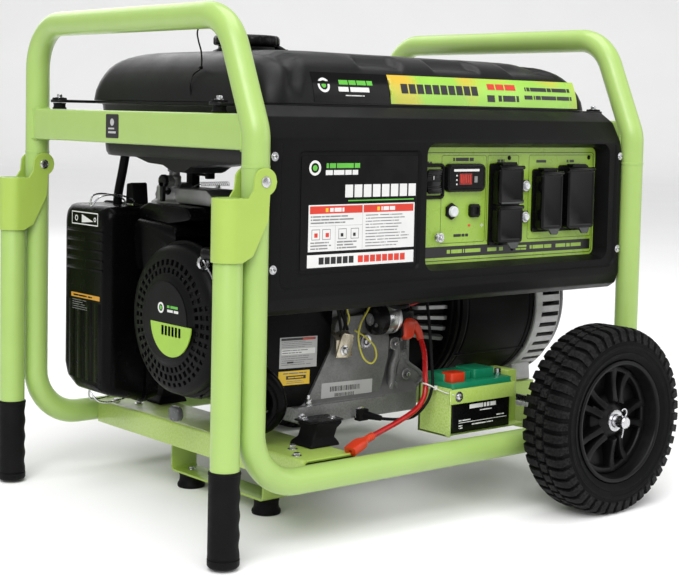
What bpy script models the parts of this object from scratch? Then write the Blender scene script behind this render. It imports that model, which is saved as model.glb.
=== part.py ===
"""Portable open-frame generator on two wheels, with two fold-down handles.

Metres, +Z up. X runs along the machine, from the handles (-X) to the wheels (+X); the control
panel faces -Y. Every piece is drawn from the frame's centre line and hangs on one empty, which
puts the middle of the whole machine at the origin and the floor at z = 0.
"""
import math

import bmesh
import bpy
from mathutils import Vector

# Frame tubes
TUBE_R = 0.016
FRAME_LENGTH = 0.650
FRAME_WIDTH = 0.500
POST_X = FRAME_LENGTH / 2
RAIL_Y = FRAME_WIDTH / 2
RAIL_Z = 0.087
SPLICE_Z = 0.452
KINK_Z = 0.491
TOP_Z = 0.624
LEAN = 0.058
RAIL_BEND_R = 0.065
TOP_BEND_R = 0.060
TUBE_SIDES = 16
GAP = 0.0003
CROSSBAR_LOW = 0.470
CROSSBAR_HIGH = 0.511
CROSSBAR_WIDTH = 0.025

# Handles
PIVOT_Z = 0.436
HANDLE_OFFSET = 0.036
HANDLE_R = 0.0168
BRACKET_INNER = 0.0165
BRACKET_OUTER = 0.0195
HANDLE_TOP = 0.418
HANDLE_LOW = 0.010
GRIP_LOW = 0.0035
GRIP_TOP = 0.113
GRIP_R = 0.0190
PIN_R = 0.004
PIN_HOLE_R = 0.0046

# Wheels and axle
WHEEL_X = 0.192
WHEEL_R = 0.1225
WHEEL_WIDTH = 0.070
WHEEL_INNER_Y = 0.290
RIM_R = 0.080
AXLE_R = 0.008
HUB_R = 0.024
AXLE_END_Y = 0.366

# Cross-members and feet
SHEET = 0.003
BEAM_TOP = 0.1035
BEAM_LOW = 0.0715
ENGINE_BEAM = (-0.235, -0.155)
FOOT_X = -0.176
FOOT_STRAP = 0.040
FOOT_HALF_SPAN = 0.105
FOOT_STRAP_LOW = 0.021
FOOT_R = 0.019
FOOT_Y = 0.085
ALTERNATOR_BEAM = (0.238, 0.288)
POST_TOP = 0.1320

# Front cover and control panel
COVER_X = 0.3070
COVER_FRONT = -0.250
COVER_BACK = -0.190
COVER_TOP_BACK = -0.2048
COVER_TOP = 0.5215
COVER_LOW = 0.280
COVER_WALL = 0.003
WELL_X = (-0.055, 0.277)
WELL_Z = (0.325, 0.474)
PANEL_FACE = -0.2260
PANEL_THICKNESS = 0.003

# Engine and alternator line
CRANK_Y = -0.035
CRANK_Z = 0.252
SHAFT_R = 0.0175
CASE_X = (-0.170, 0.030)
BLOWER_X = (-0.2680, -0.1705)
RECOIL_R = 0.095
RECOIL_X = -0.3020
ADAPTER_X = (0.0303, 0.1047)
STATOR_X = (0.1050, 0.2450)
STATOR_R = 0.1160
STATOR_BORE = 0.078
ROTOR_R = 0.0750
BELL_X = (0.2453, 0.3160)
BELL_R = 0.1190
BELL_FOOT_OFFSET = 0.055
MUFFLER_X = (0.035, 0.225)

# Tank
TANK_X = (-0.278, 0.295)
TANK_Y = (-0.203, 0.205)
SEAM_Z = 0.5240
TANK_TOP = 0.590
TANK_LOW = 0.454
FILLER_X = -0.157
CAP_R = 0.0435
CAP_TOP = 0.612
NECK_TOP = 0.5970

# Battery
BATTERY_LOW = (0.0035, -0.236, 0.1075)
BATTERY_HIGH = (0.1130, -0.182, 0.1840)
TRAY_LOW = 0.1034

# The middle of the whole machine, seen from the frame's centre line
FRAME_X = (HANDLE_OFFSET + BRACKET_OUTER - TUBE_R) / 2

LIME = ((0.38, 0.66, 0.16), 0.35, 0.0)
BLACK_PLASTIC = ((0.018, 0.018, 0.020), 0.5, 0.0)
RUBBER = ((0.02, 0.02, 0.02), 0.8, 0.0)
CAST = ((0.24, 0.24, 0.25), 0.45, 0.7)
STEEL = ((0.6, 0.6, 0.62), 0.3, 0.9)
GREEN_PLASTIC = ((0.0, 0.30, 0.13), 0.4, 0.0)
RED = ((0.65, 0.04, 0.01), 0.4, 0.0)


def clear_scene():
    """Remove every object that the new file starts with."""
    for thing in list(bpy.data.objects):
        bpy.data.objects.remove(thing, do_unlink=True)


def finish(name, look):
    """One Principled material for each finish."""
    colour, roughness, metallic = look
    material = bpy.data.materials.new(name)
    material.use_nodes = True
    shader = material.node_tree.nodes["Principled BSDF"]
    shader.inputs["Base Color"].default_value = (*colour, 1.0)
    shader.inputs["Roughness"].default_value = roughness
    shader.inputs["Metallic"].default_value = metallic
    return material


def make(name, verts, faces, look, smooth=False):
    """A mesh object from vertices and faces, with its faces turned outwards."""
    shape = bmesh.new()
    points = [shape.verts.new(v) for v in verts]
    for face in faces:
        shape.faces.new([points[i] for i in face])
    bmesh.ops.recalc_face_normals(shape, faces=shape.faces)
    mesh = bpy.data.meshes.new(name)
    shape.to_mesh(mesh)
    shape.free()
    if smooth:
        mesh.shade_smooth()
        mesh.set_sharp_from_angle(angle=math.radians(35))
    thing = bpy.data.objects.new(name, mesh)
    bpy.context.scene.collection.objects.link(thing)
    mesh.materials.append(finish(name, look))
    return thing


def loft(name, rings, look, smooth=False):
    """Closed rings of equal length, joined side by side and capped at both ends."""
    count = len(rings[0])
    verts = [point for ring in rings for point in ring]
    faces = [list(range(count)), list(range(len(verts) - count, len(verts)))]
    for row in range(len(rings) - 1):
        for i in range(count):
            a = row * count + i
            b = row * count + (i + 1) % count
            faces.append([a, b, b + count, a + count])
    return make(name, verts, faces, look, smooth)


def box(name, low, high, look):
    """A box between two corners."""
    rings = []
    for z in (low[2], high[2]):
        rings.append([(low[0], low[1], z), (high[0], low[1], z), (high[0], high[1], z),
                      (low[0], high[1], z)])
    return loft(name, rings, look)


def along_x(outline, x):
    """An outline of (y, z) points set at one x."""
    return [(x, y, z) for y, z in outline]


def along_y(outline, y):
    """An outline of (x, z) points set at one y."""
    return [(x, y, z) for x, z in outline]


def lathe(name, profile, centre, axis, look, segments=32):
    """A closed profile of (radius, distance along the axis) turned round the axis.

    Points of radius 0 lie on the axis and become one vertex each.
    """
    frames = {"X": ((0, 1, 0), (0, 0, 1), (1, 0, 0)),
              "Y": ((0, 0, 1), (1, 0, 0), (0, 1, 0)),
              "Z": ((1, 0, 0), (0, 1, 0), (0, 0, 1))}
    side, up, ahead = (Vector(v) for v in frames[axis])
    verts = []
    slots = []
    for radius, along in profile:
        if radius == 0:
            slots.append([len(verts)] * segments)
            verts.append(Vector(centre) + ahead * along)
            continue
        slots.append(list(range(len(verts), len(verts) + segments)))
        for i in range(segments):
            angle = 2 * math.pi * i / segments
            out = side * math.cos(angle) + up * math.sin(angle)
            verts.append(Vector(centre) + ahead * along + out * radius)
    faces = []
    for row in range(len(profile)):
        here = slots[row]
        there = slots[(row + 1) % len(profile)]
        if profile[row][0] == 0 and profile[(row + 1) % len(profile)][0] == 0:
            continue
        for i in range(segments):
            j = (i + 1) % segments
            ring = [here[i], here[j], there[j], there[i]]
            faces.append(list(dict.fromkeys(ring)))
    return make(name, verts, faces, look, smooth=True)


def rounded_path(corners, radii, steps=5):
    """Straight runs through the corners, each inner corner replaced by an arc of its radius."""
    path = [Vector(corners[0])]
    for before, corner, after, radius in zip(corners, corners[1:], corners[2:], radii):
        corner = Vector(corner)
        back = (Vector(before) - corner).normalized()
        ahead = (Vector(after) - corner).normalized()
        half = back.angle(ahead) / 2
        middle = corner + (back + ahead).normalized() * radius / math.sin(half)
        start = corner + back * radius / math.tan(half) - middle
        end = corner + ahead * radius / math.tan(half) - middle
        sweep = start.angle(end)
        for i in range(steps + 1):
            t = i / steps
            arm = start * math.sin((1 - t) * sweep) + end * math.sin(t * sweep)
            path.append(middle + arm / math.sin(sweep))
    path.append(Vector(corners[-1]))
    return path


def tube(name, path, radius, normal, look, sides=TUBE_SIDES):
    """A round bar along a flat path; the rings keep one corner on the path's plane normal."""
    normal = Vector(normal)
    rings = []
    for i, point in enumerate(path):
        before = (point - path[i - 1]).normalized() if i > 0 else None
        after = (path[i + 1] - point).normalized() if i < len(path) - 1 else None
        ahead = ((before or after) + (after or before)).normalized()
        stretch = 1 / ahead.dot(after or before)
        across = normal.cross(ahead) * stretch
        ring = []
        for k in range(sides):
            angle = 2 * math.pi * k / sides
            ring.append(point + (normal * math.cos(angle) + across * math.sin(angle)) * radius)
        rings.append(ring)
    return loft(name, rings, look, smooth=True)


def rod(name, start, end, radius, look, sides=24):
    """A round bar between two points on a line along X, Y or Z."""
    start = Vector(start)
    end = Vector(end)
    ahead = (end - start).normalized()
    normal = Vector((0, 0, 1)) if abs(ahead.z) < 0.5 else Vector((1, 0, 0))
    return tube(name, [start, end], radius, normal, look, sides)


def combine(thing, tool, operation):
    """Join, cut or intersect with an exact Boolean, then drop the tool."""
    step = thing.modifiers.new("combine", "BOOLEAN")
    step.operation = operation
    step.solver = "EXACT"
    step.object = tool
    bpy.context.view_layer.update()
    settled = thing.evaluated_get(bpy.context.evaluated_depsgraph_get())
    mesh = bpy.data.meshes.new_from_object(settled)
    thing.modifiers.clear()
    thing.data = mesh
    bpy.data.objects.remove(tool, do_unlink=True)
    return thing


def join(thing, *tools):
    """Union with each tool."""
    for tool in tools:
        combine(thing, tool, "UNION")
    return thing


def cut(thing, *tools):
    """Cut each tool away."""
    for tool in tools:
        combine(thing, tool, "DIFFERENCE")
    return thing


def hang_from(thing, pivot):
    """Move an object's origin to its joint without moving its shape."""
    pivot = Vector(pivot)
    for vertex in thing.data.vertices:
        vertex.co -= pivot
    thing.location = pivot
    return thing


def rounded_rectangle(x, y, radius, steps=4):
    """Points round a rectangle with round corners, from x and y ranges."""
    points = []
    corners = ((x[1], y[1], 0), (x[0], y[1], 1), (x[0], y[0], 2), (x[1], y[0], 3))
    for cx, cy, quarter in corners:
        mx = cx - radius if cx == x[1] else cx + radius
        my = cy - radius if cy == y[1] else cy + radius
        for i in range(steps + 1):
            angle = (quarter + i / steps) * math.pi / 2
            points.append((mx + radius * math.cos(angle), my + radius * math.sin(angle)))
    return points


def side_frame(name, y):
    """Bent tube: two uprights and the bottom rail, bored for the handle's pivot pin."""
    corners = [(-POST_X, y, SPLICE_Z), (-POST_X, y, RAIL_Z), (POST_X, y, RAIL_Z),
               (POST_X, y, SPLICE_Z)]
    path = rounded_path(corners, (RAIL_BEND_R, RAIL_BEND_R))
    frame = tube(name, path, TUBE_R, (0, 1, 0), LIME)
    reach = TUBE_R * 2
    bore = rod("bore", (-POST_X, y - reach, PIVOT_Z), (-POST_X, y + reach, PIVOT_Z), PIN_HOLE_R,
               LIME, sides=12)
    return cut(frame, bore)


def end_hoop(name, x):
    """The upper end of the frame: leaning front leg, top bar, rear leg and crossbar."""
    foot = SPLICE_Z + GAP
    corners = [(x, -RAIL_Y, foot), (x, -RAIL_Y, KINK_Z), (x, -RAIL_Y + LEAN, TOP_Z),
               (x, RAIL_Y, TOP_Z), (x, RAIL_Y, foot)]
    path = rounded_path(corners, (0.05, TOP_BEND_R, TOP_BEND_R))
    hoop = tube(name, path, TUBE_R, (1, 0, 0), LIME)
    half = CROSSBAR_WIDTH / 2
    inset = 0.010
    outline = [(-RAIL_Y + inset, CROSSBAR_LOW), (RAIL_Y - inset, CROSSBAR_LOW),
               (RAIL_Y - inset, CROSSBAR_HIGH), (-RAIL_Y + inset, CROSSBAR_HIGH)]
    bar = loft("bar", [along_x(outline, x - half), along_x(outline, x + half)], LIME)
    return join(hoop, bar)


def channel(name, x, low, high, half_width, wall):
    """Inverted channel across the frame, between the two bottom rails."""
    outline = [(x[0], low), (x[0] + wall, low), (x[0] + wall, high - wall),
               (x[1] - wall, high - wall), (x[1] - wall, low), (x[1], low), (x[1], high),
               (x[0], high)]
    return loft(name, [along_y(outline, -half_width), along_y(outline, half_width)], LIME)


def engine_crossmember():
    """Wide channel under the engine with the foot bracket's strap below it."""
    half = RAIL_Y - TUBE_R - GAP
    beam = channel("engine_crossmember", ENGINE_BEAM, BEAM_LOW, BEAM_TOP, half, SHEET)
    top = BEAM_TOP - SHEET / 2
    flare = FOOT_HALF_SPAN
    outline = [(-flare, top), (-flare, FOOT_STRAP_LOW), (flare, FOOT_STRAP_LOW), (flare, top),
               (flare - SHEET, top), (flare - SHEET, FOOT_STRAP_LOW + SHEET),
               (-flare + SHEET, FOOT_STRAP_LOW + SHEET), (-flare + SHEET, top)]
    low = FOOT_X - FOOT_STRAP / 2
    strap = loft("strap", [along_x(outline, low), along_x(outline, low + FOOT_STRAP)], LIME)
    return join(beam, strap)


def alternator_crossmember():
    """Narrow channel with two posts that carry the end bell's feet."""
    half = RAIL_Y - TUBE_R - GAP
    beam = channel("alternator_crossmember", ALTERNATOR_BEAM, BEAM_LOW, BEAM_TOP, half, SHEET)
    for side in (-1, 1):
        centre = CRANK_Y + side * BELL_FOOT_OFFSET
        post = box("post", (ALTERNATOR_BEAM[0], centre - 0.025, BEAM_TOP - SHEET / 2),
                   (ALTERNATOR_BEAM[1], centre + 0.025, POST_TOP), LIME)
        join(beam, post)
    return beam


def foot(name, y):
    """Rubber foot, turned: wide at the floor, narrower at the strap."""
    top = FOOT_STRAP_LOW - GAP
    profile = [(0, 0), (FOOT_R - 0.002, 0), (FOOT_R, 0.003), (FOOT_R - 0.003, top), (0, top)]
    return lathe(name, profile, (FOOT_X, y, 0), "Z", RUBBER, 24)


def axle():
    """Axle bar across the machine on two saddles that stand on the bottom rails."""
    bar = rod("axle", (WHEEL_X, -AXLE_END_Y, WHEEL_R), (WHEEL_X, AXLE_END_Y, WHEEL_R), AXLE_R,
              STEEL, sides=16)
    floor = RAIL_Z + TUBE_R + GAP
    for side in (-1, 1):
        saddle = box("saddle", (WHEEL_X - 0.022, side * RAIL_Y - 0.018, floor),
                     (WHEEL_X + 0.022, side * RAIL_Y + 0.018, WHEEL_R + 0.012), LIME)
        join(bar, saddle)
    return bar


def tyre(name, side):
    """Solid rubber tyre with a square shoulder."""
    half = WHEEL_WIDTH / 2
    centre = (WHEEL_X, side * (WHEEL_INNER_Y + half), WHEEL_R)
    seat = RIM_R + GAP
    profile = [(seat, -half + 0.004), (seat + 0.012, -half), (WHEEL_R - 0.014, -half),
               (WHEEL_R - 0.003, -half + 0.010), (WHEEL_R, -half + 0.022),
               (WHEEL_R, half - 0.022), (WHEEL_R - 0.003, half - 0.010),
               (WHEEL_R - 0.014, half), (seat + 0.012, half), (seat, half - 0.004)]
    return hang_from(lathe(name, profile, centre, "Y", RUBBER, 40), centre)


def rim(name, side):
    """Deep-dished rim: barrel, web set back from the outer edge, and a long hub."""
    half = WHEEL_WIDTH / 2
    centre = (WHEEL_X, side * (WHEEL_INNER_Y + half), WHEEL_R)
    barrel = 0.0035
    bore = AXLE_R + 0.0005
    out = half - 0.004
    web = 0.004
    profile = [(bore, -half + 0.004), (HUB_R, -half + 0.004), (HUB_R, web),
               (RIM_R - barrel, web), (RIM_R - barrel, -out), (RIM_R, -out), (RIM_R, out),
               (RIM_R - barrel, out), (RIM_R - barrel, web + 0.006), (HUB_R, web + 0.006),
               (HUB_R, half - 0.008), (bore, half - 0.008)]
    if side < 0:
        profile = [(radius, -along) for radius, along in profile]
    return hang_from(lathe(name, profile, centre, "Y", BLACK_PLASTIC, 40), centre)


def handle(name, side):
    """Handle tube, its U bracket round the upright and the pivot pin."""
    y = side * RAIL_Y
    x = -POST_X - HANDLE_OFFSET
    stick = rod(name, (x, y, HANDLE_LOW), (x, y, HANDLE_TOP), HANDLE_R, LIME, TUBE_SIDES)
    join(stick, bracket(x, y))
    head = BRACKET_OUTER + 0.002
    pin = rod("pin", (-POST_X, y - head, PIVOT_Z), (-POST_X, y + head, PIVOT_Z), PIN_R, STEEL, 12)
    join(stick, pin)
    return hang_from(stick, (-POST_X, y, PIVOT_Z))


def bracket(x, y):
    """Sheet bent round the handle, with an ear on each side of the upright."""
    steps = 8
    low = PIVOT_Z - 0.089
    high = HANDLE_TOP - 0.001
    ear_end = -POST_X + 0.014

    def bent(radius):
        points = []
        for i in range(steps + 1):
            angle = math.pi / 2 + math.pi * i / steps
            points.append((x + radius * math.cos(angle), y + radius * math.sin(angle)))
        return points

    outer = bent(BRACKET_OUTER)
    inner = bent(BRACKET_INNER)[::-1]
    outline = ([(ear_end, y + BRACKET_OUTER)] + outer + [(ear_end, y - BRACKET_OUTER)]
               + [(ear_end, y - BRACKET_INNER)] + inner + [(ear_end, y + BRACKET_INNER)])
    top = PIVOT_Z + 0.016
    sheet = loft("sheet", [[(px, py, z) for px, py in outline] for z in (low, top)], LIME)
    # The side view of the bracket: round ear at the pin, slanted lower corner.
    side_view = [(x - 0.022, low - 0.001), (x + 0.006, low - 0.001), (x + 0.022, low + 0.007),
                 (-POST_X + 0.0135, PIVOT_Z - 0.030), (-POST_X + 0.0155, PIVOT_Z)]
    for i in range(1, 7):
        angle = math.pi * i / 7
        side_view.append((-POST_X + 0.0155 * math.cos(angle), PIVOT_Z + 0.0155 * math.sin(angle)))
    side_view += [(-POST_X - 0.0155, PIVOT_Z - 0.008), (-POST_X - 0.020, high), (x - 0.022, high)]
    reach = BRACKET_OUTER + 0.002
    keep = loft("keep", [along_y(side_view, y - reach), along_y(side_view, y + reach)], LIME)
    return combine(sheet, keep, "INTERSECT")


def grip(name, side):
    """Rubber sleeve with a closed lower end."""
    bore = HANDLE_R + GAP
    floor = HANDLE_LOW - GAP
    profile = [(0, GRIP_LOW), (GRIP_R - 0.002, GRIP_LOW), (GRIP_R, GRIP_LOW + 0.003),
               (GRIP_R, GRIP_TOP), (bore, GRIP_TOP), (bore, floor), (0, floor)]
    centre = (-POST_X - HANDLE_OFFSET, side * RAIL_Y, 0)
    sleeve = lathe(name, profile, centre, "Z", RUBBER, 24)
    return hang_from(sleeve, (-POST_X, side * RAIL_Y, PIVOT_Z))


def front_cover():
    """Moulded front housing: a shell open at the back, with the well of the control panel."""
    outline = [(COVER_TOP_BACK, COVER_TOP), (-0.212, COVER_TOP), (-0.232, 0.509), (-0.2465, 0.484),
               (COVER_FRONT, 0.468), (COVER_FRONT, 0.300), (-0.2455, 0.287), (-0.235, COVER_LOW),
               (COVER_BACK, COVER_LOW)]
    inner = [(COVER_BACK + 0.01, COVER_TOP - COVER_WALL), (-0.211, COVER_TOP - COVER_WALL),
             (-0.2300, 0.507), (-0.2437, 0.483), (COVER_FRONT + COVER_WALL, 0.4675),
             (COVER_FRONT + COVER_WALL, 0.3005), (-0.2432, 0.2889),
             (-0.234, COVER_LOW + COVER_WALL), (COVER_BACK + 0.01, COVER_LOW + COVER_WALL)]
    shell = loft("front_cover", [along_x(outline, -COVER_X), along_x(outline, COVER_X)],
                 BLACK_PLASTIC)
    room_x = COVER_X - COVER_WALL
    cut(shell, loft("room", [along_x(inner, -room_x), along_x(inner, room_x)], BLACK_PLASTIC))
    wall = COVER_WALL
    back = PANEL_FACE - GAP
    join(shell, box("well", (WELL_X[0] - wall, COVER_FRONT + 0.001, WELL_Z[0] - wall),
                    (WELL_X[1] + wall, back, WELL_Z[1] + wall), BLACK_PLASTIC))
    return cut(shell, box("mouth", (WELL_X[0], COVER_FRONT - 0.01, WELL_Z[0]),
                          (WELL_X[1], back + 0.01, WELL_Z[1]), BLACK_PLASTIC))


def panel_part(name, x, z, front, look):
    """A block that stands on the control panel, from x and z ranges to its front."""
    return box(name, (x[0], front, z[0]), (x[1], PANEL_FACE - GAP, z[1]), look)


# Places of the panel's parts: x range and z range
SWITCH = ((-0.0455, -0.0165), (0.413, 0.449))
METER = ((-0.0115, 0.0560), (0.417, 0.453))
DC_BUTTON = (0.0020, 0.3925)
DUPLEX = ((0.0690, 0.1200), (0.346, 0.453))
TWIST = ((0.1500, 0.1965), (0.361, 0.445))
RANGE = ((0.2010, 0.2600), (0.361, 0.450))
BREAKER_X = 0.1350
BREAKER_Z = (0.4230, 0.3820)
BREAKER_R = 0.0048


def control_panel():
    """Lime plate behind the well, with holes for the buttons and the switch."""
    wall = COVER_WALL
    plate = box("control_panel", (WELL_X[0] - wall, PANEL_FACE, WELL_Z[0] - wall),
                (WELL_X[1] + wall, PANEL_FACE + PANEL_THICKNESS, WELL_Z[1] + wall), LIME)
    switch_x, switch_z = SWITCH
    deep = PANEL_FACE + 0.02
    cut(plate, box("slot", (switch_x[0], PANEL_FACE - 0.01, switch_z[0]),
                   (switch_x[1], deep, switch_z[1]), LIME))
    holes = [(BREAKER_X, z, BREAKER_R + 0.0005) for z in BREAKER_Z]
    holes.append((*DC_BUTTON, 0.0075))
    for x, z, radius in holes:
        cut(plate, rod("hole", (x, PANEL_FACE - 0.01, z), (x, deep, z), radius, LIME, 16))
    return plate


def engine_switch():
    """Rocker with a raised upper half, hinged across its middle."""
    (x0, x1), (z0, z1) = SWITCH
    inset = 0.0025
    middle = (z0 + z1) / 2
    front = PANEL_FACE - 0.006
    outline = [(front + 0.001, z0 + inset), (front + 0.003, middle), (front + 0.001, z1 - inset),
               (PANEL_FACE + 0.008, middle + 0.006), (PANEL_FACE + 0.008, middle - 0.006)]
    rocker = loft("engine_switch", [along_x(outline, x0 + inset), along_x(outline, x1 - inset)],
                  BLACK_PLASTIC)
    return hang_from(rocker, ((x0 + x1) / 2, PANEL_FACE + 0.001, middle))


def push_button(name, x, z, radius, look):
    """Round push button that slides back through its hole in the panel."""
    profile = [(0, PANEL_FACE - 0.0085), (radius - 0.001, PANEL_FACE - 0.0085),
               (radius, PANEL_FACE - 0.0075), (radius, PANEL_FACE + 0.010),
               (0, PANEL_FACE + 0.010)]
    return hang_from(lathe(name, profile, (x, 0, z), "Y", look, 16), (x, PANEL_FACE, z))


def outlet(name, spot, front):
    """Outlet body with a proud face for the flap to close on."""
    (x0, x1), (z0, z1) = spot
    body = panel_part(name, (x0, x1), (z0, z1), PANEL_FACE - 0.003, BLACK_PLASTIC)
    face = box("face", (x0 + 0.006, front, z0 + 0.006), (x1 - 0.006, PANEL_FACE - 0.002, z1 - 0.012),
               BLACK_PLASTIC)
    return join(body, face)


def flap(name, x, z, front):
    """Hinged cover: a front plate with a roll along its top edge."""
    thickness = 0.0035
    plate = box(name, (x[0] + 0.003, front - thickness, z[0] + 0.004),
                (x[1] - 0.003, front - GAP, z[1] - 0.004), BLACK_PLASTIC)
    hinge_y = front - 0.0031
    hinge_z = z[1] - 0.005
    roll = rod("roll", (x[0] + 0.003, hinge_y, hinge_z), (x[1] - 0.003, hinge_y, hinge_z), 0.0028,
               BLACK_PLASTIC, 10)
    join(plate, roll)
    return hang_from(plate, ((x[0] + x[1]) / 2, hinge_y, hinge_z))


def panel_parts():
    """Everything that sits on the control panel."""
    control_panel()
    engine_switch()
    panel_part("digital_meter", METER[0], METER[1], PANEL_FACE - 0.008, BLACK_PLASTIC)
    push_button("dc_breaker_button", *DC_BUTTON, 0.0070, STEEL)
    for name, z in zip(("breaker_button_upper", "breaker_button_lower"), BREAKER_Z):
        push_button(name, BREAKER_X, z, BREAKER_R, STEEL)
    front = PANEL_FACE - 0.014
    for name, spot in (("duplex_outlet", DUPLEX), ("twist_lock_outlet", TWIST),
                       ("range_outlet", RANGE)):
        outlet(name, spot, front)
    middle = (DUPLEX[1][0] + DUPLEX[1][1]) / 2
    flap("duplex_flap_upper", DUPLEX[0], (middle - 0.003, DUPLEX[1][1]), front)
    flap("duplex_flap_lower", DUPLEX[0], (DUPLEX[1][0], middle + 0.002), front)
    flap("twist_lock_flap", TWIST[0], TWIST[1], front)
    flap("range_flap", RANGE[0], RANGE[1], front)


def crankcase():
    """Crankcase with its cast-in barrel leaning to the rear, and the crankshaft's bore."""
    outline = [(-0.145, 0.122), (0.125, 0.122), (0.125, 0.148), (0.100, 0.160), (0.100, 0.210),
               (0.150, 0.250), (0.100, 0.355), (-0.020, 0.365), (-0.085, 0.345), (-0.118, 0.305),
               (-0.128, 0.262), (-0.128, 0.165), (-0.145, 0.148)]
    case = loft("crankcase", [along_x(outline, x) for x in CASE_X], CAST)
    bore = rod("bore", (CASE_X[0] - 0.01, CRANK_Y, CRANK_Z), (CASE_X[1] + 0.01, CRANK_Y, CRANK_Z),
               SHAFT_R + 0.010, CAST, 20)
    return cut(case, bore)


def cylinder_head():
    """Head and rocker cover, square to the leaning barrel."""
    foot_low = Vector((0.150, 0.250))
    foot_high = Vector((0.100, 0.355))
    rise = (foot_high - foot_low).normalized()
    out = Vector((rise.y, -rise.x))
    low = foot_low + out * GAP
    high = foot_high + out * GAP
    outline = [low, low + out * 0.038, low + out * 0.058 + rise * 0.012,
               high + out * 0.058 - rise * 0.012, high + out * 0.038, high]
    return loft("cylinder_head", [along_x([tuple(p) for p in outline], x) for x in
                                  (-0.135, -0.015)], CAST)


def blower_housing():
    """Shroud round the flywheel, open to the recoil cover, with a duct up to the barrel."""
    radius = 0.102
    outline = []
    for i in range(13):
        angle = math.radians(130 + 200 * i / 12)
        outline.append((CRANK_Y + radius * math.cos(angle), CRANK_Z + radius * math.sin(angle)))
    outline += [(0.092, 0.300), (0.098, 0.372), (-0.040, 0.366)]
    wall = 0.003
    shroud = loft("blower_housing", [along_x(outline, x) for x in BLOWER_X], BLACK_PLASTIC)
    centre_y, centre_z = CRANK_Y, CRANK_Z
    room = rod("room", (BLOWER_X[0] - 0.01, centre_y, centre_z),
               (BLOWER_X[1] - wall, centre_y, centre_z), 0.092, BLACK_PLASTIC, 32)
    bore = rod("bore", (BLOWER_X[0], centre_y, centre_z), (BLOWER_X[1] + 0.01, centre_y, centre_z),
               SHAFT_R + 0.010, BLACK_PLASTIC, 20)
    return cut(shroud, room, bore)


def recoil_cover():
    """Domed round cover over the recoil starter."""
    seat = BLOWER_X[0] - GAP
    skin = 0.0025
    profile = [(0, RECOIL_X), (0.050, RECOIL_X + 0.001), (0.057, RECOIL_X + 0.004),
               (0.086, RECOIL_X + 0.009), (RECOIL_R, RECOIL_X + 0.020), (RECOIL_R, seat),
               (RECOIL_R - skin, seat), (RECOIL_R - skin, RECOIL_X + 0.021),
               (0.085, RECOIL_X + 0.0115), (0.056, RECOIL_X + 0.0065),
               (0.049, RECOIL_X + 0.0035), (0, RECOIL_X + skin)]
    return lathe("recoil_cover", profile, (0, CRANK_Y, CRANK_Z), "X", BLACK_PLASTIC, 40)


def recoil_grip():
    """Pull grip that sits at the cover's upper front edge."""
    centre = (-0.285, CRANK_Y - 0.080, CRANK_Z + 0.088)
    profile = [(0, -0.020), (0.006, -0.019), (0.0085, -0.008), (0.0085, 0.008), (0.006, 0.019),
               (0, 0.020)]
    return hang_from(lathe("recoil_grip", profile, centre, "Y", BLACK_PLASTIC, 16), centre)


def crank_line():
    """The crankshaft with the rotor on it, and the flywheel at its other end."""
    start = BLOWER_X[0] + 0.006
    profile = [(0, start), (SHAFT_R, start), (SHAFT_R, STATOR_X[0] + 0.006),
               (ROTOR_R, STATOR_X[0] + 0.006), (ROTOR_R, STATOR_X[1] - 0.006),
               (SHAFT_R, STATOR_X[1] - 0.006), (SHAFT_R, BELL_X[1] - 0.020),
               (0, BELL_X[1] - 0.020)]
    lathe("crankshaft", profile, (0, CRANK_Y, CRANK_Z), "X", STEEL, 24)
    bore = SHAFT_R + GAP
    low = start + 0.003
    high = BLOWER_X[1] - 0.008
    profile = [(bore, low), (0.050, low), (0.060, low + 0.012), (0.088, low + 0.012),
               (0.088, high), (bore, high)]
    lathe("flywheel", profile, (0, CRANK_Y, CRANK_Z), "X", CAST, 32)


def alternator():
    """Adapter, stator ring and closed end bell, all on the crankshaft's line."""
    centre = (0, CRANK_Y, CRANK_Z)
    start, end = ADAPTER_X
    bore = SHAFT_R + 0.010
    flange = end - 0.022
    profile = [(bore, start), (0.080, start), (0.104, flange - 0.012), (0.104, flange),
               (0.1185, flange), (0.1185, end), (0.085, end), (0.085, end - 0.010),
               (bore, end - 0.020)]
    lathe("alternator_adapter", profile, centre, "X", CAST, 40)
    start, end = STATOR_X
    profile = [(STATOR_BORE, start), (STATOR_R, start), (STATOR_R, end), (STATOR_BORE, end)]
    lathe("stator", profile, centre, "X", BLACK_PLASTIC, 40)
    start, end = BELL_X
    shoulder = end - 0.020
    profile = [(0.100, start), (BELL_R, start), (BELL_R, shoulder), (0.111, shoulder + 0.002),
               (0.108, end - 0.003), (0.100, end), (0, end), (0, end - 0.003),
               (0.097, end - 0.003), (0.100, shoulder)]
    bell = lathe("alternator_end_bell", profile, centre, "X", CAST, 40)
    for side in (-1, 1):
        middle = CRANK_Y + side * BELL_FOOT_OFFSET
        foot_pad = box("pad", (start + 0.001, middle - 0.020, POST_TOP + GAP),
                       (shoulder - 0.012, middle + 0.020, CRANK_Z - 0.086), CAST)
        join(bell, foot_pad)


def air_cleaner():
    """Base on the engine side and the removable cover."""
    y = (0.108, 0.224)
    z = (0.132, 0.384)
    split = -0.238
    outline = rounded_rectangle(y, z, 0.014)
    loft("airbox_base", [along_x(outline, split + GAP), along_x(outline, -0.212)], BLACK_PLASTIC)
    near = rounded_rectangle((y[0] + 0.006, y[1] - 0.004), (z[0] + 0.006, z[1] - 0.006), 0.014)
    loft("airbox_cover", [along_x(near, -0.300), along_x(outline, -0.292), along_x(outline, split)],
         BLACK_PLASTIC)


def carburetor():
    """Carburettor body between the air cleaner and the head."""
    body = box("carburetor", (-0.2075, 0.115, 0.300), (-0.1708, 0.150, 0.372), CAST)
    bowl = rod("bowl", (-0.189, 0.132, 0.272), (-0.189, 0.132, 0.305), 0.015, CAST, 16)
    return join(body, bowl)


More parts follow.
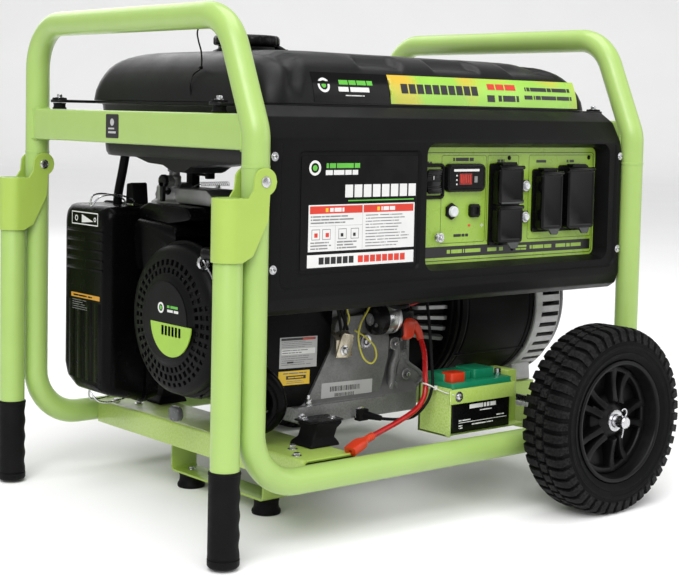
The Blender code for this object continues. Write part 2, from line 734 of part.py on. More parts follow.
def muffler():
    """Rounded box behind the alternator with a short tail pipe to the rear."""
    outline = rounded_rectangle((0.102, 0.222), (0.275, 0.405), 0.040)
    can = loft("muffler", [along_x(outline, x) for x in MUFFLER_X], STEEL, smooth=True)
    pipe = rod("pipe", (0.180, 0.215, 0.345), (0.180, 0.232, 0.345), 0.013, STEEL, 16)
    return join(can, pipe)


def starter():
    """Electric starter motor beside the crankcase, and its solenoid."""
    centre = (0, -0.1510, 0.250)
    profile = [(0, -0.064), (0.016, -0.064), (0.0205, -0.057), (0.0205, -0.027), (0.016, -0.022),
               (0, -0.022)]
    lathe("starter_motor", profile, centre, "X", STEEL, 24)
    box("starter_solenoid", (-0.0215, -0.166, 0.222), (0.0020, -0.140, 0.264), BLACK_PLASTIC)


def tank():
    """Upper and lower tank halves; the lower one carries four mounting ears."""
    low = SEAM_Z + GAP
    x, y = TANK_X, TANK_Y
    levels = ((low, 0.0, 0.034), (low + 0.014, 0.002, 0.034), (0.562, 0.010, 0.036),
              (0.577, 0.022, 0.040), (0.586, 0.038, 0.046), (TANK_TOP, 0.060, 0.050))
    rings = []
    for z, inset, radius in levels:
        edge = rounded_rectangle((x[0] + inset, x[1] - inset), (y[0] + inset, y[1] - inset), radius)
        rings.append([(px, py, z) for px, py in edge])
    upper = loft("tank_upper", rings, BLACK_PLASTIC, smooth=True)
    spot = (FILLER_X, 0)
    join(upper, rod("neck", (*spot, TANK_TOP - 0.01), (*spot, NECK_TOP), 0.037, BLACK_PLASTIC, 24))
    cut(upper, rod("bore", (*spot, 0.560), (*spot, NECK_TOP + 0.01), 0.029, BLACK_PLASTIC, 24))

    rings = []
    levels = ((TANK_LOW, 0.030, 0.036), (TANK_LOW + 0.010, 0.016, 0.040), (0.500, 0.010, 0.036),
              (SEAM_Z - 0.004, 0.008, 0.034), (SEAM_Z - 0.004, 0.0, 0.034), (SEAM_Z, 0.0, 0.034))
    for z, inset, radius in levels:
        edge = rounded_rectangle((x[0] + inset, x[1] - inset), (y[0] + inset, y[1] - inset), radius)
        rings.append([(px, py, z) for px, py in edge])
    lower = loft("tank_lower", rings, BLACK_PLASTIC, smooth=True)
    sump = box("sump", (-0.262, -0.020, 0.442), (-0.215, 0.080, TANK_LOW + 0.01), BLACK_PLASTIC)
    join(lower, sump)
    ear_low = CROSSBAR_HIGH + GAP
    for end in (-1, 1):
        inner = min(abs(x[0]), abs(x[1])) - 0.02
        for ear_y in (-0.178, 0.190):
            edges = sorted((end * inner, end * (POST_X + 0.010)))
            plate = box("ear", (edges[0], ear_y - 0.012, SEAM_Z - 0.004),
                        (edges[1], ear_y + 0.012, SEAM_Z), BLACK_PLASTIC)
            grommet = rod("grommet", (end * POST_X, ear_y, ear_low),
                          (end * POST_X, ear_y, SEAM_Z - 0.001), 0.009, RUBBER, 12)
            join(lower, join(plate, grommet))


def filler_cap():
    """Gasket on the filler neck and the cap that turns on it."""
    centre = (FILLER_X, 0, 0)
    seat = NECK_TOP + GAP
    gasket = [(0.0275, seat), (0.037, seat), (0.037, seat + 0.0012), (0.0275, seat + 0.0012)]
    hang_from(lathe("filler_gasket", gasket, centre, "Z", RUBBER, 24), (FILLER_X, 0, seat))
    low = seat + 0.0012 + GAP
    cap = [(0, low), (CAP_R - 0.001, low), (CAP_R, low + 0.002), (CAP_R, CAP_TOP - 0.005),
           (CAP_R - 0.004, CAP_TOP), (0, CAP_TOP)]
    hang_from(lathe("fuel_cap", cap, centre, "Z", BLACK_PLASTIC, 32), (FILLER_X, 0, seat))


VALVE = (-0.240, 0.040)


def fuel_valve():
    """Valve body under the tank's sump with a quarter-turn lever facing the end."""
    x, y = VALVE
    body = rod("fuel_valve_body", (x, y, 0.412), (x, y, 0.442 - GAP), 0.009, CAST, 16)
    boss = rod("boss", (x - 0.014, y, 0.421), (x + 0.004, y, 0.421), 0.008, CAST, 16)
    join(body, boss)
    start = x - 0.014 - GAP
    lever = rod("fuel_valve_lever", (start - 0.006, y, 0.421), (start, y, 0.421), 0.0085,
                BLACK_PLASTIC, 16)
    blade = box("blade", (start - 0.006, y - 0.003, 0.395), (start - 0.001, y + 0.003, 0.421),
                BLACK_PLASTIC)
    join(lever, blade)
    hang_from(lever, (start, y, 0.421))


def battery_set():
    """Battery, the tray that stands on the rail and the strap across it."""
    (x0, y0, z0), (x1, y1, z1) = BATTERY_LOW, BATTERY_HIGH
    battery = box("battery", BATTERY_LOW, (x1, y1, z1 - 0.012), BLACK_PLASTIC)
    lid = box("lid", (x0 + 0.006, y0 + 0.006, z1 - 0.014), (x1 - 0.016, y1 - 0.004, z1),
              GREEN_PLASTIC)
    join(battery, lid)
    left = x0 - SHEET - 0.0005
    right = x1 + 0.030
    back = y1 + 0.0035
    wall_top = 0.166
    tray = box("battery_tray", (left, y0 - 0.0034, TRAY_LOW), (right, back, TRAY_LOW + SHEET),
               LIME)
    side = box("side", (left, y0, TRAY_LOW), (left + SHEET, back, wall_top), LIME)
    rear = box("rear", (left, back - SHEET, TRAY_LOW), (right, back, wall_top), LIME)
    join(tray, side, rear)
    cut(tray, rod("rail", (x0 - 0.01, -RAIL_Y, RAIL_Z), (x1 + 0.04, -RAIL_Y, RAIL_Z),
                  TUBE_R + GAP, LIME, TUBE_SIDES))
    front = y0 - GAP
    strap_z = (0.146, 0.165)
    strap = box("battery_strap", (x0 - 0.006, front - SHEET, strap_z[0]),
                (x1 + 0.006, front, strap_z[1]), LIME)
    wing = box("wing", (x1 + GAP, front - SHEET, strap_z[0]), (x1 + 0.006, y1, strap_z[1]), LIME)
    join(strap, wing)


def cable_path(points, spacing):
    """Catmull-Rom curve through the route's points, read at about even steps."""
    route = [Vector(p) for p in points]
    route = [route[0] * 2 - route[1]] + route + [route[-1] * 2 - route[-2]]
    path = [route[1]]
    for a, b, c, d in zip(route, route[1:], route[2:], route[3:]):
        steps = max(1, round((c - b).length / spacing))
        for i in range(1, steps + 1):
            t = i / steps
            point = (b * 2 + (c - a) * t + (a * 2 - b * 5 + c * 4 - d) * t * t
                     + (b * 3 - a - c * 3 + d) * t ** 3) / 2
            path.append(point)
    return path


def cable(name, points, diameter, look):
    """A round cord along a smooth route, with filled ends."""
    curve = bpy.data.curves.new(name, "CURVE")
    curve.dimensions = "3D"
    curve.bevel_depth = diameter / 2
    curve.bevel_resolution = 2
    curve.use_fill_caps = True
    path = cable_path(points, CORD_STEP * diameter)
    line = curve.splines.new("POLY")
    line.points.add(len(path) - 1)
    for spot, place in zip(line.points, path):
        spot.co = (*place, 1.0)
    thing = bpy.data.objects.new(name, curve)
    bpy.context.scene.collection.objects.link(thing)
    curve.materials.append(finish(name, look))
    return thing


CORD_STEP = 2.2
RED_ROUTE = [(0.0030, -0.156, 0.238), (0.0095, -0.1565, 0.237), (0.0120, -0.165, 0.222),
             (0.0060, -0.180, 0.203), (-0.0050, -0.194, 0.182), (-0.0120, -0.203, 0.166),
             (-0.0200, -0.208, 0.152), (-0.0380, -0.213, 0.140), (-0.0700, -0.218, 0.130),
             (-0.1000, -0.223, 0.1235), (-0.1220, -0.227, 0.1190)]
BLACK_ROUTE = [(0.0100, -0.2225, 0.338), (0.0100, -0.205, 0.337), (0.0085, -0.188, 0.324),
               (0.0060, -0.181, 0.300), (0.0040, -0.184, 0.276), (0.0000, -0.193, 0.250),
               (-0.0030, -0.200, 0.225), (-0.0050, -0.205, 0.200), (-0.0070, -0.2095, 0.182),
               (-0.0100, -0.2130, 0.166), (-0.0200, -0.2145, 0.148), (-0.0350, -0.2080, 0.131),
               (-0.0500, -0.1950, 0.126), (-0.0640, -0.1760, 0.1255), (-0.0720, -0.1600, 0.127),
               (-0.0740, -0.1456, 0.1285)]


def cables():
    """Red positive cable with its terminal boot, and the black ground cable."""
    cable("red_cable", RED_ROUTE, 0.007, RED)
    cable("black_cable", BLACK_ROUTE, 0.004, RUBBER)
    before, last = cable_path(RED_ROUTE, CORD_STEP * 0.007)[-2:]
    ahead = (last - before).normalized()
    start = last + ahead * GAP
    end = start + ahead * 0.044
    across = (end - start).cross((0, 0, 1)).normalized()
    up = across.cross(end - start).normalized()
    rings = []
    for t, wide, tall in ((0, 0.0050, 0.0050), (0.3, 0.0060, 0.0060), (0.6, 0.0105, 0.0068),
                          (1, 0.0085, 0.0055)):
        middle = start.lerp(end, t)
        rings.append([middle + across * wide * math.cos(a) + up * tall * math.sin(a)
                      for a in (math.pi / 4 * k for k in range(8))])
    loft("red_cable_boot", rings, RED)


def rig():
    """Hang every piece on one empty that centres the machine on the origin."""
    empty = bpy.data.objects.new("machine", None)
    pieces = list(bpy.data.objects)
    bpy.context.scene.collection.objects.link(empty)
    for piece in pieces:
        if piece != empty:
            piece.parent = empty
    empty.location = (FRAME_X, 0, 0)


def main():
    clear_scene()
    side_frame("frame_front", -RAIL_Y)
    side_frame("frame_rear", RAIL_Y)
    end_hoop("end_hoop_left", -POST_X)
    end_hoop("end_hoop_right", POST_X)
    engine_crossmember()
    alternator_crossmember()
    axle()
    for place, side in (("front", -1), ("rear", 1)):
        foot("foot_" + place, side * FOOT_Y)
        tyre("tyre_" + place, side)
        rim("rim_" + place, side)
        handle("handle_" + place, side)
        grip("grip_" + place, side)
    front_cover()
    panel_parts()
    crankcase()
    cylinder_head()
    blower_housing()
    recoil_cover()
    recoil_grip()
    crank_line()
    alternator()
    air_cleaner()
    carburetor()
    muffler()
    starter()
    tank()
    filler_cap()
    fuel_valve()
    battery_set()
    cables()
    rig()


main()
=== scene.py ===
"""Looks of a portable open-frame generator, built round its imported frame.

Metres. Every shape is drawn from the frame's centre line (x along the machine, -y the panel side,
z up from the floor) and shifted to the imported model's place when its mesh is made.
"""
import math

import bmesh
import bpy
import numpy as np
from mathutils import Matrix, Vector


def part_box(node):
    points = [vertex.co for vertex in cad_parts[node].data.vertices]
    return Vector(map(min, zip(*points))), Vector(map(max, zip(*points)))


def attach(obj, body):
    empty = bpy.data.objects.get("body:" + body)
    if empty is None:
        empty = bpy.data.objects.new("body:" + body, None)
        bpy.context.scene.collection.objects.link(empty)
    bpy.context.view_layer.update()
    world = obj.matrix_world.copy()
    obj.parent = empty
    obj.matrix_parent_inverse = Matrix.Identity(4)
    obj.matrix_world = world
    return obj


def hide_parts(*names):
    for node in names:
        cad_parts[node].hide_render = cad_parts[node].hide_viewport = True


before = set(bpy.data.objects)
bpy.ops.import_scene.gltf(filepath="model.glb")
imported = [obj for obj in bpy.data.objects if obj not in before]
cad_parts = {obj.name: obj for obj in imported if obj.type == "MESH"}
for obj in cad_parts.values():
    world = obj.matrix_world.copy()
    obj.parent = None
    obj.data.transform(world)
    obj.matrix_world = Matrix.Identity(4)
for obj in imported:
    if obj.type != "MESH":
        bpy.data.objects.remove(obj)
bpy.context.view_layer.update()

bl_info = {
    "name": "Portable generator looks",
    "version": (1, 0, 0),
    "blender": (4, 5, 0),
    "location": "3D View > Sidebar > Generator",
    "description": "Builds the visible pieces of a portable generator round its frame",
    "category": "Object",
}

PI = math.pi
LOW, HIGH = (np.array(corner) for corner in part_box("frame_front"))
CENTRE_X = (LOW[0] + HIGH[0]) / 2
TUBE_R = (HIGH[1] - LOW[1]) / 2
POST_X = (HIGH[0] - LOW[0]) / 2 - TUBE_R
RAIL_Y = -(HIGH[1] + LOW[1]) / 2
RAIL_Z = LOW[2] + TUBE_R
SPLICE_Z = HIGH[2]


def span(node):
    """Lowest and highest corner of a solid, from the frame's centre line."""
    low, high = (np.array(corner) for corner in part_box(node))
    shift = np.array([CENTRE_X, 0, 0])
    return low - shift, high - shift


# ---------------------------------------------------------------- shapes

def unit(v):
    """Vectors scaled to length one."""
    return v / np.maximum(np.linalg.norm(v, axis=-1, keepdims=True), 1e-12)


def fillet(points, radius, steps=4, closed=True):
    """Corners replaced by arcs: centre + slerp between the tangent points, all at once."""
    p = np.asarray(points, float)
    back = np.roll(p, 1, 0) - p
    ahead = np.roll(p, -1, 0) - p
    back_length = np.linalg.norm(back, axis=1)
    ahead_length = np.linalg.norm(ahead, axis=1)
    u, v = unit(back), unit(ahead)
    half = np.arccos(np.clip((u * v).sum(1), -1, 0.9999)) / 2
    bend = np.maximum(PI - 2 * half, 1e-4)
    most = 0.49 * np.minimum(back_length, ahead_length) * np.tan(np.minimum(half, 1.5))
    r = np.minimum(np.broadcast_to(radius, len(p)), most)
    reach = (r / np.tan(half))[:, None]
    start, end = p + u * reach, p + v * reach
    middle = p + unit(u + v) * (r / np.sin(half))[:, None]
    t = np.linspace(0, 1, steps + 1)[None, :, None]
    bend = bend[:, None, None]
    arm = (np.sin((1 - t) * bend) * (start - middle)[:, None] + np.sin(t * bend)
           * (end - middle)[:, None]) / np.sin(bend)
    arcs = middle[:, None] + arm
    arcs = np.where(bend < 1e-3, p[:, None], arcs)
    if closed:
        return arcs.reshape(-1, p.shape[1])
    return np.concatenate([p[:1], arcs[1:-1].reshape(-1, p.shape[1]), p[-1:]])


def grid_faces(rows, columns, around=True, loop=False):
    """Quads of a grid of rows by columns; columns may close on themselves, and rows too."""
    r = np.arange(rows if loop else rows - 1)[:, None]
    c = np.arange(columns if around else columns - 1)[None, :]
    a, b = r * columns + c, r * columns + (c + 1) % columns
    below = (r + 1) % rows * columns
    return np.stack([a, b, below + (c + 1) % columns, below + c], -1).reshape(-1, 4).tolist()


def skin(grid, loop=False, caps=True):
    """Rings of points (rows, columns, 3) joined side by side, with flat ends unless they loop."""
    rows, columns = grid.shape[:2]
    faces = grid_faces(rows, columns, True, loop)
    if caps and not loop:
        faces.append(list(range(columns)))
        faces.append(list(range((rows - 1) * columns, rows * columns)))
    return grid.reshape(-1, 3), faces


def sweep(path, section, normal=(0, 0, 1), loop=False):
    """A flat outline (side, up) carried along a path: path + side * across + up * normal."""
    path = np.asarray(path, float)
    if loop:
        tangent = unit(np.roll(path, -1, 0) - np.roll(path, 1, 0))
    else:
        tangent = unit(np.gradient(path, axis=0))
    up = np.broadcast_to(np.asarray(normal, float), path.shape)
    up = unit(up - (up * tangent).sum(1, keepdims=True) * tangent)
    across = np.cross(tangent, up)
    section = np.asarray(section, float)
    if section.ndim == 2:
        section = np.broadcast_to(section, (len(path), *section.shape))
    grid = path[:, None] + section[..., :1] * across[:, None] + section[..., 1:] * up[:, None]
    return skin(grid, loop)


def sheet(outer, inner):
    """Two like grids of points as the faces of one sheet, joined round their rims."""
    rows, columns = outer.shape[:2]
    half = rows * columns
    faces = grid_faces(rows, columns, around=False)
    faces += [[i + half for i in face[::-1]] for face in faces]
    rim = np.concatenate([np.arange(columns), columns * np.arange(2, rows) - 1,
                          half - 1 - np.arange(columns), columns * np.arange(rows - 2, 0, -1)])
    after = np.roll(rim, -1)
    faces += np.stack([rim, after, after + half, rim + half], -1).tolist()
    return np.concatenate([outer.reshape(-1, 3), inner.reshape(-1, 3)]), faces


def circle(radius, sides=24):
    """Points round a circle; a list of radii gives one circle each."""
    angle = np.arange(sides) * 2 * PI / sides
    ring = np.stack([np.cos(angle), np.sin(angle)], -1)
    return np.asarray(radius, float)[..., None, None] * ring


def pipe(path, radius, normal=(0, 0, 1), sides=24, loop=False):
    """Round bar along a path, of one radius or one radius for each point."""
    radius = np.broadcast_to(radius, len(path))
    return sweep(path, circle(radius, sides), normal, loop)


def smooth_route(points, count):
    """Catmull-Rom curve through the points, read at count even steps of its parameter."""
    p = np.asarray(points, float)
    p = np.concatenate([[2 * p[0] - p[1]], p, [2 * p[-1] - p[-2]]])
    s = np.linspace(0, len(p) - 3, count)
    i = np.minimum(s.astype(int), len(p) - 4)
    t = (s - i)[:, None]
    a, b, c, d = p[i], p[i + 1], p[i + 2], p[i + 3]
    return (2 * b + (c - a) * t + (2 * a - 5 * b + 4 * c - d) * t ** 2 + (3 * b - a - 3 * c + d)
            * t ** 3) / 2


AXES = {"X": ((0, 1, 0), (0, 0, 1), (1, 0, 0)), "Y": ((0, 0, 1), (1, 0, 0), (0, 1, 0)),
        "Z": ((1, 0, 0), (0, 1, 0), (0, 0, 1))}


def turned(profile, centre=(0, 0, 0), axis="Z", segments=48, ring=False):
    """A profile of (radius, along) turned round an axis; a ring's profile closes on itself."""
    side, up, ahead = (np.array(v, float) for v in AXES[axis])
    profile = np.asarray(profile, float)
    angle = np.arange(segments) * 2 * PI / segments
    out = np.cos(angle)[:, None] * side + np.sin(angle)[:, None] * up
    grid = profile[:, None, :1] * out[None] + profile[:, None, 1:] * ahead + np.array(
        centre, float)
    return skin(grid, loop=ring, caps=not ring)


EDGE_ANGLE = 32
MERGE = 2e-6
PRINT_STEP = 0.00005
ORDERS = {"X": (2, 0, 1), "Y": (0, 2, 1), "Z": (0, 1, 2)}


def placed(outline, at, axis):
    """A flat outline set at one place along an axis; X outlines are (y, z), Y (x, z), Z (x, y)."""
    outline = np.asarray(outline, float)
    return np.column_stack([outline, np.full(len(outline), at)])[:, ORDERS[axis]]


def prism(outline, low, high, axis="X"):
    """A flat outline drawn out along an axis; X outlines are (y, z), Y are (x, z), Z are (x, y)."""
    return skin(np.stack([placed(outline, at, axis) for at in (low, high)]))


def block(low, high):
    """Box between two corners."""
    (x0, y0, z0), (x1, y1, z1) = low, high
    return prism([(x0, y0), (x1, y0), (x1, y1), (x0, y1)], z0, z1, "Z")


def rectangle(low, high, radius=0.0, steps=5):
    """Outline of a rectangle with round corners, from its lowest and highest corner."""
    (x0, y0), (x1, y1) = low, high
    points = [(x1, y1), (x0, y1), (x0, y0), (x1, y0)]
    return fillet(points, radius, steps) if radius else np.array(points, float)


def moved(part, shift):
    """A shape moved along."""
    return part[0] + np.asarray(shift, float), part[1]


def rotated(part, angle, axis, about=(0, 0, 0)):
    """A shape turned round an axis through a point."""
    about = np.asarray(about, float)
    i, j = {"X": (1, 2), "Y": (2, 0), "Z": (0, 1)}[axis]
    v = part[0] - about
    out = v.copy()
    out[:, i] = v[:, i] * math.cos(angle) - v[:, j] * math.sin(angle)
    out[:, j] = v[:, i] * math.sin(angle) + v[:, j] * math.cos(angle)
    return out + about, part[1]


def many(part, angles, axis, about):
    """Copies of a shape turned round an axis by each angle."""
    return [rotated(part, angle, axis, about) for angle in angles]


def raw_mesh(name, parts):
    """One mesh of several shapes; a part is (verts, faces), or has its finish number third."""
    verts, faces, marks = [], [], []
    start = 0
    for part in parts:
        verts.append(part[0])
        faces += [[i + start for i in face] for face in part[1]]
        marks += [part[2] if len(part) > 2 else 0] * len(part[1])
        start += len(part[0])
    mesh = bpy.data.meshes.new(name)
    points = np.concatenate(verts) + np.array([CENTRE_X, 0, 0])
    mesh.from_pydata(points.tolist(), [], faces)
    mesh.polygons.foreach_set("material_index", np.array(marks, np.int32))
    shape = bmesh.new()
    shape.from_mesh(mesh)
    bmesh.ops.remove_doubles(shape, verts=shape.verts, dist=MERGE)
    bmesh.ops.recalc_face_normals(shape, faces=shape.faces)
    shape.to_mesh(mesh)
    shape.free()
    return mesh


def piece(name, parts, looks, body="chassis", stands_for=(), bevel=0.0, segments=2,
          sharp=EDGE_ANGLE, cuts=()):
    """A finished piece: its mesh, cuts, rounded edges, finishes, the body it rides on."""
    mesh = raw_mesh(name, parts)
    thing = bpy.data.objects.new(name, mesh)
    bpy.context.scene.collection.objects.link(thing)
    for kind, tool_parts in cuts:
        thing = carve(thing, tool_parts, kind)
    for finish_name in ([looks] if isinstance(looks, str) else looks):
        thing.data.materials.append(look(finish_name))
    if bevel:
        step = thing.modifiers.new("edges", "BEVEL")
        step.width = bevel
        step.segments = segments
        step.limit_method = "ANGLE"
        step.angle_limit = math.radians(EDGE_ANGLE)
        step.use_clamp_overlap = True
        step.harden_normals = False
        settle(thing)
    thing.data.shade_smooth()
    thing.data.set_sharp_from_angle(angle=math.radians(sharp))
    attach(thing, body)
    if stands_for:
        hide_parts(*([stands_for] if isinstance(stands_for, str) else stands_for))
    return thing


def settle(thing):
    """Make the modifiers' result the mesh itself."""
    bpy.context.view_layer.update()
    graph = bpy.context.evaluated_depsgraph_get()
    mesh = bpy.data.meshes.new_from_object(thing.evaluated_get(graph))
    thing.modifiers.clear()
    old = thing.data
    thing.data = mesh
    bpy.data.meshes.remove(old)


def carve(thing, parts, kind):
    """Exact Boolean with one tool mesh, then the tool is dropped."""
    tool = bpy.data.objects.new("tool", raw_mesh("tool", parts))
    bpy.context.scene.collection.objects.link(tool)
    step = thing.modifiers.new("carve", "BOOLEAN")
    step.operation = kind
    step.solver = "EXACT"
    step.object = tool
    settle(thing)
    bpy.data.objects.remove(tool, do_unlink=True)
    if not thing.data.polygons:
        raise RuntimeError("nothing is left of " + thing.name)
    return thing


# ---------------------------------------------------------------- finishes

def finish(name, colour, roughness=0.5, metallic=0.0, patch=25.0, shade=0.1, grain=0.2,
           grain_size=1500.0, depth=0.0003, spread=0.06, coat=0.0, shine=0.5, worn=None,
           stretch=(1, 1, 1), bands=None):
    """Procedural finish: mottled colour, fine surface grain, uneven gloss, worn edges.

    stretch draws the grain out along an axis, as brushing does. bands blends in a second
    colour over broad soft patches.
    """
    material = bpy.data.materials.new(name)
    material.use_nodes = True
    tree = material.node_tree
    add, tie = tree.nodes.new, tree.links.new
    shader = tree.nodes["Principled BSDF"]
    shader.inputs["Metallic"].default_value = metallic
    shader.inputs["Coat Weight"].default_value = coat
    shader.inputs["Specular IOR Level"].default_value = shine
    shader.inputs["Coat Roughness"].default_value = 0.15
    place = add("ShaderNodeTexCoord")
    mapping = add("ShaderNodeMapping")
    mapping.inputs["Scale"].default_value = stretch
    tie(place.outputs["Object"], mapping.inputs["Vector"])

    def noise(scale, detail, vector):
        node = add("ShaderNodeTexNoise")
        node.inputs["Scale"].default_value = scale
        node.inputs["Detail"].default_value = detail
        tie(vector, node.inputs["Vector"])
        return node.outputs["Fac"]

    def spread_over(value, low, high, start=0.3, end=0.7):
        node = add("ShaderNodeMapRange")
        for socket, number in zip(
            ("From Min", "From Max", "To Min", "To Max"), (start, end, low, high)):
            node.inputs[socket].default_value = number
        tie(value, node.inputs["Value"])
        return node.outputs["Result"]

    def mix(factor, first, second):
        node = add("ShaderNodeMix")
        node.data_type = "RGBA"
        tie(factor, node.inputs[0])
        for socket, value in ((6, first), (7, second)):
            if isinstance(value, bpy.types.NodeSocket):
                tie(value, node.inputs[socket])
            else:
                node.inputs[socket].default_value = (*value, 1.0)
        return node.outputs[2]

    colour = np.array(colour)
    mottle = spread_over(noise(patch, 4, place.outputs["Object"]), 0, 1)
    base = mix(mottle, tuple(colour * (1 - shade)), tuple(np.minimum(colour * (1 + shade), 1)))
    if bands:
        scale, second, start, end = bands
        base = mix(spread_over(noise(scale, 1, place.outputs["Object"]), 0, 1, start, end), base,
                   second)
    if worn:
        geometry = add("ShaderNodeNewGeometry")
        edge = spread_over(geometry.outputs["Pointiness"], 0, 1, *worn[1])
        speckle = spread_over(noise(400, 3, place.outputs["Object"]), 0, 1, 0.35, 0.6)
        both = add("ShaderNodeMath")
        both.operation = "MULTIPLY"
        tie(edge, both.inputs[0])
        tie(speckle, both.inputs[1])
        base = mix(both.outputs[0], base, worn[0])
    tie(base, shader.inputs["Base Color"])
    tie(spread_over(noise(patch * 3, 5, place.outputs["Object"]), max(roughness - spread, 0.04),
                    min(roughness + spread, 1)), shader.inputs["Roughness"])
    bump = add("ShaderNodeBump")
    bump.inputs["Strength"].default_value = grain
    bump.inputs["Distance"].default_value = depth
    tie(noise(grain_size, 3, mapping.outputs["Vector"]), bump.inputs["Height"])
    tie(bump.outputs["Normal"], shader.inputs["Normal"])
    return material


FINISHES = {
    "lime": dict(colour=(0.350, 0.515, 0.135), roughness=0.36, grain=0.10, grain_size=650,
                 depth=0.0003, shade=0.02, coat=0.2),
    "lime_bracket": dict(colour=(0.360, 0.510, 0.085), roughness=0.38, grain=0.12,
                         grain_size=650, depth=0.0003, shade=0.025, coat=0.2,
                         worn=((0.60, 0.72, 0.36), (0.54, 0.62))),
    "lime_panel": dict(colour=(0.295, 0.470, 0.055), roughness=0.30, grain=0.05,
                       grain_size=1200, shade=0.03, coat=0.3),
    "black_cover": dict(colour=(0.0045, 0.0046, 0.0048), roughness=0.40, grain=0.45,
                        grain_size=1700, depth=0.0003, shade=0.12, patch=12, shine=0.09),
    "black_tank": dict(colour=(0.006, 0.0062, 0.0065), roughness=0.36, grain=0.55,
                       grain_size=1500, depth=0.0003, shade=0.12, patch=10, shine=0.20),
    "black_satin": dict(colour=(0.0045, 0.0045, 0.0048), roughness=0.28, grain=0.15,
                        grain_size=900, shade=0.15, shine=0.14),
    "black_gloss": dict(colour=(0.002, 0.002, 0.0022), roughness=0.16, grain=0.05,
                        grain_size=500, shade=0.15, spread=0.05, shine=0.20),
    # painted shade: near-black matt finish laid where recesses, slots and openings would fall into
    # shade
    "black_deep": dict(colour=(0.003, 0.003, 0.003), roughness=0.7, grain=0.1),
    "rubber": dict(colour=(0.005, 0.005, 0.0053), roughness=0.58, grain=0.35, grain_size=1100,
                   shade=0.2, patch=40, shine=0.10),
    "tyre": dict(colour=(0.0035, 0.0035, 0.0038), roughness=0.60, grain=0.5, grain_size=900,
                 depth=0.0005, shade=0.25, patch=30, shine=0.08,
                 worn=((0.02, 0.02, 0.02), (0.52, 0.64))),
    "rim": dict(colour=(0.0045, 0.0045, 0.0048), roughness=0.34, grain=0.3, grain_size=1200,
                shade=0.15, shine=0.15),
    "cast": dict(colour=(0.165, 0.168, 0.165), roughness=0.46, metallic=0.5, grain=0.7,
                 grain_size=700, depth=0.0006, shade=0.18, patch=45,
                 worn=((0.45, 0.45, 0.45), (0.52, 0.62))),
    "cast_bright": dict(colour=(0.36, 0.36, 0.36), roughness=0.42, metallic=0.7, grain=0.6,
                        grain_size=700, depth=0.0005, shade=0.14, patch=40),
    "engine_black": dict(colour=(0.0016, 0.0016, 0.0018), roughness=0.24, grain=0.25,
                         grain_size=1000, shade=0.2, shine=0.07),
    "iron_black": dict(colour=(0.0015, 0.0015, 0.0016), roughness=0.34, metallic=0.0, grain=0.35,
                       grain_size=800, shade=0.2, shine=0.06),
    "zinc": dict(colour=(0.62, 0.62, 0.64), roughness=0.26, metallic=1.0, grain=0.25,
                 grain_size=900, shade=0.12, patch=120),
    "brushed": dict(colour=(0.60, 0.60, 0.61), roughness=0.30, metallic=1.0, grain=0.5,
                    grain_size=500, shade=0.08, stretch=(0.05, 1, 1)),
    "muffler_steel": dict(colour=(0.26, 0.25, 0.24), roughness=0.45, metallic=0.8, grain=0.5,
                          grain_size=500, shade=0.2, bands=(14, (0.26, 0.19, 0.13), 0.45, 0.7)),
    "battery_black": dict(colour=(0.003, 0.003, 0.0033), roughness=0.26, grain=0.12,
                          shade=0.15, shine=0.12),
    "battery_green": dict(colour=(0.006, 0.20, 0.095), roughness=0.33, grain=0.12, shade=0.10),
    "red_plastic": dict(colour=(0.60, 0.025, 0.005), roughness=0.35, grain=0.15, shade=0.12),
    "orange_boot": dict(colour=(0.56, 0.035, 0.005), roughness=0.36, grain=0.25, shade=0.15),
    "red_vinyl": dict(colour=(0.40, 0.006, 0.006), roughness=0.26, grain=0.15, shade=0.12,
                      coat=0.2),
    "yellow_vinyl": dict(colour=(0.50, 0.46, 0.05), roughness=0.35, grain=0.15, shade=0.12),
    "white_print": dict(colour=(0.72, 0.72, 0.71), roughness=0.38, grain=0.06, shade=0.05),
    "grey_print": dict(colour=(0.20, 0.20, 0.20), roughness=0.4, grain=0.06, shade=0.12),
    "black_print": dict(colour=(0.008, 0.008, 0.008), roughness=0.35, grain=0.06, shade=0.1),
    "red_print": dict(colour=(0.62, 0.035, 0.015), roughness=0.38, grain=0.06, shade=0.08),
    "green_print": dict(colour=(0.10, 0.45, 0.04), roughness=0.38, grain=0.06, shade=0.08),
    "yellow_print": dict(colour=(0.80, 0.52, 0.02), roughness=0.38, grain=0.06, shade=0.06),
    "amber_print": dict(colour=(0.55, 0.27, 0.03), roughness=0.4, grain=0.06, shade=0.1),
    "band_print": dict(colour=(0.30, 0.58, 0.06), roughness=0.30, grain=0.05, shade=0.12,
                       patch=9, coat=0.3, bands=(11, (0.72, 0.42, 0.03), 0.50, 0.66)),
    "display_red": dict(colour=(0.28, 0.012, 0.006), roughness=0.2, grain=0.05, shade=0.3,
                        patch=160, spread=0.04),
    "clear_cap": dict(colour=(0.66, 0.68, 0.70), roughness=0.16, grain=0.08, shade=0.1, coat=0.5),
    "nylon_white": dict(colour=(0.66, 0.66, 0.62), roughness=0.4, grain=0.1, shade=0.06),
    "zinc_warm": dict(colour=(0.60, 0.54, 0.42), roughness=0.30, metallic=0.9, grain=0.25,
                      grain_size=900, shade=0.12, patch=90),
    "label_grey": dict(colour=(0.44, 0.44, 0.44), roughness=0.42, grain=0.08, shade=0.08),
    "lime_badge": dict(colour=(0.31, 0.52, 0.045), roughness=0.34, grain=0.06, shade=0.06),
    "grey_tab": dict(colour=(0.055, 0.058, 0.058), roughness=0.22, grain=0.08, shade=0.12),
}
made = {}


def look(name):
    """The finish of that name, made once."""
    if name not in made:
        values = dict(FINISHES[name])
        settings = bpy.context.scene.generator_paint
        if name == "lime":
            values["colour"] = tuple(settings.frame_colour)
        if name == "lime_bracket":
            values["colour"] = tuple(settings.bracket_colour)
        if name == "lime_panel":
            values["colour"] = tuple(settings.panel_colour)
        made[name] = finish(name, **values)
    return made[name]


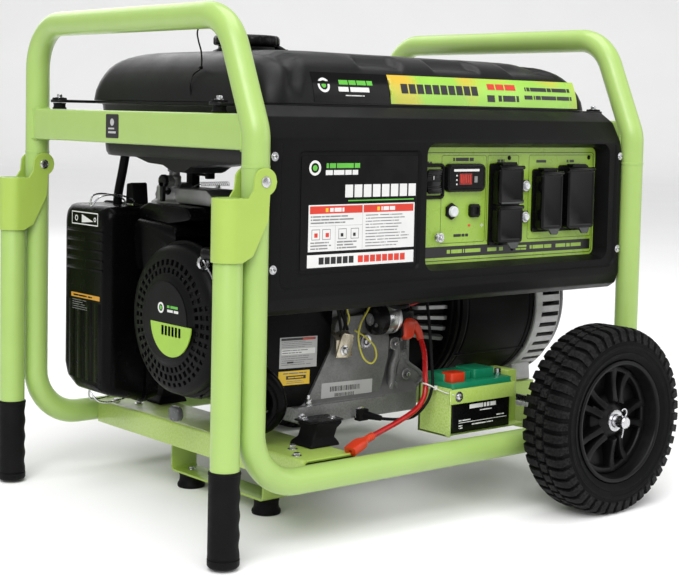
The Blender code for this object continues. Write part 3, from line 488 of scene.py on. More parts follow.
# ---------------------------------------------------------------- small repeated pieces

def bolt(centre, axis, size, height=None, flip=1, washer=True):
    """Hex bolt head with its washer, its face pointing along the axis (or back, with flip -1)."""
    height = height or size * 0.65
    rise = 0.12 * size
    parts = []
    if washer:
        parts.append(turned([(0, 0), (size * 1.05, 0), (size * 1.05, flip * rise),
                             (0, flip * rise)], centre, axis, 24))
    hexagon = [(size * 0.72, flip * rise), (size * 0.72, flip * (height - rise * 0.8)),
               (size * 0.6, flip * height)]
    hexagon = [(0, flip * rise)] + hexagon + [(0, flip * height)]
    parts.append(turned(hexagon, centre, axis, 6))
    return parts


def cross_screw(centre, axis, size, flip=1):
    """Round-headed screw on a washer, with a raised cross in place of its recess; the cross takes
    the second finish, a painted shade for the recess.
    """
    dome = [(0, 0), (size, 0), (size, flip * size * 0.15), (size * 0.72, flip * size * 0.15),
            (size * 0.66, flip * size * 0.42), (size * 0.42, flip * size * 0.6),
            (0, flip * size * 0.66)]
    parts = [turned(dome, centre, axis, 28)]
    long, thin = size * 0.36, size * 0.07
    depth = sorted((flip * size * 0.4, flip * size * 0.7))
    # the cross bars take finish number 1: painted shade that stands for the recess
    for a, b in ((long, thin), (thin, long)):
        side, up, ahead = (np.array(v, float) for v in AXES[axis])
        low = -side * a - up * b + ahead * depth[0]
        high = side * a + up * b + ahead * depth[1]
        bar = block(np.minimum(low, high), np.maximum(low, high))
        parts.append((bar[0] + np.array(centre, float), bar[1], 1))
    return parts


def print_plate(corner, right, up, out, patches):
    """Thin printed patches on a flat place.

    A patch is (left, bottom, right, top, layer, finish number) in metres from the corner; a
    higher layer stands a twentieth of a millimetre further out.
    """
    corner, right, up, out = (np.asarray(v, float) for v in (corner, right, up, out))
    parts = []
    for left, bottom, far, top, layer, mark in patches:
        ends = [[corner + right * a + up * b + out * depth
                 for a, b in [(left, bottom), (far, bottom), (far, top), (left, top)]]
                for depth in (0.0, PRINT_STEP * (layer + 1))]
        verts, faces = skin(np.array(ends))
        parts.append((verts, faces, mark))
    return parts


def front_print(face, patches):
    """Printed patches on a face that looks to -y, placed by their own x and z."""
    return print_plate((0, face, 0), (1, 0, 0), (0, 0, 1), (0, -1, 0), patches)


def text_bars(left, bottom, right, top, rows, layer, mark, seed=0, fill=0.45, ragged=0.3):
    """Rows of short bars that stand for lines of small print, without letters."""
    random = np.random.default_rng(seed)
    pitch = (top - bottom) / rows
    patches = []
    for row in range(rows):
        y = top - (row + 0.5) * pitch
        width = (right - left) * (1 - ragged * random.random())
        edges = np.sort(random.uniform(0, width, max(2, int(width / (pitch * 2.6)))))
        edges = np.concatenate([[0], edges, [width]])
        for a, b in zip(edges[:-1], edges[1:]):
            if b - a > pitch * 0.5:
                patches.append((left + a, y - pitch * fill / 2, left + b - pitch * 0.25,
                                y + pitch * fill / 2, layer, mark))
    return patches


# ---------------------------------------------------------------- settings

class PaintSettings(bpy.types.PropertyGroup):
    """Colours that a user would change."""
    frame_colour: bpy.props.FloatVectorProperty(
        name="Frame colour", description="Powder coat of the tubes", subtype="COLOR",
        default=(0.35, 0.515, 0.135), min=0, max=1)
    bracket_colour: bpy.props.FloatVectorProperty(
        name="Bracket colour", description="Paint of the sheet brackets and handles",
        subtype="COLOR", default=(0.36, 0.51, 0.085), min=0, max=1)
    panel_colour: bpy.props.FloatVectorProperty(
        name="Panel colour", description="Print of the control panel", subtype="COLOR",
        default=(0.295, 0.47, 0.055), min=0, max=1)


class ShapeSettings(bpy.types.PropertyGroup):
    """Sizes and counts that a user would change."""
    tread_blocks: bpy.props.IntProperty(
        name="Tread blocks", description="Blocks round the tyre in each row", default=46, min=12)
    tread_depth: bpy.props.FloatProperty(
        name="Tread depth", description="Height of a tread block", default=0.0042, unit="LENGTH")
    spoke_pairs: bpy.props.IntProperty(
        name="Spoke pairs", description="Split spokes of the rim", default=5, min=3, max=9)
    tube_sides: bpy.props.IntProperty(
        name="Tube sides", description="Sides of a frame tube", default=40, min=12)
    cable_diameter: bpy.props.FloatProperty(
        name="Cable diameter", description="Outer diameter of the red cable", default=0.007,
        unit="LENGTH")


# ---------------------------------------------------------------- camera, floor and light

CAMERA_PLACE = (-1.334, -1.6041, 0.5147)
CAMERA_YAW = math.radians(39.905)
CAMERA_PITCH = math.radians(4.076)
CAMERA_ROLL = math.radians(1.217)
CAMERA_LENS = 80.14
CAMERA_RISE = -0.1


class StageOperator(bpy.types.Operator):
    """Make the camera, the pale floor and the soft studio lights"""
    bl_idname = "generator.stage"
    bl_label = "Stage"

    def execute(self, context):
        self.camera(context)
        self.floor()
        self.lights(context)
        return {"FINISHED"}

    def camera(self, context):
        """Camera turned by yaw, pitched down and rolled about its own view."""
        data = bpy.data.cameras.new("camera")
        data.sensor_width = 36
        data.lens = CAMERA_LENS
        data.shift_y = CAMERA_RISE
        data.clip_start = 0.05
        thing = bpy.data.objects.new("camera", data)
        context.scene.collection.objects.link(thing)
        x, y, z = CAMERA_PLACE
        thing.location = (x + CENTRE_X, y, z)
        yaw, pitch, roll = CAMERA_YAW, CAMERA_PITCH, CAMERA_ROLL
        ahead = np.array([math.sin(yaw) * math.cos(pitch), math.cos(yaw) * math.cos(pitch),
                          -math.sin(pitch)])
        right = np.array([math.cos(yaw), -math.sin(yaw), 0])
        up = np.cross(right, ahead)
        side = math.cos(roll) * right + math.sin(roll) * up
        top = -math.sin(roll) * right + math.cos(roll) * up
        thing.rotation_euler = Matrix(np.stack([side, top, -ahead], 1).tolist()).to_euler()
        context.scene.camera = thing

    def floor(self):
        """Broad floor that curves up far behind the machine, as a studio sweep does."""
        reach = 14.0
        bend = 3.0
        ramp = fillet([(-reach, 0), (reach, 0), (reach, 9)], bend, 24, closed=False)
        outline = np.concatenate([ramp, ramp[::-1] + np.array([0.02, -0.02])])
        turn = prism(outline, -reach, reach, "X")
        turn = rotated(turn, -CAMERA_YAW, "Z")
        mesh = raw_mesh("floor", [turn])
        thing = bpy.data.objects.new("floor", mesh)
        bpy.context.scene.collection.objects.link(thing)
        mesh.materials.append(finish("studio_floor", colour=(0.86, 0.86, 0.86), roughness=0.7,
                                     grain=0.03, shade=0.01, patch=2))
        mesh.shade_smooth()

    def lights(self, context):
        """Large soft lights: key from the upper left, fill from the right, one from above."""
        places = (
            ("key", "AREA", (-2.6, -2.2, 2.6), 2.0, 58),
            ("fill", "AREA", (2.8, -2.2, 1.4), 2.0, 16),
            ("top", "AREA", (0.2, -0.1, 2.8), 2.0, 40), ("back", "AREA", (0.5, 3.2, 2.2), 2.4, 30),
            ("room", "SUN", (-1.2, -1.6, 2.6), math.radians(60), 1.5))
        for name, kind, spot, size, power in places:
            data = bpy.data.lights.new(name, kind)
            data.energy = power
            if kind == "SUN":
                data.angle = size
            else:
                data.shape = "SQUARE"
                data.size = size
            thing = bpy.data.objects.new(name, data)
            context.scene.collection.objects.link(thing)
            thing.location = spot
            aim = Vector((0, 0, 0.3)) - Vector(spot)
            thing.rotation_euler = aim.to_track_quat("-Z", "Y").to_euler()
        world = bpy.data.worlds.new("studio")
        world.use_nodes = True
        world.node_tree.nodes["Background"].inputs["Color"].default_value = (1, 1, 1, 1)
        world.node_tree.nodes["Background"].inputs["Strength"].default_value = 0.42
        context.scene.world = world
        context.scene.view_settings.view_transform = "Standard"


# ---------------------------------------------------------------- cables

RED_ROUTE = [(0.003, -0.156, 0.238), (0.0095, -0.1565, 0.237), (0.012, -0.165, 0.222),
             (0.006, -0.18, 0.203), (-0.005, -0.194, 0.182), (-0.012, -0.203, 0.166),
             (-0.02, -0.208, 0.152), (-0.038, -0.213, 0.14), (-0.07, -0.218, 0.13),
             (-0.1, -0.223, 0.1235), (-0.122, -0.227, 0.119)]
BLACK_ROUTE = [
    (0.01, -0.2225, 0.338), (0.01, -0.205, 0.337), (0.0085, -0.188, 0.324), (0.006, -0.181, 0.3),
    (0.004, -0.184, 0.276), (0.0, -0.193, 0.25), (-0.003, -0.2, 0.225), (-0.005, -0.205, 0.2),
    (-0.007, -0.2095, 0.182), (-0.01, -0.213, 0.166), (-0.02, -0.2145, 0.148),
    (-0.035, -0.208, 0.131), (-0.05, -0.195, 0.126), (-0.064, -0.176, 0.1255),
    (-0.072, -0.16, 0.127), (-0.074, -0.1456, 0.1285)]


class CableOperator(bpy.types.Operator):
    """Make the red battery cable with its terminal boot, and the black ground cable"""
    bl_idname = "generator.cables"
    bl_label = "Cables"

    def execute(self, context):
        diameter = context.scene.generator_shape.cable_diameter
        boot = self.boot()
        self.cable("red_lead", "red_cable", RED_ROUTE, diameter, "red_vinyl", "connector", [boot])
        lug = self.ground_lug()
        self.cable("black_lead", "black_cable", BLACK_ROUTE, 0.004, "rubber", "object", [lug])
        return {"FINISHED"}

    def cable(self, name, node, points, diameter, finish_name, far_end, extras):
        """Round tube along a smooth curve through the route's points."""
        path = smooth_route(points, 90)
        thing = piece(
            name, [pipe(path, diameter / 2, (0.3, 0.5, 0.8), 16)], finish_name, stands_for=node)

    def boot(self):
        """Soft terminal boot: a round sleeve that swells into a flat box, open at its tip."""
        path = smooth_route(RED_ROUTE, 90)
        start = path[-1] + unit(path[-1] - path[-2]) * 0.0003
        ahead = unit(path[-1] - path[-2])
        t = np.linspace(0, 1, 28)[:, None]
        line = start + ahead * 0.044 * t
        line[:, 2] -= 0.0035 * t[:, 0] ** 2
        swell = 1 / (1 + np.exp(-(t - 0.42) * 22))
        wide = 0.0048 + swell * 0.0052 - 0.0012 * t
        tall = 0.0048 + swell * 0.0016 - 0.0008 * t
        rib = 0.0004 * np.sin(t * 2 * PI * 12) * (t < 0.32)
        angle = np.arange(32) * 2 * PI / 32
        power = 0.5 + 0.5 * (1 - swell)
        c, s = np.cos(angle)[None], np.sin(angle)[None]
        section = np.stack([(wide + rib) * np.sign(c) * np.abs(c) ** power,
                            (tall + rib) * np.sign(s) * np.abs(s) ** power], -1)
        tip = block(tuple(line[-1] - (0.004, 0.0026, 0.0016)),
                    tuple(line[-1] + (0.004, 0.0026, 0.0012)))
        return piece("red_boot", [sweep(line, section)], "orange_boot",
                     stands_for="red_cable_boot", bevel=0.0006,
                     cuts=[("DIFFERENCE", [tip])])

    def ground_lug(self):
        """Crimped ring terminal and its rubber boot at the crankcase bolt."""
        x, y, z = BLACK_ROUTE[-1]
        sleeve = smooth_route([(x + 0.008, y - 0.034, z - 0.002),
                               (x + 0.003, y - 0.018, z - 0.001), (x - 0.001, y - 0.004, z)], 16)
        radius = np.linspace(0.0034, 0.0062, 16)
        parts = [pipe(sleeve, radius, (0, 0, 1), 20)]
        parts.append(block((x - 0.01, y - 0.012, z - 0.008), (x + 0.006, y - 0.001, z + 0.007)))
        return piece("black_boot", parts, "rubber", bevel=0.0012)


# ---------------------------------------------------------------- frame

TOP_Z = span("end_hoop_left")[1][2] - TUBE_R
KINK_Z = 0.491
LEAN = 0.058
CROSSBAR = (0.47, 0.511)
PIVOT_Z = 0.436
HANDLE_X = -POST_X - 0.036
BEAM_LOW, BEAM_HIGH = span("engine_crossmember")
BEAM_TOP = BEAM_HIGH[2]
SHEET = 0.003
BEAM_FLOOR = 0.0715


def weld_bead(path, normal, width=0.0022):
    """Small round bead whose width ripples along its path, as stacked weld drops do."""
    count = len(path)
    ripple = width * (1 + 0.16 * np.sin(np.arange(count) * 2 * PI / 3))
    return pipe(path, ripple, normal, 8)


def arc_points(centre, radius, start, end, axis, count=24):
    """Points along an arc round an axis, from a start angle to an end angle in degrees."""
    side, up, _ = (np.array(v, float) for v in AXES[axis])
    angle = np.radians(np.linspace(start, end, count))[:, None]
    return np.asarray(centre, float) + radius * (np.cos(angle) * side + np.sin(angle) * up)


def channel(near, far, floor, half):
    """Inverted channel of bent sheet across the rails, up to the height of the beams."""
    outline = [(near, floor), (near + SHEET, floor), (near + SHEET, BEAM_TOP - SHEET),
               (far - SHEET, BEAM_TOP - SHEET), (far - SHEET, floor), (far, floor),
               (far, BEAM_TOP), (near, BEAM_TOP)]
    radii = np.array([0.0002, 0.0002, 0.001, 0.001, 0.0002, 0.0002, 0.004, 0.004])
    return prism(fillet(outline, radii, 5), -half, half, "Y")


class FrameOperator(bpy.types.Operator):
    """Make the two side frames, the end hoops with their crossbars, and the cross-members"""
    bl_idname = "generator.frame"
    bl_label = "Frame"

    def execute(self, context):
        self.sides = context.scene.generator_shape.tube_sides
        for name, side in (("front", -1), ("rear", 1)):
            self.side_frame("side_frame_" + name, "frame_" + name, side * RAIL_Y)
        for name, side in (("left", -1), ("right", 1)):
            self.hoop("hoop_" + name, "end_hoop_" + name, side * POST_X)
        self.engine_beam()
        self.alternator_beam()
        self.splice_steps()
        self.foil_mark()
        return {"FINISHED"}

    def side_frame(self, name, node, y):
        """Bent tube: the uprights and the bottom rail, one round outline carried along the path."""
        corners = [(-POST_X, y, SPLICE_Z), (-POST_X, y, RAIL_Z), (POST_X, y, RAIL_Z),
                   (POST_X, y, SPLICE_Z)]
        path = fillet(corners, 0.065, 14, closed=False)
        piece(name, [pipe(path, TUBE_R, (0, 1, 0), self.sides)], "lime", stands_for=node,
              sharp=40)

    def hoop(self, name, node, x):
        """Front leg that leans back, top bar and rear leg, with the flat crossbar between them."""
        foot = SPLICE_Z + 0.0003
        corners = [(x, -RAIL_Y, foot), (x, -RAIL_Y, KINK_Z), (x, -RAIL_Y + LEAN, TOP_Z),
                   (x, RAIL_Y, TOP_Z), (x, RAIL_Y, foot)]
        path = fillet(corners, np.array([0.05, 0.05, 0.06, 0.06, 0.05]), 14, closed=False)
        parts = [pipe(path, TUBE_R, (1, 0, 0), self.sides)]
        half = 0.0125
        bar = prism(rectangle((x - half, CROSSBAR[0]), (x + half, CROSSBAR[1]), 0.0035, 5),
                    -RAIL_Y + 0.01, RAIL_Y - 0.01, "Y")
        parts.append(bar)
        for side in (-1, 1):
            y = side * (RAIL_Y - 0.0155)
            loop = rectangle((x - half, CROSSBAR[0]), (x + half, CROSSBAR[1]), 0.004, 4)
            ring = placed(loop, y, "Y")
            reach = np.sqrt(np.maximum(TUBE_R ** 2 - (loop[:, 0] - x) ** 2, 0))
            ring[:, 1] = side * (RAIL_Y - reach - 0.0006)
            dense = smooth_route(np.concatenate([ring, ring[:1]]), 120)[:-1]
            parts.append(pipe(dense, 0.0019 * (1 + 0.15 * np.sin(np.arange(119) * 2)), (0, 1, 0),
                              8, loop=True))
        piece(name, parts, "lime", stands_for=node, sharp=40)

    def splice_steps(self):
        """Slim rings where the hoops' swaged ends meet the uprights."""
        parts = []
        for x in (-POST_X, POST_X):
            for y in (-RAIL_Y, RAIL_Y):
                profile = [(TUBE_R - 0.001, -0.002), (TUBE_R + 0.0005, -0.0014),
                           (TUBE_R + 0.0005, 0.0014), (TUBE_R - 0.001, 0.002)]
                parts.append(turned(profile, (x, y, SPLICE_Z + 0.0002), "Z", 40, ring=True))
        piece("splice_rings", parts, "lime")

    def engine_beam(self):
        """Inverted channel under the engine, with the bent foot strap welded below it."""
        low, high = BEAM_LOW, BEAM_HIGH
        half = RAIL_Y - TUBE_R - 0.0003
        parts = [channel(low[0], high[0], BEAM_FLOOR, half)]
        flare, floor, top = 0.105, low[2], BEAM_FLOOR + SHEET
        strap = [(-flare, top), (-flare, floor), (flare, floor), (flare, top),
                 (flare - SHEET, top), (flare - SHEET, floor + SHEET),
                 (-flare + SHEET, floor + SHEET), (-flare + SHEET, top)]
        radii = np.array([0.0003, 0.007, 0.007, 0.0003, 0.0003, 0.004, 0.004, 0.0003])
        parts.append(prism(fillet(strap, radii, 6), -0.196, -0.156, "X"))
        for side in (-1, 1):
            edge = np.linspace(low[0] + 0.004, high[0] - 0.004, 60)
            path = np.column_stack(
                [edge, np.full(60, side * (half - 0.0006)), np.full(60, BEAM_TOP - 0.0006)])
            parts.append(weld_bead(path, (0, 0, 1), 0.0018))
        piece("engine_beam", parts, "lime_bracket", stands_for="engine_crossmember",
              bevel=0.0006)
        bolts = []
        for y in (-0.205, 0.205):
            bolts += bolt((low[0] + 0.012, y, BEAM_TOP), "Z", 0.006)
        for y in (-0.085, 0.085):
            bolts += bolt((-0.176, y, floor + SHEET), "Z", 0.0055)
        piece("beam_bolts", bolts, "zinc", bevel=0.0004)

    def alternator_beam(self):
        """Narrow channel with the two box posts that carry the end bell's feet."""
        low, high = span("alternator_crossmember")
        half = RAIL_Y - TUBE_R - 0.0003
        parts = [channel(low[0], high[0], low[2], half)]
        for middle in (-0.09, 0.02):
            outline = rectangle((low[0], middle - 0.025), (high[0], middle + 0.025), 0.003)
            parts.append(prism(outline, BEAM_TOP - 0.001, high[2], "Z"))
        piece("alternator_beam", parts, "lime_bracket", stands_for="alternator_crossmember",
              bevel=0.0006)

    def foil_mark(self):
        """Small dark foil on the left crossbar with two pale bars and a dot."""
        x = -POST_X - 0.0125 - 0.0003
        y, z = 0.035, 0.4915
        parts = [prism(rectangle((y - 0.015, z - 0.015), (y + 0.015, z + 0.015), 0.002), x,
                       x + 0.0006, "X")]
        patches = [(-0.009, -0.009, 0.009, -0.0065, 1, 1), (-0.009, -0.004, 0.005, -0.002, 1, 1)]
        parts += print_plate((x, y, z), (0, -1, 0), (0, 0, 1), (-1, 0, 0), patches)
        dot = [(0, -0.0002), (0.0045, -0.0002), (0.0045, 0.0002), (0, 0.0002)]
        parts.append((*turned(dot, (x, y, z + 0.005), "X", 28), 1))
        piece("foil_mark", parts, ["black_print", "label_grey"])


# ---------------------------------------------------------------- handles and feet

class HandleOperator(bpy.types.Operator):
    """Make the fold-down handles with brackets, pins and grips, and the two feet"""
    bl_idname = "generator.handles"
    bl_label = "Handles and feet"

    def execute(self, context):
        for name, side in (("front", -1), ("rear", 1)):
            y = side * RAIL_Y
            body = "handle_" + name
            self.tube(name, y, body)
            self.bracket(name, y, body)
            self.pin(name, y, body)
            self.grip(name, y, body)
            self.foot(name, side)
        return {"FINISHED"}

    def tube(self, name, y, body):
        """Straight tube with a round edge at its top."""
        low, top, r = 0.01, 0.418, 0.0168
        profile = [(0, low), (r, low), (r, top - 0.002), (r - 0.0007, top - 0.0006),
                   (r - 0.002, top), (r - 0.0035, top), (r - 0.0035, top - 0.02), (0, top - 0.02)]
        piece(f"handle_{name}_tube", [turned(profile, (HANDLE_X, y, 0), "Z", 40)], "lime",
              body=body, stands_for="handle_" + name, sharp=40)

    def bracket(self, name, y, body):
        """Sheet bent round the handle tube; its side outline trims each wall as it is drawn.

        The wall is a grid: one way round the bend, the other way up, and the lowest and highest
        point of each column come from the side outline at that column's place along x.
        """
        inner, outer = 0.0169, 0.0195
        ear = -POST_X + 0.0155
        low = PIVOT_Z - 0.089
        straight = np.linspace(0, 1, 34)
        bend = np.radians(np.linspace(90, 270, 25))

        def run(radius):
            x = np.concatenate([ear + (HANDLE_X - ear) * straight[:-1], HANDLE_X + radius
                                * np.cos(bend), HANDLE_X + (ear - HANDLE_X) * straight[1:]])
            across = np.concatenate(
                [np.full(33, radius), radius * np.sin(bend), np.full(33, -radius)])
            return x, across

        walls = []
        rows = np.linspace(0, 1, 30)[:, None]
        for radius in (outer, inner):
            x, across = run(radius)
            from_pin = np.clip(x + POST_X, -0.0155, 0.0155)
            round_end = np.sqrt(np.maximum(0.0155 ** 2 - from_pin ** 2, 0))
            slant = np.interp(x, [HANDLE_X + 0.006, HANDLE_X + 0.02, -POST_X + 0.0135],
                              [low, low + 0.007, PIVOT_Z - 0.026])
            near_ear = x > -POST_X + 0.006
            floor = np.where(near_ear, np.minimum(slant + 0.5, PIVOT_Z - round_end), slant)
            floor = np.where(near_ear, np.maximum(floor, np.minimum(slant, PIVOT_Z)), floor)
            roof = np.interp(x, [HANDLE_X - 0.02, -POST_X - 0.022, -POST_X - 0.0125],
                             [PIVOT_Z - 0.018, PIVOT_Z - 0.018, PIVOT_Z - 0.004])
            roof = np.where(x > -POST_X - 0.015, np.maximum(PIVOT_Z + round_end, roof), roof)
            z = floor + (np.maximum(roof, floor + 1e-4) - floor) * rows
            walls.append(np.stack([np.broadcast_to(x, z.shape),
                                   np.broadcast_to(y + across, z.shape), z], -1))
        piece(f"handle_{name}_bracket", [sheet(*walls)], "lime_bracket", body=body,
              bevel=0.0005)

    def pin(self, name, y, body):
        """Headed clevis pin through both ears, held by a hairpin on the inner side."""
        head = 0.0195
        centre = (-POST_X, y, PIVOT_Z)
        profile = [(0, -head - 0.0022), (0.0036, -head - 0.0022), (0.0062, -head - 0.0012),
                   (0.0064, -head), (0.004, -head), (0.004, head + 0.0018),
                   (0.0032, head + 0.0022), (0, head + 0.0022)]
        parts = [turned(profile, centre, "Y", 24)]
        wire = 0.0009
        inner = y + head + 0.0012
        loop = arc_points((-POST_X + 0.009, inner, PIVOT_Z + 0.012), 0.0045, -60, 210, "Y", 20)
        tail = np.array([(-POST_X + 0.0052, inner, PIVOT_Z + 0.004),
                         (-POST_X - 0.004, inner, PIVOT_Z - 0.016)])
        line = smooth_route(np.concatenate([loop, tail]), 60)
        parts.append(pipe(line, wire, (0, 1, 0), 8))
        piece(f"handle_{name}_pin", parts, "zinc", body=body, bevel=0.0003)

    def grip(self, name, y, body):
        """Rubber sleeve: round, with finger hollows on its inner side and a stepped end cap."""
        low, top, r = 0.0035, 0.113, 0.0188
        z = np.concatenate(
            [[low, low, low + 0.0012, low + 0.003, low + 0.0095, low + 0.01, low + 0.0112,
              low + 0.0118], np.linspace(low + 0.014, top - 0.006, 90),
             [top - 0.004, top - 0.0035, top - 0.002, top - 0.0008, top, top]])
        radius = np.concatenate(
            [[0, r - 0.003, r - 0.0014, r - 0.0003, r - 0.0002, r - 0.0012, r - 0.0012,
              r - 0.0004], np.full(90, r - 0.0006),
             [r - 0.0006, r, r, r - 0.0004, r - 0.0018, 0.0166]])
        angle = np.arange(48) * 2 * PI / 48
        toward = np.clip(np.cos(angle), 0, 1)[None] ** 1.5
        body_z = (z[:, None] > low + 0.013) & (z[:, None] < top - 0.005)
        phase = (z[:, None] - low - 0.014) / (top - low - 0.02) * 4
        hollow = 0.0017 * (0.5 - 0.5 * np.cos(2 * PI * phase)) * toward * body_z
        knurl = 0.00022 * np.sin(48 / 2 * angle)[None] * body_z * (1 - toward)
        full = radius[:, None] - hollow + knurl
        grid = np.stack([HANDLE_X + full * np.cos(angle), y + full * np.sin(angle),
                         np.broadcast_to(z[:, None], full.shape)], -1)
        piece(f"grip_{name}_sleeve", [skin(grid)], "rubber", body=body, stands_for="grip_" + name,
              sharp=40)

    def foot(self, name, side):
        """Turned rubber foot with a rolled rim and a groove under the strap."""
        top = span("foot_" + name)[1][2]
        profile = [(0, 0), (0.0165, 0), (0.0184, 0.0008), (0.019, 0.003), (0.0186, 0.0055),
                   (0.017, 0.0075), (0.016, 0.011), (0.016, top - 0.0045), (0.0168, top - 0.003),
                   (0.0168, top - 0.0008), (0.016, top), (0, top)]
        piece(f"rubber_foot_{name}", [turned(profile, (-0.176, side * 0.085, 0), "Z", 40)],
              "rubber", stands_for="foot_" + name, sharp=40)


# ---------------------------------------------------------------- wheels

WHEEL_LOW, WHEEL_HIGH = span("tyre_front")
WHEEL_X = (WHEEL_LOW[0] + WHEEL_HIGH[0]) / 2
WHEEL_R = (WHEEL_HIGH[0] - WHEEL_LOW[0]) / 2
WHEEL_MIDDLE = -(WHEEL_LOW[1] + WHEEL_HIGH[1]) / 2
WHEEL_HALF = (WHEEL_HIGH[1] - WHEEL_LOW[1]) / 2
RIM_R = 0.08


class WheelOperator(bpy.types.Operator):
    """Make the two wheels: block-tread tyres, deep rims with split spokes, and the axle"""
    bl_idname = "generator.wheels"
    bl_label = "Wheels"

    def execute(self, context):
        settings = context.scene.generator_shape
        for name, side in (("front", -1), ("rear", 1)):
            self.tyre(name, side, settings.tread_blocks, settings.tread_depth)
            self.rim(name, side, settings.spoke_pairs)
            self.hub_cap(name, side)
        self.axle()
        return {"FINISHED"}

    def tyre(self, name, side, blocks_round, depth):
        """Carcass turned from a square-shouldered profile with raised rings on its wall.

        The tread is three rows of blocks: each block spans an even share of the circle, and the
        outer rows wrap over the shoulder. Rows are shifted by half a block.
        """
        centre = (WHEEL_X, side * WHEEL_MIDDLE, WHEEL_R)
        half, base = WHEEL_HALF, WHEEL_R - depth
        rings = [(0.0835, -half + 0.0045), (0.087, -half + 0.0016), (0.09, -half + 0.0006),
                 (0.0912, -half + 0.0016), (0.096, -half + 0.0013), (0.0972, -half + 0.0004),
                 (0.1, -half + 0.0002), (0.1012, -half + 0.0012), (0.105, -half + 0.0018)]
        shoulder = [(base - 0.006, -half + 0.0045), (base - 0.0018, -half + 0.01),
                    (base, -half + 0.018)]
        one = [(RIM_R + 0.0005, -half + 0.0062), (0.0815, -half + 0.005)] + rings + shoulder
        profile = one + [(r, -a) for r, a in one[::-1]]
        carcass = turned(profile, centre, "Y", 120, ring=True)
        share = 2 * PI / blocks_round
        parts = [carcass]
        wall = [(0.104, -half + 0.0022), (0.106, -half + 0.0004), (base + 0.0002, -half + 0.004),
                (WHEEL_R - 0.0016, -half + 0.008), (WHEEL_R, -half + 0.014),
                (WHEEL_R, -half + 0.0265), (base - 0.0012, -half + 0.0275),
                (base - 0.0012, -half + 0.017), (base - 0.006, -half + 0.009)]
        rows = [(np.array(wall), 0.0, 0.6), (np.array(wall) * (1, -1), 0.5, 0.6)]
        middle = np.array([(base - 0.0012, -0.0055), (WHEEL_R, -0.005), (WHEEL_R, 0.005),
                           (base - 0.0012, 0.0055)])
        rows.append((middle, 0.25, 0.66))
        for outline, shift, fill in rows:
            parts.append(self.tread_row(outline, centre, share, shift, fill, blocks_round))
        piece(f"tyre_{name}_tread", parts, "tyre", body="wheel_" + name, stands_for="tyre_" + name,
              sharp=28)

    def tread_row(self, outline, centre, share, shift, fill, count):
        """One row of blocks: the outline (radius, along) swept over each block's angles.

        The two ends of a block lean a little, so that the grooves run across at a slant.
        """
        steps = np.linspace(-fill / 2, fill / 2, 3)
        lean = outline[:, 1] * 3.5
        angle = (np.arange(count)[:, None, None] + shift + steps[None, :, None]) * share
        angle = angle + lean[None, None, :] * share
        r = np.broadcast_to(outline[:, 0], angle.shape)
        grid = np.stack([centre[0] + r * np.sin(angle),
                         np.broadcast_to(centre[1] + outline[:, 1], angle.shape), centre[2] + r
                         * np.cos(angle)], -1)
        size = steps.size * len(outline)
        _, faces = skin(grid[0])
        every = [[i + size * k for i in face] for k in range(count) for face in faces]
        return grid.reshape(-1, 3), every

    def rim(self, name, side, pairs):
        """Deep barrel, hub, and split spokes: each spoke is a loft from the hub to the barrel."""
        centre = np.array([WHEEL_X, side * WHEEL_MIDDLE, WHEEL_R])
        out = WHEEL_HALF - 0.004
        face = 1.0 * side
        barrel = [(RIM_R, -out), (RIM_R, -0.5 * out), (0.0772, -0.3 * out), (0.0772, 0.35 * out),
                  (0.0785, out - 0.006), (0.0798, out - 0.002), (0.08, out), (0.078, out + 0.0012),
                  (0.0748, out + 0.0008), (0.0735, out - 0.0015), (BEAM_FLOOR, out - 0.018),
                  (0.07, out - 0.0195), (0.069, 0.2 * out), (0.069, -0.2 * out),
                  (0.074, -0.5 * out), (0.0765, -out)]
        barrel = [(r, a * face) for r, a in barrel]
        parts = [turned(barrel, centre, "Y", 96, ring=True)]
        web = [(0.069, 0.0035), (0.0695, -0.0005), (0.03, -0.0005), (0.03, 0.0015)]
        parts.append(turned([(r, a * face) for r, a in web], centre, "Y", 72, ring=True))
        hub = [(0.0085, 0.0), (0.0085, out - 0.01), (0.015, out - 0.0095), (0.0175, out - 0.011),
               (0.0215, out - 0.015), (0.0235, out - 0.016), (0.0245, out - 0.018),
               (0.0265, 0.012), (0.032, 0.006), (0.033, 0.0), (0.0245, -0.006), (0.024, -out),
               (0.0085, -out)]
        parts.append(turned([(r, a * face) for r, a in hub], centre, "Y", 60, ring=True))
        ring = [(0.069, 0.011), (0.07, 0.0145), (0.064, 0.0145), (0.0625, 0.012), (0.063, 0.003),
                (0.069, 0.003)]
        parts.append(turned([(r, a * face) for r, a in ring], centre, "Y", 72, ring=True))
        t = np.linspace(0, 1, 12)
        for pair in range(pairs):
            for leg in (-1, 1):
                middle = 2 * PI * pair / pairs + 0.3
                reach = 0.0225 + (0.07 - 0.0225) * t
                turn = middle + leg * (0.26 + 0.05 * t - 0.04 * np.sin(PI * t))
                turn = middle + leg * (0.0062 / reach + 0.14 * t)
                height = out - 0.0175 - 0.0035 * t - 0.004 * np.sin(PI * t)
                line = centre + np.stack(
                    [reach * np.sin(turn), face * height, reach * np.cos(turn)], -1)
                wide = (0.0052 - 0.0012 * np.sin(PI * t) + 0.001 * t)[:, None]
                deep = (0.007 + 0.0015 * np.cos(PI * t))[:, None]
                shape = np.array([(-1, 0.55), (-0.75, 1), (0.75, 1), (1, 0.55), (1.12, -1),
                                  (-1.12, -1)])
                section = np.stack([shape[None, :, 0] * wide, shape[None, :, 1] * deep], -1)
                parts.append(sweep(line, section, (0, face, 0)))
        piece(f"rim_{name}_spokes", parts, "rim", body="wheel_" + name, stands_for="rim_" + name,
              bevel=0.0005, sharp=40)

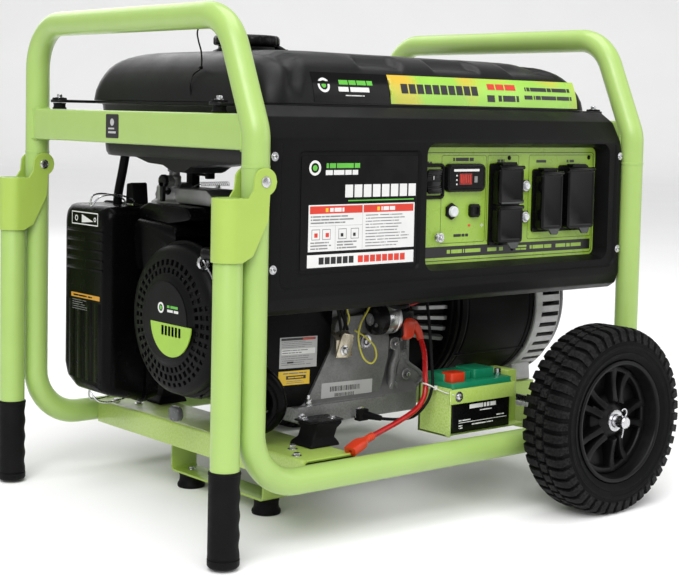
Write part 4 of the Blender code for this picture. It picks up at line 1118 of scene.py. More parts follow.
    def hub_cap(self, name, side):
        """Axle washer in the middle of the hub, and the hairpin through the axle's end."""
        y = side * (span("axle")[1][1] - 0.0015)
        face = 1.0 * side
        start = side * WHEEL_MIDDLE + face * (WHEEL_HALF - 0.0138)
        profile = [(0.0087, 0), (0.014, 0), (0.014, 0.0018), (0.0087, 0.0018)]
        parts = [turned([(r, a * face) for r, a in profile], (WHEEL_X, start, WHEEL_R), "Y", 36,
                        ring=True)]
        ring_z = WHEEL_R + 0.0125
        wire_y = y - face * 0.0035
        loop = arc_points((WHEEL_X, wire_y, ring_z), 0.0052, -60, 240, "Y", 26)
        left = np.array(
            [(WHEEL_X - 0.001, wire_y, WHEEL_R + 0.0055), (WHEEL_X + 0.0002, wire_y, WHEEL_R),
             (WHEEL_X - 0.0012, wire_y, WHEEL_R - 0.014),
             (WHEEL_X - 0.0035, wire_y, WHEEL_R - 0.02)])
        parts.append(pipe(smooth_route(np.concatenate([loop, left]), 70), 0.001, (0, 1, 0), 8))
        piece(f"axle_{name}_clip", parts, "zinc", bevel=0.0002)

    def axle(self):
        """Chamfered axle bar and its two saddles on the rails."""
        high = span("axle")[1]
        end = high[1]
        r = 0.008
        profile = [(0, -end), (r - 0.0016, -end), (r, -end + 0.0016), (r, end - 0.0016),
                   (r - 0.0016, end), (0, end)]
        piece("axle_bar", [turned(profile, (WHEEL_X, 0, WHEEL_R), "Y", 32)], "zinc",
              stands_for="axle", sharp=40)
        parts = []
        for side in (-1, 1):
            y = side * RAIL_Y
            outline = [(WHEEL_X - 0.022, RAIL_Z + TUBE_R + 0.0003),
                       (WHEEL_X + 0.022, RAIL_Z + TUBE_R + 0.0003), (WHEEL_X + 0.014, high[2]),
                       (WHEEL_X - 0.014, high[2])]
            parts.append(prism(fillet(outline, np.array([0.001, 0.001, 0.009, 0.009]), 5),
                               y - 0.018, y + 0.018, "Y"))
        piece("axle_saddles", parts, "lime_bracket", bevel=0.0008)


# ---------------------------------------------------------------- front cover

COVER_LOW, COVER_HIGH = span("front_cover")
COVER_X = COVER_HIGH[0]
COVER_FRONT = COVER_LOW[1]
PANEL_FACE = span("control_panel")[0][1]
WELL = ((-0.055, 0.325), (0.277, 0.474))


def frame_line(low, high, radius, width, face, mark):
    """Thin printed line round a rectangle on a face that looks to -y."""
    height = 2 * PRINT_STEP
    loop = rectangle(low, high, radius)
    path = placed(loop, face - height / 2, "Y")
    section = np.array([(-width / 2, -height / 2), (width / 2, -height / 2),
                        (width / 2, height / 2), (-width / 2, height / 2)])
    return (*sweep(path, section, (0, -1, 0), loop=True), mark)


def tapered(low, high, radius, near, far, spread):
    """Block along y whose round-cornered outline grows by spread from its far to its near end."""
    rings = [placed(rectangle((low[0] - grow, low[1] - grow), (high[0] + grow, high[1] + grow),
                              radius + grow), y, "Y") for y, grow in ((far, 0.0), (near, spread))]
    return skin(np.array(rings))


def disc_print(centre, radius, hole, face, layer, mark):
    """Printed disc or ring on a face that looks to -y."""
    lift = face - PRINT_STEP * (layer + 1)
    profile = [(hole, lift), (radius, lift), (radius, face), (hole, face)]
    x, z = centre
    return (*turned(profile, (x, 0, z), "Y", 36, ring=hole > 0), mark)


class CoverOperator(bpy.types.Operator):
    """Make the moulded front cover with its recesses, nameplate and screws"""
    bl_idname = "generator.cover"
    bl_label = "Front cover"

    def execute(self, context):
        self.shell()
        self.nameplate()
        self.screws()
        return {"FINISHED"}

    def shell(self):
        """Side outline carried along x, with its ends drawn in; hollow, recess and well cut out."""
        top = COVER_HIGH[2]
        low = COVER_LOW[2]
        corners = [(-0.2048, top), (-0.212, top), (-0.232, 0.509), (-0.2465, 0.484),
                   (COVER_FRONT, 0.468), (COVER_FRONT, 0.3), (-0.2455, 0.287), (-0.235, low),
                   (COVER_HIGH[1], low)]
        radii = np.array([0.0002, 0.004, 0.006, 0.012, 0.012, 0.01, 0.006, 0.006, 0.0002])
        outline = fillet(corners, radii, 4)
        centre = np.array([COVER_HIGH[1], 0.4])
        rings = []
        for x, inset in ((-COVER_X, 0.006), (-COVER_X + 0.0008, 0.003), (-COVER_X + 0.003, 0.0008),
                         (-COVER_X + 0.006, 0.0), (COVER_X - 0.006, 0.0),
                         (COVER_X - 0.003, 0.0008), (COVER_X - 0.0008, 0.003), (COVER_X, 0.006)):
            arm = outline - centre
            size = np.maximum(np.linalg.norm(arm, axis=1, keepdims=True), 1e-6)
            ring = outline - arm / size * inset
            rings.append(placed(ring, x, "X"))
        room = [(-0.17, top - 0.004), (-0.21, top - 0.004), (-0.229, 0.505), (-0.24, 0.484),
                (-0.2405, 0.468), (-0.2405, 0.301), (-0.238, 0.291), (-0.231, low + 0.004),
                (-0.17, low + 0.004)]
        hollow = prism(room, -COVER_X + 0.004, COVER_X - 0.004, "X")
        (x0, z0), (x1, z1) = WELL
        back = PANEL_FACE - 0.0003
        housing = prism(rectangle((x0 - 0.004, z0 - 0.004), (x1 + 0.004, z1 + 0.004), 0.004),
                        COVER_FRONT + 0.002, back, "Y")
        recess = tapered((-0.2865, 0.3125), (0.2935, 0.4865), 0.01, COVER_FRONT - 0.002,
                         COVER_FRONT + 0.0026, 0.0046)
        plate = tapered((-0.259, 0.327), (-0.072, 0.468), 0.005, COVER_FRONT + 0.001,
                        COVER_FRONT + 0.0052, 0.004)
        mouth = tapered((x0 + 0.001, z0 + 0.002), (x1 - 0.001, z1 - 0.001), 0.008,
                        COVER_FRONT - 0.002, back + 0.002, 0.0075)
        piece("cover_shell", [skin(np.array(rings))], "black_cover", stands_for="front_cover",
              sharp=34,
              cuts=[("DIFFERENCE", [hollow]), ("UNION", [housing]), ("DIFFERENCE", [recess]),
                    ("DIFFERENCE", [plate]), ("DIFFERENCE", [mouth])])

    def nameplate(self):
        """Glossy plate with a plain round mark, bars for words, a two-column label and a strip."""
        face = COVER_FRONT + 0.0046
        low, high = (-0.256, 0.3315), (-0.0745, 0.464)
        body = prism(rectangle(low, high, 0.003), face, face + 0.001, "Y")
        looks = ["black_gloss", "white_print", "green_print", "red_print", "grey_print",
                 "yellow_print", "black_print"]
        white, green, red, grey, yellow, black = 1, 2, 3, 4, 5, 6
        patches = [(-0.185, 0.4104, -0.08, 0.4118, 0, green)]
        patches += text_bars(-0.219, 0.4495, -0.166, 0.4555, 1, 0, green, seed=2, fill=0.95,
                             ragged=0.02)
        patches += text_bars(-0.22, 0.4415, -0.169, 0.4475, 1, 0, white, seed=3, fill=0.95,
                             ragged=0.02)
        edges = np.linspace(-0.191, -0.076, 9)
        patches += [(a + 0.0012, 0.415, b - 0.0012, 0.43, 0, white)
                    for a, b in zip(edges[:-1], edges[1:])]
        patches += [(-0.2445, 0.3525, -0.0785, 0.407, 0, white)]
        patches += [(-0.2425, 0.3965, -0.1625, 0.4055, 1, red),
                    (-0.1605, 0.3965, -0.0805, 0.4055, 1, red)]
        for left in (-0.219, -0.139):
            patches += [(left, 0.3985, left + 0.004, 0.403, 2, yellow)]
            patches += text_bars(left + 0.0065, 0.3982, left + 0.03, 0.4034, 1, 2, white,
                                 seed=int(-left * 1000), fill=0.9, ragged=0.02)
        patches += text_bars(-0.241, 0.384, -0.166, 0.395, 3, 1, grey, seed=5)
        patches += text_bars(-0.157, 0.3545, -0.085, 0.395, 11, 1, grey, seed=6, fill=0.32)
        patches += [(-0.2425, 0.382, -0.1625, 0.3823, 1, grey),
                    (-0.204, 0.3535, -0.2037, 0.382, 1, grey),
                    (-0.162, 0.3535, -0.1617, 0.407, 1, grey)]
        for left in (-0.2395, -0.2235, -0.199, -0.18):
            patches += [(left, 0.366, left + 0.0125, 0.3785, 1, grey),
                        (left + 0.0008, 0.3668, left + 0.0117, 0.3777, 2, white)]
        for left in (-0.2355, -0.2185):
            patches += [(left, 0.369, left + 0.005, 0.374, 3, red)]
        for left in (-0.1955, -0.1765):
            patches += [(left, 0.369, left + 0.004, 0.373, 3, black)]
        patches += text_bars(-0.241, 0.354, -0.206, 0.3645, 3, 1, grey, seed=7)
        patches += text_bars(-0.201, 0.354, -0.166, 0.3645, 3, 1, grey, seed=8)
        patches += [(-0.2455, 0.3338, -0.0785, 0.3488, 0, white)]
        edges = np.linspace(-0.229, -0.174, 7)
        patches += [(a + 0.0008, 0.3372, b - 0.0008, 0.3455, 1, black)
                    for a, b in zip(edges[:-1], edges[1:])]
        edges = np.linspace(-0.169, -0.092, 9)
        patches += [(a + 0.0008, 0.3372, b - 0.0008, 0.3455, 1, red)
                    for a, b in zip(edges[:-1], edges[1:])]
        parts = [body, *front_print(face, patches)]
        parts.append(disc_print((-0.236, 0.45), 0.0088, 0.0058, face, 0, white))
        parts.append(disc_print((-0.236, 0.45), 0.0034, 0, face, 0, green))
        piece("nameplate", parts, looks)

    def screws(self):
        """Four washer-headed cross screws in the ends of the cover."""
        parts = []
        for x, z in ((-0.2985, 0.4635), (-0.2985, 0.335), (0.301, 0.4625), (0.301, 0.3345)):
            parts.append(turned([(0, 0), (0.0052, 0), (0.0052, -0.0007), (0, -0.0007)],
                                (x, COVER_FRONT + 0.0002, z), "Y", 28))
            parts += cross_screw((x, COVER_FRONT - 0.0004, z), "Y", 0.0043, -1)
        # the cross recesses of these screws are painted shade
        piece("cover_screws", parts, ["zinc", "black_deep"])


# ---------------------------------------------------------------- control panel

def disc_of(low, high):
    """Middle x and z and the radius of a round solid that looks to -y."""
    return (low[0] + high[0]) / 2, (low[2] + high[2]) / 2, (high[0] - low[0]) / 2


class PanelOperator(bpy.types.Operator):
    """Make the printed panel with its switch, meter, breakers, outlets and hinged covers"""
    bl_idname = "generator.panel"
    bl_label = "Control panel"

    def execute(self, context):
        self.plate()
        self.switch()
        self.meter()
        self.buttons()
        self.dc_socket()
        self.ground_screw()
        self.outlet("duplex_outlet", self.duplex_slots())
        self.outlet("twist_lock_outlet", self.twist_slots())
        self.outlet("range_outlet", self.range_slots())
        self.flap("duplex_flap_upper", False, None)
        self.flap("duplex_flap_lower", True, 0.62)
        self.flap("twist_lock_flap", True, 0.62)
        self.flap("range_flap", True, 0.66)
        return {"FINISHED"}

    def plate(self):
        """Lime plate: border line, rounded group outlines, caption strip and bars of print."""
        (x0, z0), (x1, z1) = WELL
        face = PANEL_FACE
        plate = prism(rectangle((x0 - 0.003, z0 - 0.003), (x1 + 0.003, z1 + 0.003), 0.004), face,
                      face + 0.003, "Y")
        looks = ["lime_panel", "black_print", "red_print", "white_print"]
        black, red, white = 1, 2, 3
        parts = [plate]
        lines = (((-0.06, 0.33), (0.2735, 0.4668), 0.0055, 0.0009),
                 ((-0.0155, 0.352), (0.0635, 0.4635), 0.003, 0.0006),
                 ((0.0665, 0.352), (0.124, 0.4635), 0.003, 0.0006),
                 ((0.144, 0.352), (0.271, 0.4635), 0.003, 0.0006))
        for low, high, radius, width in lines:
            parts.append(frame_line(low, high, radius, width, face, mark=black))
        patches = [(-0.055, 0.334, 0.2705, 0.348, 0, black)]
        captions = ((-0.003, 0.06, 1), (0.07, 0.102, 1), (0.123, 0.145, 2), (0.15, 0.196, 1),
                    (0.201, 0.255, 1))
        for seed, (left, right, rows) in enumerate(captions):
            patches += text_bars(left, 0.3372, right, 0.3448, rows, 1, 0, seed=seed + 20,
                                 fill=0.62, ragged=0.05)
        labels = ((-0.048, -0.03, 0.452, 0.4562), (0.004, 0.044, 0.4555, 0.461),
                  (0.084, 0.099, 0.4545, 0.4585), (0.157, 0.179, 0.453, 0.4575),
                  (0.218, 0.234, 0.453, 0.4575), (0.008, 0.036, 0.359, 0.3635))
        for seed, (left, right, low, high) in enumerate(labels):
            patches += text_bars(left, low, right, high, 1, 0, black, seed=seed + 40, fill=0.8,
                                 ragged=0.05)
        patches += [
            (0.033, 0.372, 0.0375, 0.375, 0, red), (0.056, 0.3725, 0.061, 0.3738, 0, white),
            (0.0579, 0.3706, 0.0592, 0.3757, 0, white), (0.1338, 0.4005, 0.1362, 0.4045, 0, black)]
        parts += front_print(face, patches)
        piece("panel_plate", parts, looks, stands_for="control_panel")
        screws = []
        for x, z in ((0.106, 0.46), (0.263, 0.46), (0.116, 0.3405), (-0.049, 0.46)):
            screws += cross_screw((x, face, z), "Y", 0.003, -1)
        # the cross recesses of these screws are painted shade
        piece("panel_screws", screws, ["black_satin", "black_deep"])

    def switch(self):
        """Square bezel round the rocker, and the rocker with two sets of grip ridges."""
        low, high = span("engine_switch")
        x0, x1, z0, z1 = low[0] - 0.0025, high[0] + 0.0025, low[2] - 0.0025, high[2] + 0.0025
        front = PANEL_FACE
        wide = 0.0045
        ring = [
            placed(rectangle((x0 - grow, z0 - grow), (x1 + grow, z1 + grow), 0.0015 + grow, 4), y,
                   "Y") for y, grow in ((front, wide), (front - 0.0022, wide),
                                        (front - 0.0034, wide - 0.001), (front - 0.0034, 0.001),
                                        (front - 0.002, 0.0), (front, 0.0))]
        piece("switch_bezel", [skin(np.array(ring), loop=True)], "black_satin",
              sharp=40)
        middle = (low[2] + high[2]) / 2
        z = np.linspace(low[2], high[2], 40)
        lift = np.abs(z - middle) / (high[2] - middle)
        proud = front - 0.0028 - 0.003 * lift ** 1.4
        ridge = 0.0005 * np.clip(np.cos((z - middle) / 0.0028 * 2 * PI), 0, 1) * (lift > 0.35) * (
            lift < 0.9)
        outline = np.concatenate(
            [np.column_stack([proud - ridge, z]),
             [(front + 0.007, middle + 0.006), (front + 0.007, middle - 0.006)]])
        marks = [(low[0] + 0.01, middle + 0.002, low[0] + 0.011, middle + 0.007, 0, 1)]
        print_parts = front_print(front - 0.004, marks)
        piece("switch_rocker",
              [prism(outline, low[0] + 0.0003, high[0] - 0.0003, "X"), *print_parts],
              ["black_gloss", "white_print"], body="engine_switch", stands_for="engine_switch",
              bevel=0.0003)

    def meter(self):
        """Rounded meter body with a raised rim, a red display and printed bars."""
        low, high = span("digital_meter")
        front = low[1]
        rings = [placed(rectangle((low[0] + inset, low[2] + inset),
                                  (high[0] - inset, high[2] - inset), 0.0075 - inset, 6), y, "Y")
                 for y, inset in ((high[1], 0), (front + 0.003, 0), (front + 0.0008, 0.0008),
                                  (front, 0.0022), (front, 0.0036), (front + 0.0009, 0.0046))]
        face = front + 0.0009
        x, z = low[0], low[2]
        patches = [(x + 0.011, z + 0.0262, x + 0.056, z + 0.0292, 0, 1),
                   (x + 0.021, z + 0.0095, x + 0.043, z + 0.0235, 0, 2),
                   (x + 0.015, z + 0.009, x + 0.0172, z + 0.011, 0, 1),
                   (x + 0.015, z + 0.0145, x + 0.0172, z + 0.0165, 0, 1),
                   (x + 0.015, z + 0.02, x + 0.0172, z + 0.022, 0, 1),
                   (x + 0.0475, z + 0.012, x + 0.053, z + 0.02, 0, 3)]
        for left in (0.0235, 0.03, 0.0365):
            for side in (0, 0.003):
                patches.append((x + left + side, z + 0.012, x + left + side + 0.0007, z + 0.0215,
                                1, 4))
        parts = [skin(np.array(rings)), *front_print(face, patches)]
        piece("meter_body", parts, ["black_satin", "white_print", "display_red", "grey_print",
                                    "red_print"], stands_for="digital_meter",
              sharp=40)

    def button(self, node):
        """Turned push button with a dished, ringed face."""
        low, high = span(node)
        x, z = (low[0] + high[0]) / 2, (low[2] + high[2]) / 2
        r, front = (high[0] - low[0]) / 2, low[1]
        profile = [(0, front + 0.0006), (r * 0.45, front + 0.0005), (r * 0.62, front + 0.0001),
                   (r * 0.8, front), (r - 0.0004, front + 0.0006), (r, front + 0.0018),
                   (r, high[1]), (0, high[1])]
        piece(node + "_cap", [turned(profile, (x, 0, z), "Y", 36)], "clear_cap", body=node,
              stands_for=node, sharp=50)

    def buttons(self):
        """Breaker buttons, and the black bodies that they slide through."""
        self.button("dc_breaker_button")
        for name in ("breaker_button_upper", "breaker_button_lower"):
            self.button(name)
            low, high = span(name)
            x, z, r = disc_of(low, high)
            rings = [placed(rectangle((x - 0.0085 + inset, z - 0.0075 + inset),
                                      (x + 0.0075 - inset, z + 0.0075 - inset), 0.002, 4), y, "Y")
                     for y, inset in ((PANEL_FACE, 0.0), (PANEL_FACE - 0.003, 0.0),
                                      (PANEL_FACE - 0.0038, 0.0008))]
            collar = [(r + 0.0004, -0.0036), (r + 0.0024, -0.0036), (r + 0.0024, -0.0052),
                      (r + 0.0004, -0.0052)]
            hole = turned([(0, -0.01), (r + 0.0004, -0.01), (r + 0.0004, 0.01), (0, 0.01)],
                          (x, PANEL_FACE, z), "Y", 32)
            piece(name + "_body", [skin(np.array(rings))], "black_satin",
                  sharp=40, cuts=[("DIFFERENCE", [hole])])
            piece(name + "_collar", [turned(collar, (x, PANEL_FACE, z), "Y", 32, ring=True)],
                  "zinc", sharp=40)
        low, high = span("dc_breaker_button")
        x, z, r = disc_of(low, high)
        nut = [(r + 0.0004, 0), (r + 0.0038, 0), (r + 0.0038, -0.003), (r + 0.003, -0.004),
               (r + 0.0004, -0.004)]
        piece("dc_breaker_nut", [turned(nut, (x, PANEL_FACE, z), "Y", 6, ring=True)],
              "black_satin", bevel=0.0003)

    def dc_socket(self):
        """Small black direct-current socket: eight-sided body with a stepped mouth."""
        x, z, front = 0.0415, 0.3925, PANEL_FACE
        rings = []
        for y, half, cut in ((front, 0.0085, 0.0028), (front - 0.005, 0.0085, 0.0028),
                             (front - 0.0062, 0.0076, 0.0024), (front - 0.0062, 0.0048, 0.0016),
                             (front - 0.0035, 0.0044, 0.0014)):
            outline = np.array([(half, half - cut), (half - cut, half), (cut - half, half),
                                (-half, half - cut), (-half, cut - half), (cut - half, -half),
                                (half - cut, -half), (half, cut - half)])
            rings.append(np.column_stack([x + outline[:, 0], np.full(8, y), z + outline[:, 1]]))
        piece("dc_socket", [skin(np.array(rings))], "black_satin",
              bevel=0.0003)

    def ground_screw(self):
        """Grounding screw with a washer, a star washer and a wing-like nut."""
        x, z = -0.02, 0.36
        parts = bolt((x, PANEL_FACE, z), "Y", 0.005, 0.0042, -1)
        parts.append(turned([(0, -0.004), (0.0028, -0.004), (0.0028, -0.0095), (0.0022, -0.0102),
                             (0, -0.0102)], (x, PANEL_FACE, z), "Y", 20))
        parts.append(
            turned([(0.003, -0.0052), (0.006, -0.0052), (0.0062, -0.006), (0.006, -0.0066),
                    (0.003, -0.0066)], (x, PANEL_FACE, z), "Y", 24, ring=True))
        piece("ground_screw", parts, "zinc", bevel=0.0003)

    def duplex_slots(self):
        """Two sets of two blades and a round earth, as (x, z, width, height) from the middle."""
        return [(s * 0.0064, dz + 0.003, 0.0016, 0.0075) for dz in (0.024, -0.022)
                for s in (-1, 1)] + [(0, dz - 0.006, 0.004, 0.004) for dz in (0.024, -0.022)]

    def twist_slots(self):
        """Four blades round a circle, drawn as short upright slots."""
        return [(-0.0085, 0.002, 0.0018, 0.009), (0.0085, 0.002, 0.0018, 0.009),
                (0, 0.0115, 0.009, 0.0018), (0, -0.008, 0.006, 0.0018)]

    def range_slots(self):
        """Two tall side blades, a bent top blade and a round earth."""
        return [(-0.011, 0, 0.0024, 0.014), (0.011, 0, 0.0024, 0.014), (0, 0.015, 0.0024, 0.01),
                (0, -0.015, 0.0055, 0.0055)]

    def outlet(self, node, slots):
        """Base flange and proud face with round corners, slots drawn as flat patches of painted
        shade, and a hinge hood.
        """
        low, high = span(node)
        base = PANEL_FACE - 0.003
        flange = tapered((low[0], low[2]), (high[0], high[2]), 0.004, PANEL_FACE - 0.0003, base,
                         0.0)
        rings = []
        inner_low = np.array([low[0] + 0.006, low[2] + 0.006])
        inner_high = np.array([high[0] - 0.006, high[2] - 0.012])
        for y, inset in ((base + 0.001, 0), (low[1] + 0.0008, 0), (low[1], 0.0008)):
            outline = rectangle(inner_low + inset, inner_high - inset, 0.004, 4)
            rings.append(placed(outline, y, "Y"))
        middle = (inner_low + inner_high) / 2
        # the slots are flat patches in the near-black finish: painted shade where the openings
        # would be
        patches = [(middle[0] + x - w / 2, middle[1] + z - h / 2, middle[0] + x + w / 2,
                    middle[1] + z + h / 2, 0, 1) for x, z, w, h in slots]
        hood_x = (low[0] + high[0]) / 2
        hood = prism(rectangle((hood_x - 0.0135, high[2] - 0.0022),
                               (hood_x + 0.0135, high[2] + 0.0018), 0.0015), low[1] + 0.001,
                     base + 0.001, "Y")
        parts = [flange, skin(np.array(rings)), hood, *front_print(low[1], patches)]
        piece(node + "_body", parts, ["black_satin", "black_deep"], stands_for=node,
              sharp=40)

    def flap(self, node, closed_foot, tab_at):
        """Hinged cover: crowned front, side walls that reach back over the outlet, and a roll.

        The front is a stack of round-cornered outlines that draw in towards the face.
        """
        low, high = span(node)
        front = low[1] + 0.0021
        back = high[1]
        top = high[2] - 0.003
        rings = [
            placed(rectangle((low[0] + inset, low[2] + inset), (high[0] - inset, top - inset),
                             max(0.0048 - inset, 0.001), 5), y, "Y")
            for y, inset in ((back, 0), (front + 0.0014, 0), (front + 0.0005, 0.0005),
                             (front, 0.0014), (front + 0.0001, 0.004), (front + 0.0005, 0.0052))]
        parts = [skin(np.array(rings))]
        wall = 0.0024
        reach = back + 0.0085
        if closed_foot:
            foot = [(low[0], top - 0.004), (low[0], low[2]), (high[0], low[2]),
                    (high[0], top - 0.004), (high[0] - wall, top - 0.004),
                    (high[0] - wall, low[2] + 0.0015), (low[0] + wall, low[2] + 0.0015),
                    (low[0] + wall, top - 0.004)]
            radii = np.array([0.0003, 0.0046, 0.0046, 0.0003, 0.0003, 0.003, 0.003, 0.0003])
            parts.append(prism(fillet(foot, radii, 4), back - 0.0005, reach, "Y"))
        else:
            for x in (low[0], high[0] - wall):
                parts.append(block((x, back - 0.0005, low[2]), (x + wall, reach, top - 0.004)))
        roll = [(0, low[0]), (0.0024, low[0]), (0.0026, low[0] + 0.0004),
                (0.0026, high[0] - 0.0004), (0.0024, high[0]), (0, high[0])]
        parts.append(turned(roll, (0, low[1] + 0.0028, high[2] - 0.0028), "X", 20))
        looks = ["black_gloss", "grey_tab"]
        if tab_at:
            x = low[0] + (high[0] - low[0]) * tab_at
            lip = fillet([(x - 0.011, low[2] + 0.001), (x + 0.011, low[2] + 0.001),
                          (x + 0.0075, low[2] - 0.0075), (x - 0.0035, low[2] - 0.0075)],
                         np.array([0.0004, 0.0004, 0.004, 0.004]), 5)
            parts.append((*prism(lip, front + 0.0006, back + 0.0004, "Y"), 1))
        else:
            strip = [(low[0] + 0.004, low[2] + 0.0006), (high[0] - 0.001, low[2] + 0.0006),
                     (high[0] - 0.001, low[2] + 0.003), (low[0] + 0.004, low[2] + 0.003)]
            parts.append((*prism(strip, front - 0.0002, front + 0.0008, "Y"), 1))
        piece(node + "_lid", parts, looks, body=node, stands_for=node,
              sharp=40)


# ---------------------------------------------------------------- tank

TANK_TOP = 0.59
TANK_X = (-0.278, 0.295)
TANK_Y = (-0.203, 0.205)
SEAM_Z = 0.524
FILLER = ((span("fuel_cap")[0] + span("fuel_cap")[1]) / 2)[:2]


def bar_soft(values, centre, half, edge):
    """Smooth window: one inside centre +- half, falling to zero over the edge width."""
    away = (np.abs(values - centre) - half) / edge
    return 1 / (1 + np.exp(np.clip(away * 4, -30, 30)))


class TankOperator(bpy.types.Operator):
    """Make the fuel tank, its label band, filler cap, tether, hose, bolts and fuel valve"""
    bl_idname = "generator.tank"
    bl_label = "Fuel tank"

    def execute(self, context):
        self.upper()
        self.lower()
        self.ears()
        self.band()
        self.cap()
        self.tether()
        self.hose()
        self.valve()
        return {"FINISHED"}

    def upper(self):
        """Upper half: rings of a round-cornered outline that draw in with height.

        Wedge hollows along the front shoulder and one scoop across the left end are sunk by
        smooth windows of x and y; the crown falls a little to the right.
        """
        count_side = 160
        corners = 14
        levels = np.array(
            [(SEAM_Z + 0.0003, 0.0, 0.034), (0.5285, 0.0005, 0.034), (0.538, 0.0018, 0.034),
             (0.55, 0.0052, 0.035), (0.56, 0.0095, 0.036), (0.568, 0.014, 0.037),
             (0.574, 0.019, 0.039), (0.5785, 0.0245, 0.041), (0.582, 0.0305, 0.043),
             (0.585, 0.038, 0.045), (0.5872, 0.046, 0.047), (0.5888, 0.055, 0.05),
             (0.5897, 0.068, 0.054), (0.59, 0.085, 0.058), (0.59, 0.11, 0.06), (0.59, 0.14, 0.05),
             (0.59, 0.17, 0.028)])
        rings = []
        for z, inset, radius in levels:
            low = (TANK_X[0] + inset, TANK_Y[0] + inset)
            high = (TANK_X[1] - inset, TANK_Y[1] - inset)
            outline = self.dense_outline(
                low, high, min(radius, 0.5 * (high[1] - low[1]) - 0.001), count_side, corners)
            rings.append(placed(outline, z, "Z"))
        grid = np.array(rings)
        x, y, z = grid[..., 0], grid[..., 1], grid[..., 2]
        share = np.clip((z - SEAM_Z) / (TANK_TOP - SEAM_Z), 0, 1)
        fall = np.interp(x, [-0.28, -0.2, 0.18, 0.25, 0.3], [-0.001, 0, -0.002, -0.006, -0.015])
        z += fall * share
        shoulder = bar_soft(z, 0.579, 0.0055, 0.005)
        front = (y < -0.1)
        for centre, half in ((-0.085, 0.034), (0.045, 0.04), (0.185, 0.04)):
            wedge = bar_soft(x, centre, half, 0.006) * shoulder * front
            y += 0.0075 * wedge
            z -= 0.005 * wedge
        scoop = bar_soft(x, -0.23, 0.0085, 0.006) * bar_soft(share, 0.78, 0.5, 0.1) * front
        y += 0.006 * scoop
        z -= 0.003 * scoop
        lid = bar_soft(x, 0.06, 0.15, 0.01) * bar_soft(y, 0.0, 0.095, 0.01) * (z > 0.585)
        z += 0.0012 * lid
        rear = bar_soft(x, 0.03, 0.12, 0.012) * (y > 0.1) * shoulder
        y -= 0.006 * rear
        filler_x, filler_y = FILLER
        step = [(0.034, 0.586), (0.0455, 0.586), (0.044, 0.5915), (0.0395, 0.5935),
                (0.037, 0.5945), (0.037, 0.597), (0.029, 0.597), (0.029, 0.587)]
        parts = [skin(grid), turned(step, (filler_x, filler_y, 0), "Z", 64, ring=True)]
        piece("tank_top", parts, "black_tank", stands_for="tank_upper",
              sharp=50)

    def dense_outline(self, low, high, radius, side_count, corner_count):
        """Round-cornered rectangle with many points along the long sides."""
        (x0, y0), (x1, y1) = low, high
        r = radius
        t = np.linspace(0, PI / 2, corner_count + 1)

        def corner(cx, cy, start):
            return np.column_stack([cx + r * np.cos(start + t), cy + r * np.sin(start + t)])

        def run(a, b, count):
            s = np.linspace(0, 1, count + 1)[1:-1, None]
            return np.array(a) * (1 - s) + np.array(b) * s

        short = side_count // 3
        return np.concatenate(
            [corner(x1 - r, y1 - r, 0), run((x1 - r, y1), (x0 + r, y1), side_count),
             corner(x0 + r, y1 - r, PI / 2), run((x0, y1 - r), (x0, y0 + r), short),
             corner(x0 + r, y0 + r, PI), run((x0 + r, y0), (x1 - r, y0), side_count),
             corner(x1 - r, y0 + r, 1.5 * PI), run((x1, y0 + r), (x1, y1 - r), short)])

    def lower(self):
        """Lower half: rings that grow to the welded flange, with the sump below."""
        levels = ((0.4505, 0.03, 0.024), (0.45, 0.02, 0.032), (0.4512, 0.014, 0.036),
                  (0.456, 0.011, 0.039), (0.466, 0.01, 0.039), (0.5, 0.0095, 0.036),
                  (0.518, 0.0085, 0.034), (0.5195, 0.0075, 0.034), (0.52, 0.0008, 0.034),
                  (0.5206, 0.0, 0.034), (0.5234, 0.0, 0.034), (SEAM_Z, 0.0006, 0.034))
        rings = [placed(rectangle((TANK_X[0] + inset, TANK_Y[0] + inset),
                                  (TANK_X[1] - inset, TANK_Y[1] - inset), radius, 10), z, "Z")
                 for z, inset, radius in levels]
        outline = fillet([(0.14, 0.46), (0.1, 0.4505), (0.066, 0.443), (0.032, 0.4415),
                          (0.012, 0.4345), (-0.016, 0.4335), (-0.032, 0.4415), (-0.06, 0.4445),
                          (-0.14, 0.45), (-0.15, 0.46)], 0.003, 4)
        sump = [
            np.column_stack([np.full(len(outline), x), outline * (1, grow) + (0, shift)])
            for x, grow, shift in ((-0.264, 0.98, 0.01), (-0.26, 1.0, 0.0005), (-0.256, 1.0, 0.0),
                                   (-0.205, 1.0, 0.0), (-0.2, 0.97, 0.0145))]
        piece("tank_bottom", [skin(np.array(rings)), skin(np.array(sump))], "black_tank",
              stands_for="tank_lower", sharp=44)

    def ears(self):
        """Flange ears, rubber mounts on the crossbars, and their washers and bolts."""
        plates, rubbers, bolts = [], [], []
        for end in (-1, 1):
            for y in (-0.178, 0.19):
                near, far = end * 0.255, end * (POST_X + 0.01)
                outline = rectangle((min(near, far), y - 0.012), (max(near, far), y + 0.012),
                                    0.008, 6)
                plates.append(prism(outline, SEAM_Z - 0.004, SEAM_Z - 0.0002, "Z"))
                x = end * POST_X
                low = CROSSBAR[1] + 0.0003
                rubber = [(0, low), (0.0088, low), (0.0095, low + 0.0012), (0.008, low + 0.003),
                          (0.008, SEAM_Z - 0.006), (0.0092, SEAM_Z - 0.0045), (0, SEAM_Z - 0.0042)]
                rubbers.append(turned(rubber, (x, y, 0), "Z", 28))
                washer = [(0, 0), (0.0095, 0), (0.0098, 0.0012), (0.009, 0.0026), (0, 0.0026)]
                rubbers.append(turned(washer, (x, y, SEAM_Z - 0.0002), "Z", 28))
                bolts += bolt((x, y, SEAM_Z + 0.0024), "Z", 0.0056, 0.0048)
        piece("tank_ears", plates, "black_tank", bevel=0.0006)
        piece("tank_mounts", rubbers, "rubber")
        piece("tank_bolts", bolts, "zinc", bevel=0.0003)

